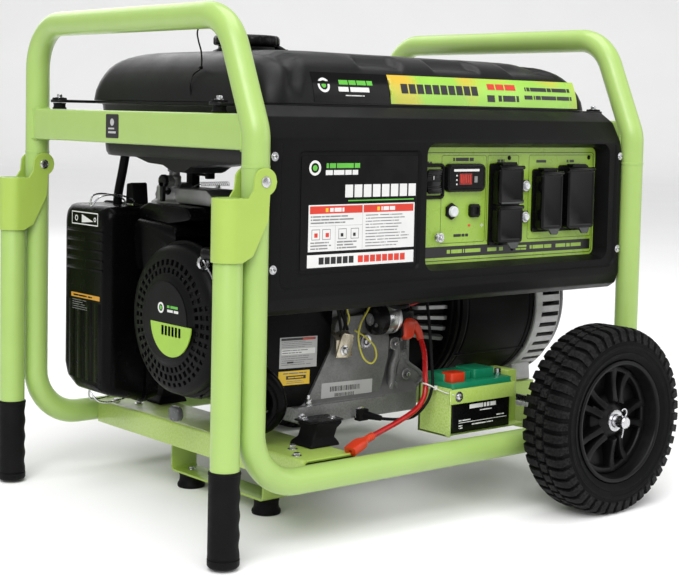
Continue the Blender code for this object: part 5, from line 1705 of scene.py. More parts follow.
    def band(self):
        """Printed band bent round the tank's front: plain mark, word bars and a colour blend."""
        low, high = 0.5265, 0.5625
        s = np.linspace(0, 1, 60)
        t = np.linspace(0, 1, 10)
        heights = low + (high - low) * t
        inset = np.interp(heights, [0.5243, 0.5285, 0.538, 0.55, 0.56, 0.568],
                          [0.0, 0.0005, 0.0018, 0.0052, 0.0095, 0.014])
        shift = 0.0004
        spans = ((-0.205, -0.083, 0), (-0.083, 0.262, 1))
        parts = []
        for x0, x1, mark in spans:
            x = x0 + (x1 - x0) * s
            front = TANK_Y[0] + inset[:, None] - shift + 0 * x[None]
            z = np.broadcast_to(heights[:, None], front.shape)
            outer = np.stack([np.broadcast_to(x, front.shape), front, z], -1)
            parts.append((*sheet(outer, outer + np.array([0, 0.0006, 0])), mark))
        parts += self.band_print()
        piece("tank_band", parts, ["black_gloss", "band_print", "white_print", "green_print",
                                   "black_print", "red_print"])

    def band_print(self):
        """Bars on the band: each row stands off the leaning surface at its own height."""
        parts = []
        rows = [(-0.164, -0.108, 0.548, 0.5545, 3, 5), (-0.166, -0.115, 0.5395, 0.546, 2, 6),
                (-0.156, -0.125, 0.5345, 0.536, 2, 7)]
        rows += [(0.09, 0.146, 0.548, 0.557, 5, 9), (0.108, 0.15, 0.533, 0.542, 4, 10)]
        rows += [(0.158, 0.252, 0.548, 0.554, 4, 11), (0.158, 0.254, 0.537, 0.543, 4, 12)]
        for left, right, low, high, mark, seed in rows:
            patches = text_bars(left, 0, right, high - low, 1, 1, mark, seed=seed, fill=0.9,
                                ragged=0.02)
            parts += self.leaning(patches, low, high)
        edges = np.linspace(-0.065, 0.072, 11)
        patches = [(a + 0.0012, 0, b - 0.0012, 0.0125, 1, 4) for a, b in zip(edges, edges[1:])]
        parts += self.leaning(patches, 0.54, 0.5525)
        parts += self.leaning([(0.087, 0, 0.101, 0.009, 1, 4)], 0.5325, 0.5415)
        middle = (-0.188, 0.547)
        lean = math.atan2(0.0095 - 0.0018, 0.022)
        ring = disc_print(middle, 0.0092, 0.006, TANK_Y[0] + 0.004, 1, 2)
        dot = disc_print(middle, 0.0034, 0, TANK_Y[0] + 0.004, 1, 3)
        centre = (middle[0], TANK_Y[0] + 0.004, middle[1])
        for part in (ring, dot):
            leaned = rotated(part[:2], -lean, "X", centre)
            parts.append((*leaned, part[2]))
        return parts

    def leaning(self, patches, low, high):
        """Patches whose face follows the band's slope between two heights."""
        depth = np.interp([low, high], [0.5243, 0.5285, 0.538, 0.55, 0.56],
                          [0.0, 0.0005, 0.0018, 0.0052, 0.0095])
        up = unit(np.array([0, depth[1] - depth[0], high - low]))
        out = np.cross((-1, 0, 0), up)
        out = -out if out[1] > 0 else out
        corner = (0, TANK_Y[0] + depth[0] - 0.0006, low)
        return print_plate(corner, (1, 0, 0), up, out, patches)

    def cap(self):
        """Filler cap with a gripped rim of shallow flutes, and the gasket below it."""
        low, high = span("fuel_cap")
        x, y = FILLER
        r = (high[0] - low[0]) / 2
        angle = np.arange(144) * 2 * PI / 144
        profile = np.array(
            [(0.0, low[2]), (r - 0.003, low[2]), (r - 0.001, low[2] + 0.0006), (r, low[2] + 0.002),
             (r, high[2] - 0.0045), (r - 0.0012, high[2] - 0.0018), (r - 0.0032, high[2] - 0.0003),
             (r - 0.006, high[2]), (r - 0.013, high[2] - 0.0002), (r - 0.015, high[2] - 0.0014),
             (0.0, high[2] - 0.0016)])
        flute = 0.0011 * np.clip(np.cos(18 * angle), 0, 1) ** 2
        weight = np.array([0, 0, 0.5, 1, 1, 0.7, 0.2, 0, 0, 0, 0])
        radius = profile[:, :1] - flute[None] * weight[:, None]
        grid = np.stack([x + radius * np.cos(angle), y + radius * np.sin(angle),
                         np.broadcast_to(profile[:, 1:], radius.shape)], -1)
        bar = block((x - 0.026, y - 0.0055, high[2] - 0.003),
                    (x + 0.026, y + 0.0055, high[2] - 0.0001))
        piece("filler_cap", [skin(grid), bar], "black_satin", body="fuel_cap",
              stands_for="fuel_cap", sharp=46)
        low, high = span("filler_gasket")
        ring = [(0.028, low[2]), (0.0365, low[2]), (0.0372, (low[2] + high[2]) / 2),
                (0.0365, high[2]), (0.028, high[2]), (0.0275, (low[2] + high[2]) / 2)]
        piece("cap_gasket", [turned(ring, (x, y, 0), "Z", 64, ring=True)], "rubber",
              body="cap_lift", stands_for="filler_gasket", sharp=60)

    def tether(self):
        """Thin cord clipped between the tank's end and the hoop bar."""
        line = smooth_route(
            [(-0.276, -0.05, 0.5245), (-0.2765, -0.047, 0.545), (-0.272, -0.048, 0.558),
             (-0.27, -0.06, 0.566), (-0.282, -0.078, 0.583), (-0.298, -0.095, 0.596),
             (-0.309, -0.108, 0.605), (-0.3125, -0.116, 0.612)], 80)
        knot = turned([(0, -0.003), (0.0022, -0.0018), (0.0026, 0), (0.0022, 0.0018), (0, 0.003)],
                      (-0.2702, -0.06, 0.566), "Y", 16)
        piece("cap_tether", [pipe(line, 0.001, (0.2, 0.9, 0.1), 10), knot], "black_satin")

    def hose(self):
        """Thick vapour hose that arches along the tank's crown to its valve stub."""
        line = smooth_route([(-0.105, -0.02, 0.5895), (-0.112, -0.008, 0.597),
                             (-0.108, 0.02, 0.601), (-0.09, 0.055, 0.601), (-0.06, 0.09, 0.6),
                             (-0.03, 0.115, 0.596), (-0.01, 0.13, 0.5885)], 90)
        parts = [pipe(line, 0.0044, (0, 0, 1), 18)]
        for spot in (line[6], line[-8]):
            parts.append(turned([(0, -0.003), (0.006, -0.003), (0.0066, 0), (0.006, 0.003),
                                 (0, 0.003)], spot, "Z", 20))
        piece("vapour_hose", parts, "rubber")

    def valve(self):
        """Fuel valve under the sump: cast body with a hex cap, side boss, spout and lever."""
        low, high = span("fuel_valve_body")
        x, y = -0.24, 0.04
        profile = [(0, 0.412), (0.006, 0.412), (0.0072, 0.413), (0.0072, 0.416), (0.0086, 0.4168),
                   (0.0088, 0.427), (0.007, 0.429), (0.007, 0.433), (0.009, 0.434),
                   (0.009, high[2]), (0, high[2])]
        parts = [turned(profile, (x, y, 0), "Z", 32)]
        parts.append(turned([(0, 0), (0.0078, 0), (0.008, 0.0012), (0.008, 0.014), (0, 0.014)],
                            (x - 0.014, y, 0.421), "X", 28))
        spout = smooth_route([(x, y + 0.004, 0.419), (x, y + 0.014, 0.417), (x, y + 0.02, 0.408)],
                             16)
        parts.append(pipe(spout, 0.003, (1, 0, 0), 14))
        piece("valve_body", parts, "cast", stands_for="fuel_valve_body",
              bevel=0.0003)
        low, high = span("fuel_valve_lever")
        disc = [(0, low[0]), (0.0074, low[0]), (0.0084, low[0] + 0.0012), (0.0085, high[0]),
                (0, high[0])]
        blade = fillet([(y - 0.0045, 0.42), (y - 0.0026, low[2]), (y + 0.0026, low[2]),
                        (y + 0.0045, 0.42)], np.array([0.0003, 0.002, 0.002, 0.0003]), 4)
        piece("valve_lever",
              [turned(disc, (0, y, 0.4215), "X", 32), prism(blade, low[0], high[0] - 0.001, "X")],
              "black_satin", body="fuel_valve_lever", stands_for="fuel_valve_lever",
              bevel=0.0005)


# ---------------------------------------------------------------- engine

CASE_LOW, CASE_HIGH = span("crankcase")
SHAFT = ((span("recoil_cover")[0] + span("recoil_cover")[1]) / 2)[1:]
CASE_FACE = -0.1405


def boss(x, z, radius, back, front, hole=0.0):
    """Round cast boss whose front edge is broken, on a face that looks to -y."""
    profile = [(0, back), (radius * 1.25, back), (radius, back - 0.3 * abs(back - front)),
               (radius, front + 0.0008), (radius - 0.0008, front)]
    profile += [(hole, front), (hole, front + 0.006), (0, front + 0.006)] if hole else [(0, front)]
    return turned(profile, (x, 0, z), "Y", 28)


class EngineOperator(bpy.types.Operator):
    """Make the engine: crankcase, head, blower, recoil starter, air cleaner and muffler"""
    bl_idname = "generator.engine"
    bl_label = "Engine"

    def execute(self, context):
        self.crankcase()
        self.case_fittings()
        self.case_label()
        self.head()
        self.blower()
        self.side_shroud()
        self.recoil()
        self.recoil_badge()
        self.recoil_grip()
        self.flywheel()
        self.air_cleaner()
        self.air_cleaner_prints()
        self.carburetor()
        self.throttle()
        self.muffler()
        self.mounts()
        return {"FINISHED"}

    def crankcase(self):
        """Case outline carried along x with drawn-in ends; ribs, pads and bosses stand on it."""
        corners = [(-0.145, 0.122), (0.125, 0.122), (0.125, 0.148), (0.1, 0.16), (0.1, 0.21),
                   (0.1495, 0.25), (0.0995, 0.355), (-0.02, 0.365), (-0.085, 0.345),
                   (-0.118, 0.305), (-0.128, 0.262), (-0.128, 0.165), (-0.145, 0.148)]
        radii = np.array([0.003, 0.003, 0.003, 0.004, 0.01, 0.003, 0.003, 0.02, 0.02, 0.018, 0.014,
                          0.01, 0.003])
        outline = fillet(corners, radii, 5)
        x0, x1 = CASE_LOW[0] + 0.001, CASE_HIGH[0]
        centre = np.array([-0.02, 0.24])
        rings = [placed(centre + (outline - centre) * shrink, x, "X")
                 for x, shrink in ((x0, 0.965), (x0 + 0.003, 0.99), (x0 + 0.008, 1.0),
                                   (x1 - 0.008, 1.0), (x1 - 0.003, 0.99), (x1, 0.965))]
        bore = turned([(0, x0 - 0.02), (0.0265, x0 - 0.02), (0.0265, x1 + 0.02), (0, x1 + 0.02)],
                      (0, *SHAFT), "X", 40)
        piece("engine_case", [skin(np.array(rings))], "cast", stands_for="crankcase",
              cuts=[("DIFFERENCE", [bore])], sharp=40)
        parts = []
        pad = [(-0.16, 0.146), (-0.118, 0.218), (-0.11, 0.254), (-0.025, 0.256), (-0.02, 0.23),
               (-0.0225, 0.195), (-0.034, 0.156), (-0.033, 0.146)]
        radii = np.array([0.002, 0.012, 0.012, 0.006, 0.012, 0.015, 0.006, 0.002])
        parts.append(prism(fillet(pad, radii, 5), CASE_FACE, -0.12, "Y"))
        parts.append(prism(rectangle((-0.1785, 0.1265), (-0.03, 0.1472), 0.0025), -0.1495, -0.12,
                           "Y"))
        rib_x = np.array([-0.008, 0.006, 0.019])
        for k, x in enumerate(rib_x):
            parts.append(block((x - 0.0018, -0.1375 + 0.002 * k, 0.226 - 0.012 * k),
                               (x + 0.0018, -0.12, 0.262 - 0.003 * k)))
        parts.append(boss(-0.01, 0.213, 0.0085, -0.126, -0.14, 0.003))
        parts.append(boss(0.014, 0.17, 0.0075, -0.126, -0.138, 0.003))
        parts.append(boss(-0.0653, 0.2211, 0.01, -0.1385, -0.144))
        parts.append(boss(-0.01, 0.156, 0.007, -0.126, -0.14, 0.0026))
        arm = smooth_route(
            [(-0.0067, -0.134, 0.225), (-0.003, -0.135, 0.2), (-0.009, -0.135, 0.182),
             (-0.0105, -0.135, 0.165), (-0.0135, -0.135, 0.148)], 40)
        parts.append(pipe(arm, 0.0056, (0, 1, 0), 16))
        wing = fillet([(-0.0015, 0.144), (0.015, 0.143), (0.03, 0.148), (0.049, 0.16),
                       (0.04, 0.172), (0.02, 0.185), (0.01, 0.202), (0.006, 0.198), (0.0015, 0.18),
                       (-0.001, 0.164)], 0.0025, 4)
        parts.append(prism(wing, -0.134, -0.11, "Y"))
        rim = smooth_route(
            [(0.015, -0.133, 0.145), (0.031, -0.133, 0.15), (0.047, -0.133, 0.1605),
             (0.039, -0.133, 0.1715), (0.02, -0.133, 0.184), (0.0105, -0.133, 0.199)], 40)
        parts.append(pipe(rim, 0.003, (0, 1, 0), 12))
        piece("case_relief", parts, "cast", bevel=0.0009, sharp=40)

    def case_fittings(self):
        """Bolts, drain plugs, dipstick cap and the folded bracket on the case's front."""
        stud = (-0.1575, -0.143, 0.147)
        parts = bolt(stud, "Z", 0.0072, 0.0085)
        parts.append(turned([(0, 0.0075), (0.0032, 0.0075), (0.0032, 0.0135), (0.0026, 0.0141),
                             (0, 0.0141)], stud, "Z", 18))
        parts += bolt((-0.1725, -0.1495, 0.133), "Y", 0.0062, 0.0055, -1)
        parts += bolt((-0.076, -0.1495, 0.129), "Y", 0.009, 0.0075, -1)
        parts.append(
            turned([(0.0055, -0.144), (0.0088, -0.144), (0.0092, -0.145), (0.0088, -0.147),
                    (0.0055, -0.1465)], (-0.0653, 0, 0.2211), "Y", 28, ring=True))
        parts += bolt((-0.0653, -0.144, 0.2211), "Y", 0.005, 0.004, -1, washer=False)
        parts += bolt((-0.1075, -0.1525, 0.214), "Y", 0.0062, 0.005, -1)
        parts += bolt((-0.01, -0.14, 0.213), "Y", 0.0048, 0.004, -1, washer=False)
        parts += bolt((0.014, -0.138, 0.17), "Y", 0.0046, 0.004, -1, washer=False)
        parts += bolt((-0.168, 0.126, 0.134), "Y", 0.0066, 0.0055, 1)
        parts += bolt((-0.04, 0.126, 0.134), "Y", 0.0066, 0.0055, 1)
        piece("case_bolts", parts, "zinc", bevel=0.0003)
        fold = [(-0.1505, 0.2045), (-0.1505, 0.227), (-0.1465, 0.233), (-0.135, 0.24),
                (-0.13, 0.248), (-0.1285, 0.247), (-0.133, 0.238), (-0.145, 0.231),
                (-0.148, 0.226), (-0.148, 0.2045)]
        parts = [prism(fillet(fold, 0.001, 3), -0.119, -0.093, "X"),
                 prism(fillet([(-0.1215, 0.2055), (-0.099, 0.204), (-0.09, 0.232), (-0.11, 0.236)],
                              0.0045, 5), -0.1525, -0.15, "Y")]
        piece("lift_bracket", parts, "zinc_warm", bevel=0.0005)
        cap = [(0, 0), (0.0145, 0), (0.015, -0.003), (0.014, -0.009), (0.008, -0.011),
               (0, -0.0112)]
        dip = turned(cap, (-0.15, 0.127, 0.165), "Y", 12)
        tab = block((-0.153, 0.129, 0.157), (-0.147, 0.142, 0.173))
        flip = rotated(dip, PI, "Z", (-0.15, 0.127, 0.165))
        piece("oil_cap", [flip, tab], "battery_black", bevel=0.0008)

    def case_label(self):
        """Silver-white label with upright bars of several widths, and two lines of bars."""
        random = np.random.default_rng(4)
        base = (-0.1345, CASE_FACE, 0.1455)
        up = unit(np.array([0.03, 0, 1.0]))
        right = unit(np.array([1.0, 0, -0.02]))
        patches = [(0, 0, 0.085, 0.0265, 0, 1)]
        edge = 0.014
        while edge < 0.064:
            width = random.choice([0.0006, 0.001, 0.0016])
            patches.append((edge, 0.015, edge + width, 0.0215, 1, 2))
            edge += width + random.choice([0.0008, 0.0012])
        edge = 0.022
        while edge < 0.054:
            width = random.choice([0.0006, 0.001, 0.0014])
            patches.append((edge, 0.008, edge + width, 0.0125, 1, 2))
            edge += width + random.choice([0.0008, 0.0012])
        patches += text_bars(0.028, 0.002, 0.05, 0.005, 1, 1, 2, seed=4, fill=0.6)
        parts = print_plate(base, right, up, (0, -1, 0), patches)
        piece("case_label", parts, ["cast", "label_grey", "black_print"])

    def head(self):
        """Leaning barrel fins, head and rocker cover, drawn upright and then leaned."""
        foot = np.array([0.15, 0.25])
        top = np.array([0.1, 0.355])
        rise = (top - foot) / np.linalg.norm(top - foot)
        out = np.array([rise[1], -rise[0]])
        length = np.linalg.norm(top - foot)
        x0, x1 = -0.135, -0.015

        def slab(near, far, low, high, grow=0.0, radius=0.006):
            a = foot + out * near
            points = [a + rise * low, a + out * (far - near) + rise * low, a + out * (far - near)
                      + rise * high, a + rise * high]
            return prism(fillet(points, radius, 4), x0 - grow, x1 + grow, "X")

        parts = [slab(0.0006, 0.036, 0.01, length - 0.01, -0.006)]
        for k in range(6):
            near = 0.0015 + 0.0058 * k
            parts.append(slab(near, near + 0.0022, 0.001, length - 0.001, 0.0, 0.012))
        parts.append(slab(0.0365, 0.0405, 0.006, length - 0.006, -0.002, 0.01))
        piece("head_fins", parts, "cast", stands_for="cylinder_head",
              bevel=0.0005, sharp=40)
        cover = [slab(0.041, 0.056, 0.012, length - 0.012, -0.006, 0.014),
                 slab(0.04, 0.0425, 0.008, length - 0.008, -0.003, 0.012)]
        piece("rocker_cover", cover, "engine_black", bevel=0.0025, segments=3,
              sharp=40)
        bolts = []
        for x in (x0 + 0.012, x1 - 0.012):
            for along in (0.016, length - 0.016):
                spot = foot + out * 0.0425 + rise * along
                head = bolt((x, 0, 0), "Y", 0.0048, 0.0048, 1)
                lean = math.atan2(out[1], out[0])
                bolts += [moved(rotated(b, lean, "X"), (0, spot[0], spot[1])) for b in head]
        spot = foot + out * 0.03 + rise * (length - 0.002)
        plug = [(0, 0), (0.0075, 0), (0.0075, 0.006), (0.005, 0.008), (0.005, 0.016), (0, 0.016)]
        lean = math.atan2(rise[1], rise[0]) - PI / 2
        bolts.append(moved(rotated(turned(plug, (0, 0, 0), "Z", 20), lean, "X"),
                           (-0.06, spot[0], spot[1])))
        piece("head_bolts", bolts, "zinc", bevel=0.0003)

    def blower(self):
        """Shroud outline carried along x with a rolled edge, hollowed for the flywheel."""
        y, z = SHAFT
        radius = 0.102
        arc = arc_points((0, y, z), radius, 130, 330, "X", 40)[:, 1:]
        corners = np.array([(0.092, 0.3), (0.098, 0.372), (-0.04, 0.366)])
        outline = np.concatenate([arc, fillet(corners, 0.012, 5)])
        low, high = span("blower_housing")
        centre = np.array([y, z])
        rings = [
            placed(centre + (outline - centre) * shrink, x, "X")
            for x, shrink in ((low[0], 0.955), (low[0] + 0.0012, 0.975), (low[0] + 0.005, 0.992),
                              (low[0] + 0.01, 1.0), (high[0] - 0.006, 1.0), (high[0], 0.985))]
        room = turned([(0, low[0] - 0.01), (0.0915, low[0] - 0.01), (0.0915, high[0] - 0.003),
                       (0, high[0] - 0.003)], (0, y, z), "X", 64)
        bore = turned([(0, low[0]), (0.0275, low[0]), (0.0275, high[0] + 0.01),
                       (0, high[0] + 0.01)], (0, y, z), "X", 40)
        piece("blower_shroud", [skin(np.array(rings))], "engine_black",
              stands_for="blower_housing", sharp=42,
              cuts=[("DIFFERENCE", [room]), ("DIFFERENCE", [bore])])
        parts = []
        for angle in (150, 200, 250, 300, 60):
            spot = arc_points((0, y, z), 0.0985, angle, angle + 1, "X", 2)[0]
            parts += bolt((low[0] - 0.0004, spot[1], spot[2]), "X", 0.0042, 0.0036, -1)
        piece("blower_screws", parts, "black_satin", bevel=0.0003)
        slab = fillet([(0.02, 0.366), (0.088, 0.372), (0.09, 0.384), (0.07, 0.392), (-0.02, 0.39),
                       (-0.035, 0.376)], 0.006, 5)
        piece("duct_top", [prism(slab, low[0] + 0.006, high[0] + 0.02, "X")], "engine_black",
              bevel=0.0025, segments=3, sharp=40)

    def side_shroud(self):
        """Sheet cover beside the case, with a pale ruled label and a yellow label below it."""
        outline = fillet([(-0.266, 0.148), (-0.169, 0.149), (-0.1265, 0.218), (-0.123, 0.272),
                          (-0.13, 0.295), (-0.266, 0.295)], 0.008, 5)
        parts = [prism(outline, -0.148, -0.138, "Y")]
        duct = smooth_route(
            [(-0.25, -0.14, 0.202), (-0.232, -0.152, 0.192), (-0.218, -0.157, 0.172),
             (-0.215, -0.156, 0.15), (-0.222, -0.146, 0.133), (-0.23, -0.128, 0.124)], 40)
        parts.append(pipe(duct, 0.0105, (0, 1, 0), 20))
        piece("side_shroud", parts, "engine_black", bevel=0.0018, segments=3,
              sharp=40)
        white, pale, yellow, black, red, grey = 1, 2, 3, 4, 5, 6
        patches = [(0, 0, 0.059, 0.0385, 0, pale), (0.002, 0.0345, 0.056, 0.0375, 1, black),
                   (0.036, 0.035, 0.055, 0.037, 2, red), (0.003, 0.017, 0.056, 0.024, 1, white)]
        patches += text_bars(0.003, 0.025, 0.055, 0.034, 4, 1, grey, seed=31, fill=0.35)
        patches += text_bars(0.004, 0.0175, 0.048, 0.0235, 2, 2, grey, seed=32, fill=0.4)
        patches += text_bars(0.003, 0.003, 0.054, 0.016, 5, 1, grey, seed=33, fill=0.35)
        patches += [(0.012, 0.006, 0.022, 0.008, 2, black)]
        parts = print_plate((-0.208, -0.148, 0.1985), (1, 0, -0.03), (0.02, 0, 1), (0, -1, 0),
                            patches)
        patches = [(0.001, 0, 0.05, 0.0175, 0, yellow), (0.013, 0.007, 0.044, 0.0115, 1, black)]
        patches += text_bars(0.008, 0.0125, 0.046, 0.0165, 1, 1, grey, seed=34, fill=0.4)
        patches += text_bars(0.014, 0.0015, 0.042, 0.0055, 2, 1, grey, seed=35, fill=0.4)
        patches += text_bars(0.016, 0.008, 0.042, 0.0105, 1, 2, yellow, seed=36, fill=0.6)
        parts += print_plate((-0.21, -0.148, 0.1775), (1, 0, -0.03), (0.02, 0, 1), (0, -1, 0),
                             patches)
        piece("shroud_labels", parts, ["engine_black", "white_print", "label_grey", "yellow_print",
                                       "black_print", "red_print", "grey_print"])

    def recoil(self):
        """Domed cover turned from its profile, with rings of small square air slots cut in it."""
        y, z = SHAFT
        low, high = span("recoil_cover")
        front, seat = low[0], high[0]
        profile = [
            (0, front), (0.03, front + 0.0002), (0.048, front + 0.0008), (0.052, front + 0.0016),
            (0.0545, front + 0.0034), (0.057, front + 0.0046), (0.06, front + 0.005),
            (0.07, front + 0.0064), (0.08, front + 0.008), (0.086, front + 0.0096),
            (0.0905, front + 0.0125), (0.0935, front + 0.0165), (0.0948, front + 0.021),
            (0.095, seat), (0.0925, seat), (0.0922, front + 0.022), (0.089, front + 0.016),
            (0.085, front + 0.0125), (0.06, front + 0.0078), (0.05, front + 0.004),
            (0, front + 0.003)]
        cutters = []
        for ring, count, half, reach in ((0.0625, 40, 0.0026, 0.0034), (0.0725, 42, 0.003, 0.0036),
                                         (0.0815, 44, 0.0028, 0.0026)):
            tool = block((front - 0.01, y - half, z + ring - reach),
                         (front + 0.02, y + half, z + ring + reach))
            angles = (np.arange(count) + (0.5 if count == 42 else 0)) * 2 * PI / count
            keep = np.cos(angles - 2.6) > (0.15 if count == 44 else -2)
            cutters += many(tool, angles[keep], "X", (0, y, z))
        body = turned(profile, (0, y, z), "X", 120)
        lip = turned([(0.095, seat - 0.0045), (0.0985, seat - 0.004), (0.0985, seat),
                      (0.095, seat)], (0, y, z), "X", 120, ring=True)
        piece("recoil_dome", [body], "black_cover", stands_for="recoil_cover",
              sharp=40, cuts=[("DIFFERENCE", cutters)])
        piece("recoil_lip", [lip], "black_cover")
        eye = turned([(0.0055, -0.003), (0.0085, -0.003), (0.0095, 0), (0.0085, 0.003),
                      (0.0055, 0.003), (0.0045, 0)], (front + 0.015, y - 0.062, z + 0.077), "Y",
                     24, ring=True)
        piece("rope_eye", [eye], "zinc")
        line = arc_points((front + 0.0185, y, z), 0.0962, 125, 165, "X", 40)
        piece("edge_wire", [pipe(line, 0.0013, (1, 0, 0), 8)], "zinc")
        tab = fillet([(y + 0.004 - 0.01, 0.14), (y + 0.004 - 0.012, 0.123),
                      (y + 0.004 + 0.01, 0.1215), (y + 0.004 + 0.012, 0.142)], 0.007, 6)
        piece("drain_tab", [prism(tab, -0.285, -0.276, "X")], "grey_tab",
              bevel=0.002, segments=3)

    def recoil_badge(self):
        """Badge on the dome: plain ring mark and bars above, a lime segment with bars below."""
        y, z = SHAFT
        y -= 0.014
        face = span("recoil_cover")[0][0] + 0.0008
        angle = np.radians(np.linspace(184, 356, 50))
        arc = np.column_stack([y + 0.045 * np.cos(angle), z + 0.044 * np.sin(angle)])
        segment = [prism(arc, face - 0.0013, face + 0.0002, "X")]
        disc = turned([(0, -0.0011), (0.0485, -0.0011), (0.049, -0.0007), (0.049, 0.001),
                       (0, 0.001)], (face, y + 0.014, z), "X", 72)
        parts = [(*disc, 0), (*segment[0], 1)]
        patches = text_bars(0.027, 0.0165, 0.052, 0.02, 1, 0, 3, seed=51, fill=0.9, ragged=0.02)
        patches += text_bars(0.0275, 0.0112, 0.053, 0.0148, 1, 0, 2, seed=52, fill=0.9,
                             ragged=0.02)
        patches += [(0.03 + 0.0075 * k, -0.018, 0.035 + 0.0075 * k, -0.006, 1, 4)
                    for k in range(-2, 4)]
        corner = (face - 0.0012, y + 0.035, z)
        parts += print_plate(corner, (0, -1, 0), (0, 0, 1), (-1, 0, 0), patches)
        mark = (y + 0.022, z + 0.0155)
        for outer, hole, number in ((0.0068, 0.0043, 2), (0.0026, 0, 3)):
            profile = [(hole, -0.0013), (outer, -0.0013), (outer, -0.0008), (hole, -0.0008)]
            parts.append((*turned(profile, (face, *mark), "X", 32, ring=hole > 0), number))
        piece("recoil_badge", parts, ["black_cover", "lime_badge", "white_print", "green_print",
                                      "black_print"])

    def recoil_grip(self):
        """Pull grip with a waist, and flats rolled into its ends."""
        low, high = span("recoil_grip")
        centre = (low + high) / 2
        half = (high[1] - low[1]) / 2
        s = np.linspace(-1, 1, 30)
        r = 0.0062 + 0.0023 * np.sqrt(np.maximum(1 - s ** 2, 0)) - 0.0008 * np.cos(s * PI)
        profile = np.column_stack(
            [np.concatenate([[0], r * np.clip((1 - np.abs(s)) * 12, 0.55, 1), [0]]),
             np.concatenate([[-half], s * half, [half]])])
        piece("pull_grip", [turned(profile, centre, "Y", 32)], "black_satin", body="recoil_grip",
              stands_for="recoil_grip", sharp=50)

    def flywheel(self):
        """Flywheel with fan blades on its face, and the crankshaft with the rotor's stack."""
        y, z = SHAFT
        low, high = span("flywheel")
        base = low[0] + 0.012
        profile = [(0.018, low[0]), (0.03, low[0]), (0.033, low[0] + 0.008), (0.05, base + 0.002),
                   (0.086, base + 0.002), (0.088, base + 0.004), (0.088, high[0]),
                   (0.018, high[0])]
        parts = [turned(profile, (0, y, z), "X", 72, ring=True)]
        blade = block((low[0] + 0.004, y - 0.0012, z + 0.052),
                      (base + 0.003, y + 0.0012, z + 0.084))
        blade = rotated(blade, 0.3, "X", (0, y, z + 0.052))
        parts += many(blade, np.arange(20) * PI / 10, "X", (0, y, z))
        piece("fan_wheel", parts, "cast", body="crank_train", stands_for="flywheel",
              sharp=40)
        low, high = span("crankshaft")
        start, end, r = low[0], high[0], 0.0172
        stator_low, stator_high = span("stator")
        a, b = stator_low[0] + 0.006, stator_high[0] - 0.006
        shaft = [(0, start), (0.0095, start), (0.0105, start + 0.001), (0.0105, start + 0.004),
                 (r, start + 0.004), (r, a - 0.004), (0.03, a - 0.004), (0.06, a + 0.002),
                 (0.074, a + 0.004), (0.0748, a + 0.01), (0.0748, b - 0.01), (0.074, b - 0.004),
                 (0.06, b - 0.002), (0.03, b + 0.003), (r, b + 0.004), (r, end - 0.001),
                 (r - 0.001, end), (0, end)]
        piece("crank_and_rotor", [turned(shaft, (0, y, z), "X", 64)], "iron_black",
              body="crank_train", stands_for="crankshaft", sharp=40)

    def air_cleaner(self):
        """Base and deep cover: outlines that draw in, louvres above, ribs below, a bent foot."""
        low, high = span("airbox_base")
        base = [self.box_ring(x, low, high, inset, 0.014)
                for x, inset in ((low[0], 0.0), (low[0] + 0.01, 0.0), (high[0] - 0.004, 0.0015),
                                 (high[0], 0.006))]
        lip = [self.box_ring(x, low, high, -grow, 0.014)
               for x, grow in ((low[0] - 0.0001, 0.0), (low[0] + 0.0004, 0.0022),
                               (low[0] + 0.005, 0.0022), (low[0] + 0.0054, 0.0))]
        piece("cleaner_base", [skin(np.array(base)), skin(np.array(lip))], "engine_black",
              stands_for="airbox_base", sharp=42)
        low, high = span("airbox_cover")
        rings = [self.box_ring(x, low, high, inset, radius)
                 for x, inset, radius in ((high[0], 0.0, 0.014), (low[0] + 0.016, 0.0, 0.014),
                                          (low[0] + 0.009, 0.0012, 0.015),
                                          (low[0] + 0.0045, 0.004, 0.016),
                                          (low[0] + 0.0018, 0.0078, 0.017),
                                          (low[0] + 0.0006, 0.011, 0.018),
                                          (low[0] + 0.0004, 0.015, 0.017))]
        parts = [skin(np.array(rings))]
        face = low[0] + 0.0006
        for k in range(5):
            top = 0.3515 - 0.0127 * k
            wedge = np.array([(face + 0.001, top + 0.0012), (face - 0.0007, top - 0.0006),
                              (face - 0.0008, top - 0.0022), (face + 0.001, top - 0.0085)])
            grid = np.array([np.column_stack([wedge[:, 0], np.full(4, y), wedge[:, 1]])
                             for y in (low[1] + 0.01, high[1] - 0.012)])
            parts.append(skin(grid))
        for y in (0.13, 0.152, 0.174, 0.196):
            parts.append(block((face - 0.0004, y - 0.0085, low[2] + 0.016),
                               (face + 0.0012, y + 0.0085, 0.254)))
        piece("cleaner_cover", parts, "engine_black", stands_for="airbox_cover",
              bevel=0.0007, sharp=42)
        clips = []
        for z, sign in ((high[2], 1), (low[2], -1)):
            x = low[0] + 0.014
            bow = smooth_route(
                [(x + 0.052, 0.146, z - sign * 0.004), (x + 0.046, 0.142, z + sign * 0.0075),
                 (x + 0.02, 0.14, z + sign * 0.014), (x - 0.002, 0.144, z + sign * 0.012),
                 (x - 0.01, 0.155, z - sign * 0.001), (x - 0.001, 0.166, z + sign * 0.012),
                 (x + 0.02, 0.17, z + sign * 0.014), (x + 0.046, 0.168, z + sign * 0.0075),
                 (x + 0.052, 0.164, z - sign * 0.004)], 90)
            clips.append(pipe(bow, 0.0013, (0, 0, 1), 8))
            clips.append(block((x + 0.048, 0.143, z - 0.008),
                               (x + 0.054, 0.167, z + 0.005 - sign * 0.003)))
        piece("cleaner_clips", clips, "zinc", bevel=0.0003)
        strut = smooth_route([(-0.24, 0.181, 0.378), (-0.24, 0.177, 0.4), (-0.24, 0.167, 0.43),
                              (-0.24, 0.158, 0.46)], 30)
        parts = [pipe(strut, 0.0062, (0, 1, 0), 18)]
        block_outline = fillet([(0.142, 0.384), (0.162, 0.384), (0.16, 0.412), (0.146, 0.414)],
                               0.003, 4)
        parts.append(prism(block_outline, -0.238, -0.214, "X"))
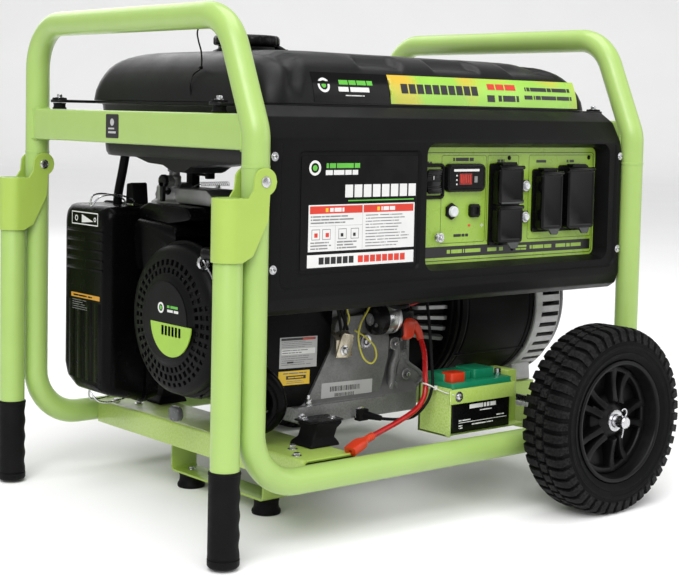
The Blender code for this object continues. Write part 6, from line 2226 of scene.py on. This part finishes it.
        piece("breather_hose", parts, "rubber", bevel=0.001)

    def box_ring(self, x, low, high, inset, radius):
        """Round-cornered outline of the air cleaner at one x, its lower far corner cut away."""
        y0, y1 = low[1] + inset, high[1] - inset
        lean = 0.012 * np.clip((x + 0.292) / 0.054, 0, 1)
        z0, z1 = low[2] + inset - lean, high[2] - inset
        corners = [(y1, z1), (y0, z1), (y0, z0), (y1 - 0.03, z0), (y1 - 0.006, z0 + 0.012),
                   (y1, z0 + 0.026)]
        radii = np.array([radius, radius, radius, 0.01, 0.01, 0.01])
        outline = fillet(corners, radii, 6)
        return placed(outline, x, "X")

    def air_cleaner_prints(self):
        """Pale outline with a wedge and a disc for the choke's way, and an amber ruled strip."""
        face = span("airbox_cover")[0][0]
        white, amber, grey = 1, 2, 3
        patches = [(0, 0, 0.068, 0.0175, 0, white), (0.0014, 0.0014, 0.0666, 0.0161, 1, 0),
                   (0, -0.099, 0.074, -0.093, 0, amber)]
        patches += text_bars(0.003, -0.116, 0.045, -0.101, 5, 0, grey, seed=61, fill=0.25)
        patches += text_bars(0.006, -0.0978, 0.066, -0.0944, 1, 1, 0, seed=62, fill=0.6)
        parts = print_plate((face + 0.0002, 0.1985, 0.357), (0, -1, 0), (0, 0, 1), (-1, 0, 0),
                            patches)
        wedge = np.array([(0.172, 0.36), (0.172, 0.371), (0.142, 0.3625)])
        parts.append((*prism(wedge, face - 0.0001, face + 0.0002, "X"), white))
        for y, outer, hole in ((0.186, 0.004, 0.0026), (0.138, 0.003, 0.0018)):
            profile = [(hole, -0.0001), (outer, -0.0001), (outer, 0.0002), (hole, 0.0002)]
            parts.append((*turned(profile, (face, y, 0.3655), "X", 24, ring=True), white))
        piece("cleaner_prints", parts,
              ["engine_black", "white_print", "amber_print", "grey_print"])

    def carburetor(self):
        """Carburettor body with flanges, a turned float bowl, its screw and the choke lever."""
        low, high = span("carburetor")
        x0, x1, y0, y1 = low[0], high[0], low[1], high[1]
        mid_x, mid_y = (x0 + x1) / 2, (y0 + y1) / 2
        parts = [block((x0 + 0.005, y0 + 0.003, 0.302), (x1 - 0.005, y1 - 0.003, 0.35)),
                 block((x0, y0, 0.312), (x0 + 0.005, y1, high[2])),
                 block((x1 - 0.005, y0, 0.312), (x1, y1, high[2]))]
        parts.append(turned([(0, x0), (0.015, x0), (0.015, x1), (0, x1)], (0, mid_y, 0.34), "X",
                            32))
        bowl = [(0, low[2]), (0.003, low[2]), (0.0035, low[2] + 0.003), (0.009, low[2] + 0.004),
                (0.0138, low[2] + 0.007), (0.0145, low[2] + 0.012), (0.0145, 0.296),
                (0.016, 0.297), (0.016, 0.302), (0, 0.302)]
        parts.append(turned(bowl, (mid_x, mid_y, 0), "Z", 36))
        piece("carb_body", parts, "cast_bright", stands_for="carburetor",
              bevel=0.001, sharp=40)

    def throttle(self):
        """Governor plate, control lever with its black knobs, a spring, and the feed pipe."""
        parts = [prism(fillet([(-0.03, 0.392), (0.094, 0.392), (0.1, 0.402), (0.088, 0.412),
                               (-0.02, 0.412), (-0.032, 0.405)], 0.005, 4), -0.232, -0.185, "X"),
                 turned([(0, 0.386), (0.034, 0.386), (0.036, 0.389), (0.036, 0.392), (0.03, 0.396),
                         (0.029, 0.412), (0.024, 0.417), (0, 0.418)], (-0.212, 0.072, 0), "Z", 40)]
        piece("governor_plate", parts, "cast_bright", bevel=0.0018,
              segments=3)
        parts = [prism(rectangle((0.046, 0.404), (0.06, 0.434), 0.003), -0.208, -0.196, "X")]
        rod = smooth_route([(-0.202, 0.048, 0.429), (-0.202, 0.034, 0.4295),
                            (-0.202, 0.018, 0.429)], 12)
        parts.append(pipe(rod, 0.0018, (0, 0, 1), 12))
        parts.append(prism(rectangle((0.01, 0.4245), (0.019, 0.4345), 0.002), -0.207, -0.197, "X"))
        feed = smooth_route([(-0.24, 0.056, 0.4085), (-0.228, 0.066, 0.4), (-0.21, 0.078, 0.402),
                             (-0.196, 0.1, 0.392), (-0.19, 0.124, 0.378)], 40)
        parts.append(pipe(feed, 0.004, (0, 0, 1), 16))
        piece("control_levers", parts, "rubber", bevel=0.0006)
        turn = np.linspace(0, 14 * 2 * PI, 14 * 14)
        spring = np.column_stack([np.linspace(-0.206, -0.16, len(turn)), 0.03 + 0.0028
                                  * np.cos(turn), 0.417 + 0.0028 * np.sin(turn)])
        parts = [pipe(spring, 0.0004, (1, 0.3, 0.2), 6)]
        link = smooth_route([(-0.246, 0.06, 0.386), (-0.228, 0.05, 0.398), (-0.214, 0.03, 0.415),
                             (-0.206, 0.03, 0.417)], 20)
        parts.append(pipe(link, 0.0009, (0, 0, 1), 8))
        parts += bolt((-0.221, 0.064, 0.413), "Z", 0.0045, 0.0038)
        parts += bolt((-0.195, 0.006, 0.413), "Z", 0.0045, 0.0038)
        piece("governor_spring", parts, "zinc")

    def muffler(self):
        """Round-edged can with rolled seams, a heat guard with slots, and its tail pipe."""
        low, high = span("muffler")
        outline_low = np.array([0.102, low[2]])
        outline_high = np.array([0.222, high[2]])
        rings = [
            placed(rectangle(outline_low + inset, outline_high - inset, 0.04 - inset, 9), x, "X")
            for x, inset in ((low[0], 0.012), (low[0] + 0.002, 0.005), (low[0] + 0.006, 0.0015),
                             (low[0] + 0.01, 0.003), (low[0] + 0.014, 0.0035),
                             (high[0] - 0.014, 0.0035), (high[0] - 0.01, 0.003),
                             (high[0] - 0.006, 0.0015), (high[0] - 0.002, 0.005),
                             (high[0], 0.012))]
        pipe_profile = [(0.0095, 0.205), (0.013, 0.205), (0.013, high[1]), (0.0115, high[1]),
                        (0.0095, high[1] - 0.001)]
        parts = [skin(np.array(rings)), turned(pipe_profile, (0.18, 0, 0.345), "Y", 32, ring=True)]
        for z in (0.3, 0.32, 0.36, 0.38):
            parts.append(prism(rectangle((0.06, z - 0.004), (0.15, z + 0.004), 0.0039, 5), 0.219,
                               0.2235, "Y"))
        piece("muffler_can", parts, "muffler_steel", stands_for="muffler",
              sharp=42, bevel=0.0006)

    def mounts(self):
        """Rubber mounts between case and cross-member, each a leaning block with flared ends."""
        rubbers, plates, bolts = [], [], []
        for side in (-1, 1):
            y = side * 0.168
            rings = [placed(rectangle((-0.183 - grow + shift, y - 0.016 - grow),
                                      (-0.148 + grow + shift, y + 0.016 + grow), 0.003, 4), z, "Z")
                     for z, grow, shift in ((BEAM_TOP + 0.0003, 0.006, 0.0),
                                            (BEAM_TOP + 0.004, 0.005, 0.0),
                                            (BEAM_TOP + 0.01, 0.0, 0.002), (0.124, 0.0, 0.006),
                                            (0.13, 0.003, 0.008), (0.1335, 0.003, 0.008))]
            rubbers.append(skin(np.array(rings)))
            plates.append(prism(rectangle((-0.188, y - 0.02), (-0.134, y + 0.016), 0.004), 0.1336,
                                0.1356, "Z"))
            bolts += bolt((-0.18, y - side * 0.004, 0.1356), "Z", 0.0055)
            bolts += bolt((-0.145, y + side * 0.008, 0.1356), "Z", 0.005)
            bolts += bolt((-0.205, y + side * 0.006, BEAM_TOP), "Z", 0.006, 0.006)
        piece("engine_mounts", rubbers, "rubber", bevel=0.001, sharp=40)
        piece("mount_plates", plates, "black_satin", bevel=0.0008)
        piece("mount_bolts", bolts, "zinc", bevel=0.0003)


# ---------------------------------------------------------------- electric start and alternator

class StarterOperator(bpy.types.Operator):
    """Make the starter motor, the solenoid with its red cap, the wires and the cable tie"""
    bl_idname = "generator.starter"
    bl_label = "Electric start"

    def execute(self, context):
        self.motor()
        self.solenoid()
        self.wires()
        return {"FINISHED"}

    def motor(self):
        """Plated can with rolled ends and two through bolts."""
        low, high = span("starter_motor")
        y, z = (low[1] + high[1]) / 2, (low[2] + high[2]) / 2
        r = (high[1] - low[1]) / 2
        a, b = low[0], high[0]
        profile = [
            (0, a), (0.009, a), (0.01, a + 0.0015), (0.0155, a + 0.0025), (0.0195, a + 0.006),
            (r, a + 0.0085), (r, b - 0.011), (r - 0.0008, b - 0.01), (r - 0.0008, b - 0.0085),
            (r, b - 0.0075), (r - 0.001, b - 0.003), (0.016, b), (0, b)]
        parts = [(*turned(profile, (0, y, z), "X", 48), 0)]
        sleeve = [(0.008, a - 0.0004), (0.016, a + 0.0018), (r, a + 0.006),
                  (r + 0.0004, a + 0.008), (r + 0.0004, a + 0.017), (0.019, a + 0.017),
                  (0.008, a + 0.01)]
        parts.append((*turned(sleeve, (0, y, z), "X", 48, ring=True), 1))
        for turn in (0.5, 0.5 + PI):
            spot = (0, y + 0.0125 * math.cos(turn), z + 0.0125 * math.sin(turn))
            head = [(0, a + 0.004), (0.0028, a + 0.004), (0.003, a + 0.0006), (0, a + 0.0002)]
            parts.append(turned(head, spot, "X", 6))
        piece("starter_can", parts, ["brushed", "black_satin"], stands_for="starter_motor",
              sharp=40)
        bracket = fillet([(-0.16, 0.226), (-0.132, 0.222), (-0.126, 0.262), (-0.14, 0.276),
                          (-0.164, 0.27)], 0.006, 4)
        piece("starter_bracket", [prism(bracket, b + 0.0002, b + 0.0052, "X")], "iron_black",
              bevel=0.0008)

    def solenoid(self):
        """Relay can behind its soft orange-red cap."""
        low, high = span("starter_solenoid")
        inset = 0.0015
        outline = rectangle((low[1] + inset, low[2] + inset), (high[1] - inset, high[2] - inset),
                            0.006, 6)
        body = prism(outline, low[0] + 0.001, high[0] - 0.002, "X")
        cap_rings = [
            placed(rectangle((low[0] + 0.004 - grow, low[1] - 0.001 - grow),
                             (high[0] - 0.001 + grow, high[1] - 0.012 + grow), 0.0045, 5), z, "Z")
            for z, grow in ((low[2] - 0.001, -0.004), (low[2] + 0.003, 0.0),
                            (high[2] - 0.022, 0.001), (high[2] - 0.016, -0.001),
                            (high[2] - 0.013, -0.004))]
        sleeve = smooth_route([(-0.002, -0.16, 0.243), (0.0055, -0.1595, 0.239),
                               (0.0105, -0.1625, 0.23), (0.0105, -0.167, 0.22)], 24)
        parts = [body, (*skin(np.array(cap_rings)), 1),
                 (*pipe(sleeve, np.linspace(0.0066, 0.0046, 24), (1, 0, 0), 18), 1)]
        piece("solenoid_set", parts, ["black_satin", "orange_boot"], stands_for="starter_solenoid",
              bevel=0.0008, sharp=45)

    def wires(self):
        """Yellow loops, thin leads up to the panel, and the white tie round the cables."""
        loop = smooth_route(
            [(-0.076, -0.17, 0.29), (-0.084, -0.172, 0.27), (-0.0985, -0.173, 0.25),
             (-0.1015, -0.1725, 0.23), (-0.093, -0.172, 0.207), (-0.0795, -0.172, 0.1975),
             (-0.0705, -0.1715, 0.204), (-BEAM_FLOOR, -0.169, 0.218), (-0.082, -0.164, 0.23),
             (-0.094, -0.156, 0.239)], 110)
        second = smooth_route([(-0.108, -0.16, 0.29), (-0.112, -0.161, 0.27),
                               (-0.107, -0.16, 0.256), (-0.104, -0.152, 0.244)], 50)
        piece("yellow_wires",
              [pipe(loop, 0.0012, (0, 1, 0.2), 10), pipe(second, 0.0012, (0, 1, 0.2), 10)],
              "yellow_vinyl")
        parts = [
            pipe(smooth_route([(-0.135 + shift, -0.165, 0.292), (-0.128 + shift, -0.163, 0.268),
                               (-0.12 + shift + bend, -0.158, 0.25),
                               (-0.112 + shift, -0.15, 0.24)], 40), 0.002, (0, 1, 0), 10)
            for shift, bend in ((0.0, 0.0), (0.005, 0.003), (0.011, -0.002))]
        sleeve = smooth_route(
            [(-0.06, -0.178, 0.292), (-0.058, -0.178, 0.276), (-0.046, -0.176, 0.268),
             (-0.024, -0.17, 0.266), (-0.008, -0.16, 0.2655)], 50)
        parts.append(pipe(sleeve, 0.003, (0, 1, 0), 12))
        piece("engine_loom", parts, "rubber")
        red = smooth_route([(0.014, -0.172, 0.292), (0.013, -0.17, 0.278), (0.006, -0.163, 0.268),
                            (-0.002, -0.156, 0.2645)], 40)
        piece("start_lead", [pipe(red, 0.0011, (0, 1, 0), 10)], "red_vinyl")
        ring = arc_points((-0.01, -0.206, 0.1665), 0.0084, 0, 360, "Z", 40)[:-1]
        lean = rotated((ring, []), 0.5, "Y", (-0.01, -0.206, 0.1665))[0]
        tail = smooth_route([(-0.005, -0.213, 0.1645), (-0.0025, -0.228, 0.161),
                             (0.002, -0.241, 0.159)], 20)
        knot = block((-0.0075, -0.2155, 0.1625), (-0.003, -0.211, 0.1675))
        piece("cable_tie",
              [pipe(lean, 0.001, (1, 0, 0), 8, loop=True), pipe(tail, 0.0009, (0, 0, 1), 8), knot],
              "nylon_white")


class AlternatorOperator(bpy.types.Operator):
    """Make the finned front bracket, the flange, the stator and the slotted end bell"""
    bl_idname = "generator.alternator"
    bl_label = "Alternator"

    def execute(self, context):
        self.adapter()
        self.stator()
        self.bell()
        return {"FINISHED"}

    def adapter(self):
        """Cone-like bracket with fins along the shaft and a ring flange."""
        y, z = SHAFT
        low, high = span("alternator_adapter")
        start, end = low[0], high[0]
        flange = end - 0.022
        cone = [(0.028, start), (0.078, start), (0.08, start + 0.0015), (0.085, start + 0.01),
                (0.0975, flange - 0.01), (0.1, flange), (0.085, flange + 0.008),
                (0.028, flange + 0.004)]
        parts = [turned(cone, (0, y, z), "X", 96, ring=True)]
        ring = [(0.085, flange - 0.0005), (0.112, flange - 0.0005), (0.115, flange + 0.0015),
                (0.115, flange + 0.006), (0.1185, flange + 0.0075), (0.1185, flange + 0.0125),
                (0.115, flange + 0.014), (0.115, flange + 0.016), (0.1185, flange + 0.0175),
                (0.1185, end), (0.085, end)]
        parts.append(turned(ring, (0, y, z), "X", 120, ring=True))
        piece("alternator_bracket", parts, "iron_black", stands_for="alternator_adapter",
              sharp=38)
        ribs = []
        rib_outline = np.array(
            [(start + 0.004, z + 0.076), (start + 0.01, z + 0.094), (flange - 0.006, z + 0.1075),
             (flange + 0.001, z + 0.1075), (flange + 0.001, z + 0.092)])
        rib = prism(fillet(rib_outline, 0.003, 4), y - 0.0024, y + 0.0024, "Y")
        angles = np.radians(np.arange(0, 360, 8.0))
        angles = angles[(np.cos(angles) > -0.42) | (np.sin(angles) < 0)]
        ribs += many(rib, angles, "X", (0, y, z))
        piece("bracket_fins", ribs, "cast_bright", sharp=40)

    def stator(self):
        """Stack of thin sheets: ring profile with fine grooves, and four long clamp bolts."""
        y, z = SHAFT
        low, high = span("stator")
        a, b = low[0], high[0]
        x = np.linspace(a, b, 90)
        radius = np.full(90, 0.115)
        radius[[0, 1, 6, 7, 82, 83, 88, 89]] = 0.1144
        outer = np.column_stack([radius, x])
        profile = np.concatenate([outer, [(0.08, b), (0.08, a)]])
        parts = [turned(profile, (0, y, z), "X", 96, ring=True)]
        piece("stator_stack", parts, "iron_black", stands_for="stator", sharp=20)
        rods = []
        for angle in (35, 145, 215, 325):
            turn = math.radians(angle)
            spot = (0, y + 0.113 * math.cos(turn), z + 0.113 * math.sin(turn))
            rods.append(turned([(0, a - 0.002), (0.003, a - 0.002), (0.003, b + 0.002),
                                (0, b + 0.002)], spot, "X", 16))
        piece("stator_rods", rods, "iron_black")

    def bell(self):
        """End bell: cast ring with long slots round it, feet, a ring of painted shade seen through
        the slots, and the dark domed end cap with vents drawn as painted shade.
        """
        y, z = SHAFT
        low, high = span("alternator_end_bell")
        a, b = low[0], high[0]
        shoulder = b - 0.02
        profile = [(0.103, a), (0.1175, a), (0.119, a + 0.0015), (0.119, shoulder - 0.002),
                   (0.1175, shoulder), (0.103, shoulder)]
        slots = []
        cutter = block((a + 0.013, y - 0.0032, z + 0.09), (shoulder - 0.003, y + 0.0032, z + 0.13))
        angles = [math.radians(7.5 * k + 1.3) for k in range(48) if not 19 < k < 29]
        slots += many(cutter, angles, "X", (0, y, z))
        feet = [prism(fillet([(middle - 0.02, low[2]), (middle + 0.02, low[2]),
                              (middle + 0.016, z - 0.086), (middle - 0.016, z - 0.086)], 0.003, 4),
                      a + 0.002, shoulder - 0.012, "X") for middle in (y - 0.055, y + 0.055)]
        piece("end_bell", [turned(profile, (0, y, z), "X", 120, ring=True)], "cast_bright",
              stands_for="alternator_end_bell", sharp=38,
              cuts=[("DIFFERENCE", slots)])
        piece("bell_feet", feet, "cast_bright", bevel=0.0015)
        # painted shade: dark ring inside the bell that stands for the shade seen through the slots
        inner = [(0.08, a + 0.002), (0.102, a + 0.002), (0.102, shoulder), (0.08, shoulder)]
        piece("bell_slot_shade", [turned(inner, (0, y, z), "X", 72, ring=True)], "black_deep")
        cap = [(0.02, shoulder + 0.0002), (0.111, shoulder + 0.0002), (0.113, shoulder + 0.002),
               (0.1115, shoulder + 0.008), (0.109, b - 0.004), (0.106, b - 0.001), (0.1, b),
               (0, b), (0, b - 0.003), (0.02, b - 0.003)]
        parts = [turned(cap, (0, y, z), "X", 96)]
        # painted shade: the vents are thin dark marks on the cap, not openings
        vent_shade = block((b - 0.0004, y - 0.002, z + 0.03), (b + 0.0004, y + 0.002, z + 0.085))
        marks = [(*v, 1) for v in many(vent_shade, np.arange(28) * 2 * PI / 28, "X", (0, y, z))]
        piece("bell_cap", parts + marks, ["black_satin", "black_deep"], sharp=40)
        bolts = []
        for middle in (y - 0.055, y + 0.055):
            bolts += bolt((a + 0.024, middle, low[2] + 0.012), "Z", 0.0055)
        for angle in (35, 145, 215, 325):
            turn = math.radians(angle)
            spot = (shoulder - 0.0005, y + 0.113 * math.cos(turn), z + 0.113 * math.sin(turn))
            bolts += bolt(spot, "X", 0.0045)
        piece("bell_bolts", bolts, "zinc", bevel=0.0003)


# ---------------------------------------------------------------- battery

class BatteryOperator(bpy.types.Operator):
    """Make the battery with its two-level lid, the tray, the strap and the strap's bolt"""
    bl_idname = "generator.battery"
    bl_label = "Battery"

    def execute(self, context):
        self.case()
        self.tray()
        self.strap()
        return {"FINISHED"}

    def case(self):
        """Black case, green lid in two levels with a lip, and the orange-red terminal cover."""
        low, high = span("battery")
        x0, y0, z0 = low
        x1, y1, z1 = high
        lid_low = z1 - 0.022
        case = prism(rectangle((x0 + 0.001, y0 + 0.001), (x1 - 0.001, y1 - 0.001), 0.003), z0,
                     lid_low, "Z")
        rim = rectangle((x0, y0), (x1, y1), 0.0035)
        lid = prism(rim, lid_low, z1 - 0.012, "Z")
        step = prism(rectangle((x0 + 0.052, y0 + 0.013), (x1 - 0.02, y1 - 0.004), 0.003),
                     z1 - 0.012, z1, "Z")
        low_step = prism(rectangle((x0 + 0.002, y0 + 0.018), (x0 + 0.052, y1 - 0.004), 0.003),
                         z1 - 0.012, z1 - 0.002, "Z")
        post = prism(rectangle((x0 + 0.004, y0 + 0.0055), (x0 + 0.029, y0 + 0.026), 0.003),
                     z1 - 0.012, z1 + 0.0002, "Z")
        stud = turned([(0, z1 - 0.012), (0.0045, z1 - 0.012), (0.0045, z1 - 0.003),
                       (0, z1 - 0.003)], (x1 - 0.009, y0 + 0.018, 0), "Z", 6)
        parts = [(*case, 0), (*lid, 1), (*step, 1), (*low_step, 1), (*post, 2), (*stud, 3)]
        white = 4
        face_low = z0
        patches = text_bars(0.033, 0.029, 0.083, 0.035, 1, 0, white, seed=71, fill=0.9,
                            ragged=0.02)
        patches += text_bars(0.052, 0.0245, 0.082, 0.0268, 1, 0, white, seed=72, fill=0.6)
        patches += [(0.014, 0.012, 0.102, 0.0128, 0, white)]
        patches += text_bars(0.014, 0.014, 0.04, 0.0165, 1, 0, white, seed=73, fill=0.6)
        patches += text_bars(0.083, 0.015, 0.103, 0.0175, 1, 0, white, seed=74, fill=0.6)
        patches += text_bars(0.038, 0.007, 0.08, 0.01, 1, 0, white, seed=75, fill=0.5)
        patches += text_bars(0.014, 0.004, 0.024, 0.01, 2, 0, white, seed=76, fill=0.5)
        parts += print_plate((x0, y0 + 0.001, face_low), (1, 0, 0), (0, 0, 1), (0, -1, 0), patches)
        piece("battery_box", parts,
              ["battery_black", "battery_green", "orange_boot", "zinc", "white_print"],
              stands_for="battery", bevel=0.0005, sharp=45)

    def tray(self):
        """Bent tray: floor, left side with an out-turned edge, rear wall and right post."""
        low, high = span("battery_tray")
        battery_low, battery_high = span("battery")
        x0, x1 = low[0], high[0]
        floor = low[2]
        parts = [block((x0, -0.23, floor), (x1, high[1], floor + SHEET)),
                 block((x0, battery_low[1], floor), (x0 + SHEET, high[1], high[2])),
                 block((x0, high[1] - SHEET, floor), (x1, high[1], high[2]))]
        post = fillet([(battery_high[0] + 0.0065, floor), (x1, floor), (x1, high[2] + 0.01),
                       (battery_high[0] + 0.0125, high[2] + 0.01)], 0.003, 4)
        parts.append(prism(post, battery_low[1] + 0.02, high[1], "Y"))
        piece("tray_sheet", parts, "lime_bracket", stands_for="battery_tray",
              bevel=0.0007)

    def strap(self):
        """Flat strap across the battery's front, bent round its right side, bolted at the left."""
        low, high = span("battery_strap")
        front = low[1]
        t = SHEET
        corners = [(low[0], front), (high[0], front), (high[0], high[1]), (high[0] - t, high[1]),
                   (high[0] - t, front + t), (low[0], front + t)]
        radii = np.array([0.0008, 0.005, 0.001, 0.001, 0.0022, 0.0008])
        outline = fillet(corners, radii, 5)
        piece("battery_band", [prism(outline, low[2], high[2], "Z")], "lime_bracket",
              stands_for="battery_strap", bevel=0.0006)
        z = (low[2] + high[2]) / 2
        parts = cross_screw((low[0] + 0.015, front, z), "Y", 0.0055, -1)
        parts.append(turned([(0, 0), (0.0068, 0), (0.0068, -0.0007), (0, -0.0007)],
                            (low[0] + 0.015, front, z), "Y", 28))
        # the cross recess of this screw is painted shade
        piece("strap_bolt", parts, ["zinc", "black_deep"])


# ---------------------------------------------------------------- panel in the sidebar

OPERATORS = (StageOperator, CableOperator, FrameOperator, HandleOperator, WheelOperator,
             CoverOperator, PanelOperator, TankOperator, EngineOperator, StarterOperator,
             AlternatorOperator, BatteryOperator)


class LooksPanel(bpy.types.Panel):
    """Buttons for the stage and each group of pieces"""
    bl_idname = "VIEW3D_PT_generator"
    bl_label = "Generator"
    bl_space_type = "VIEW_3D"
    bl_region_type = "UI"
    bl_category = "Generator"

    def draw(self, context):
        for settings in (context.scene.generator_paint, context.scene.generator_shape):
            for name in settings.bl_rna.properties.keys():
                if name not in ("rna_type", "name"):
                    self.layout.prop(settings, name)
        for operator in OPERATORS:
            self.layout.operator(operator.bl_idname)


CLASSES = (PaintSettings, ShapeSettings, *OPERATORS, LooksPanel)


def register():
    for kind in CLASSES:
        bpy.utils.register_class(kind)
    bpy.types.Scene.generator_paint = bpy.props.PointerProperty(type=PaintSettings)
    bpy.types.Scene.generator_shape = bpy.props.PointerProperty(type=ShapeSettings)


def unregister():
    del bpy.types.Scene.generator_shape
    del bpy.types.Scene.generator_paint
    for kind in reversed(CLASSES):
        bpy.utils.unregister_class(kind)


def main():
    register()
    for operator in OPERATORS:
        group, name = operator.bl_idname.split(".")
        getattr(getattr(bpy.ops, group), name)()


if __name__ == "__main__":
    main()
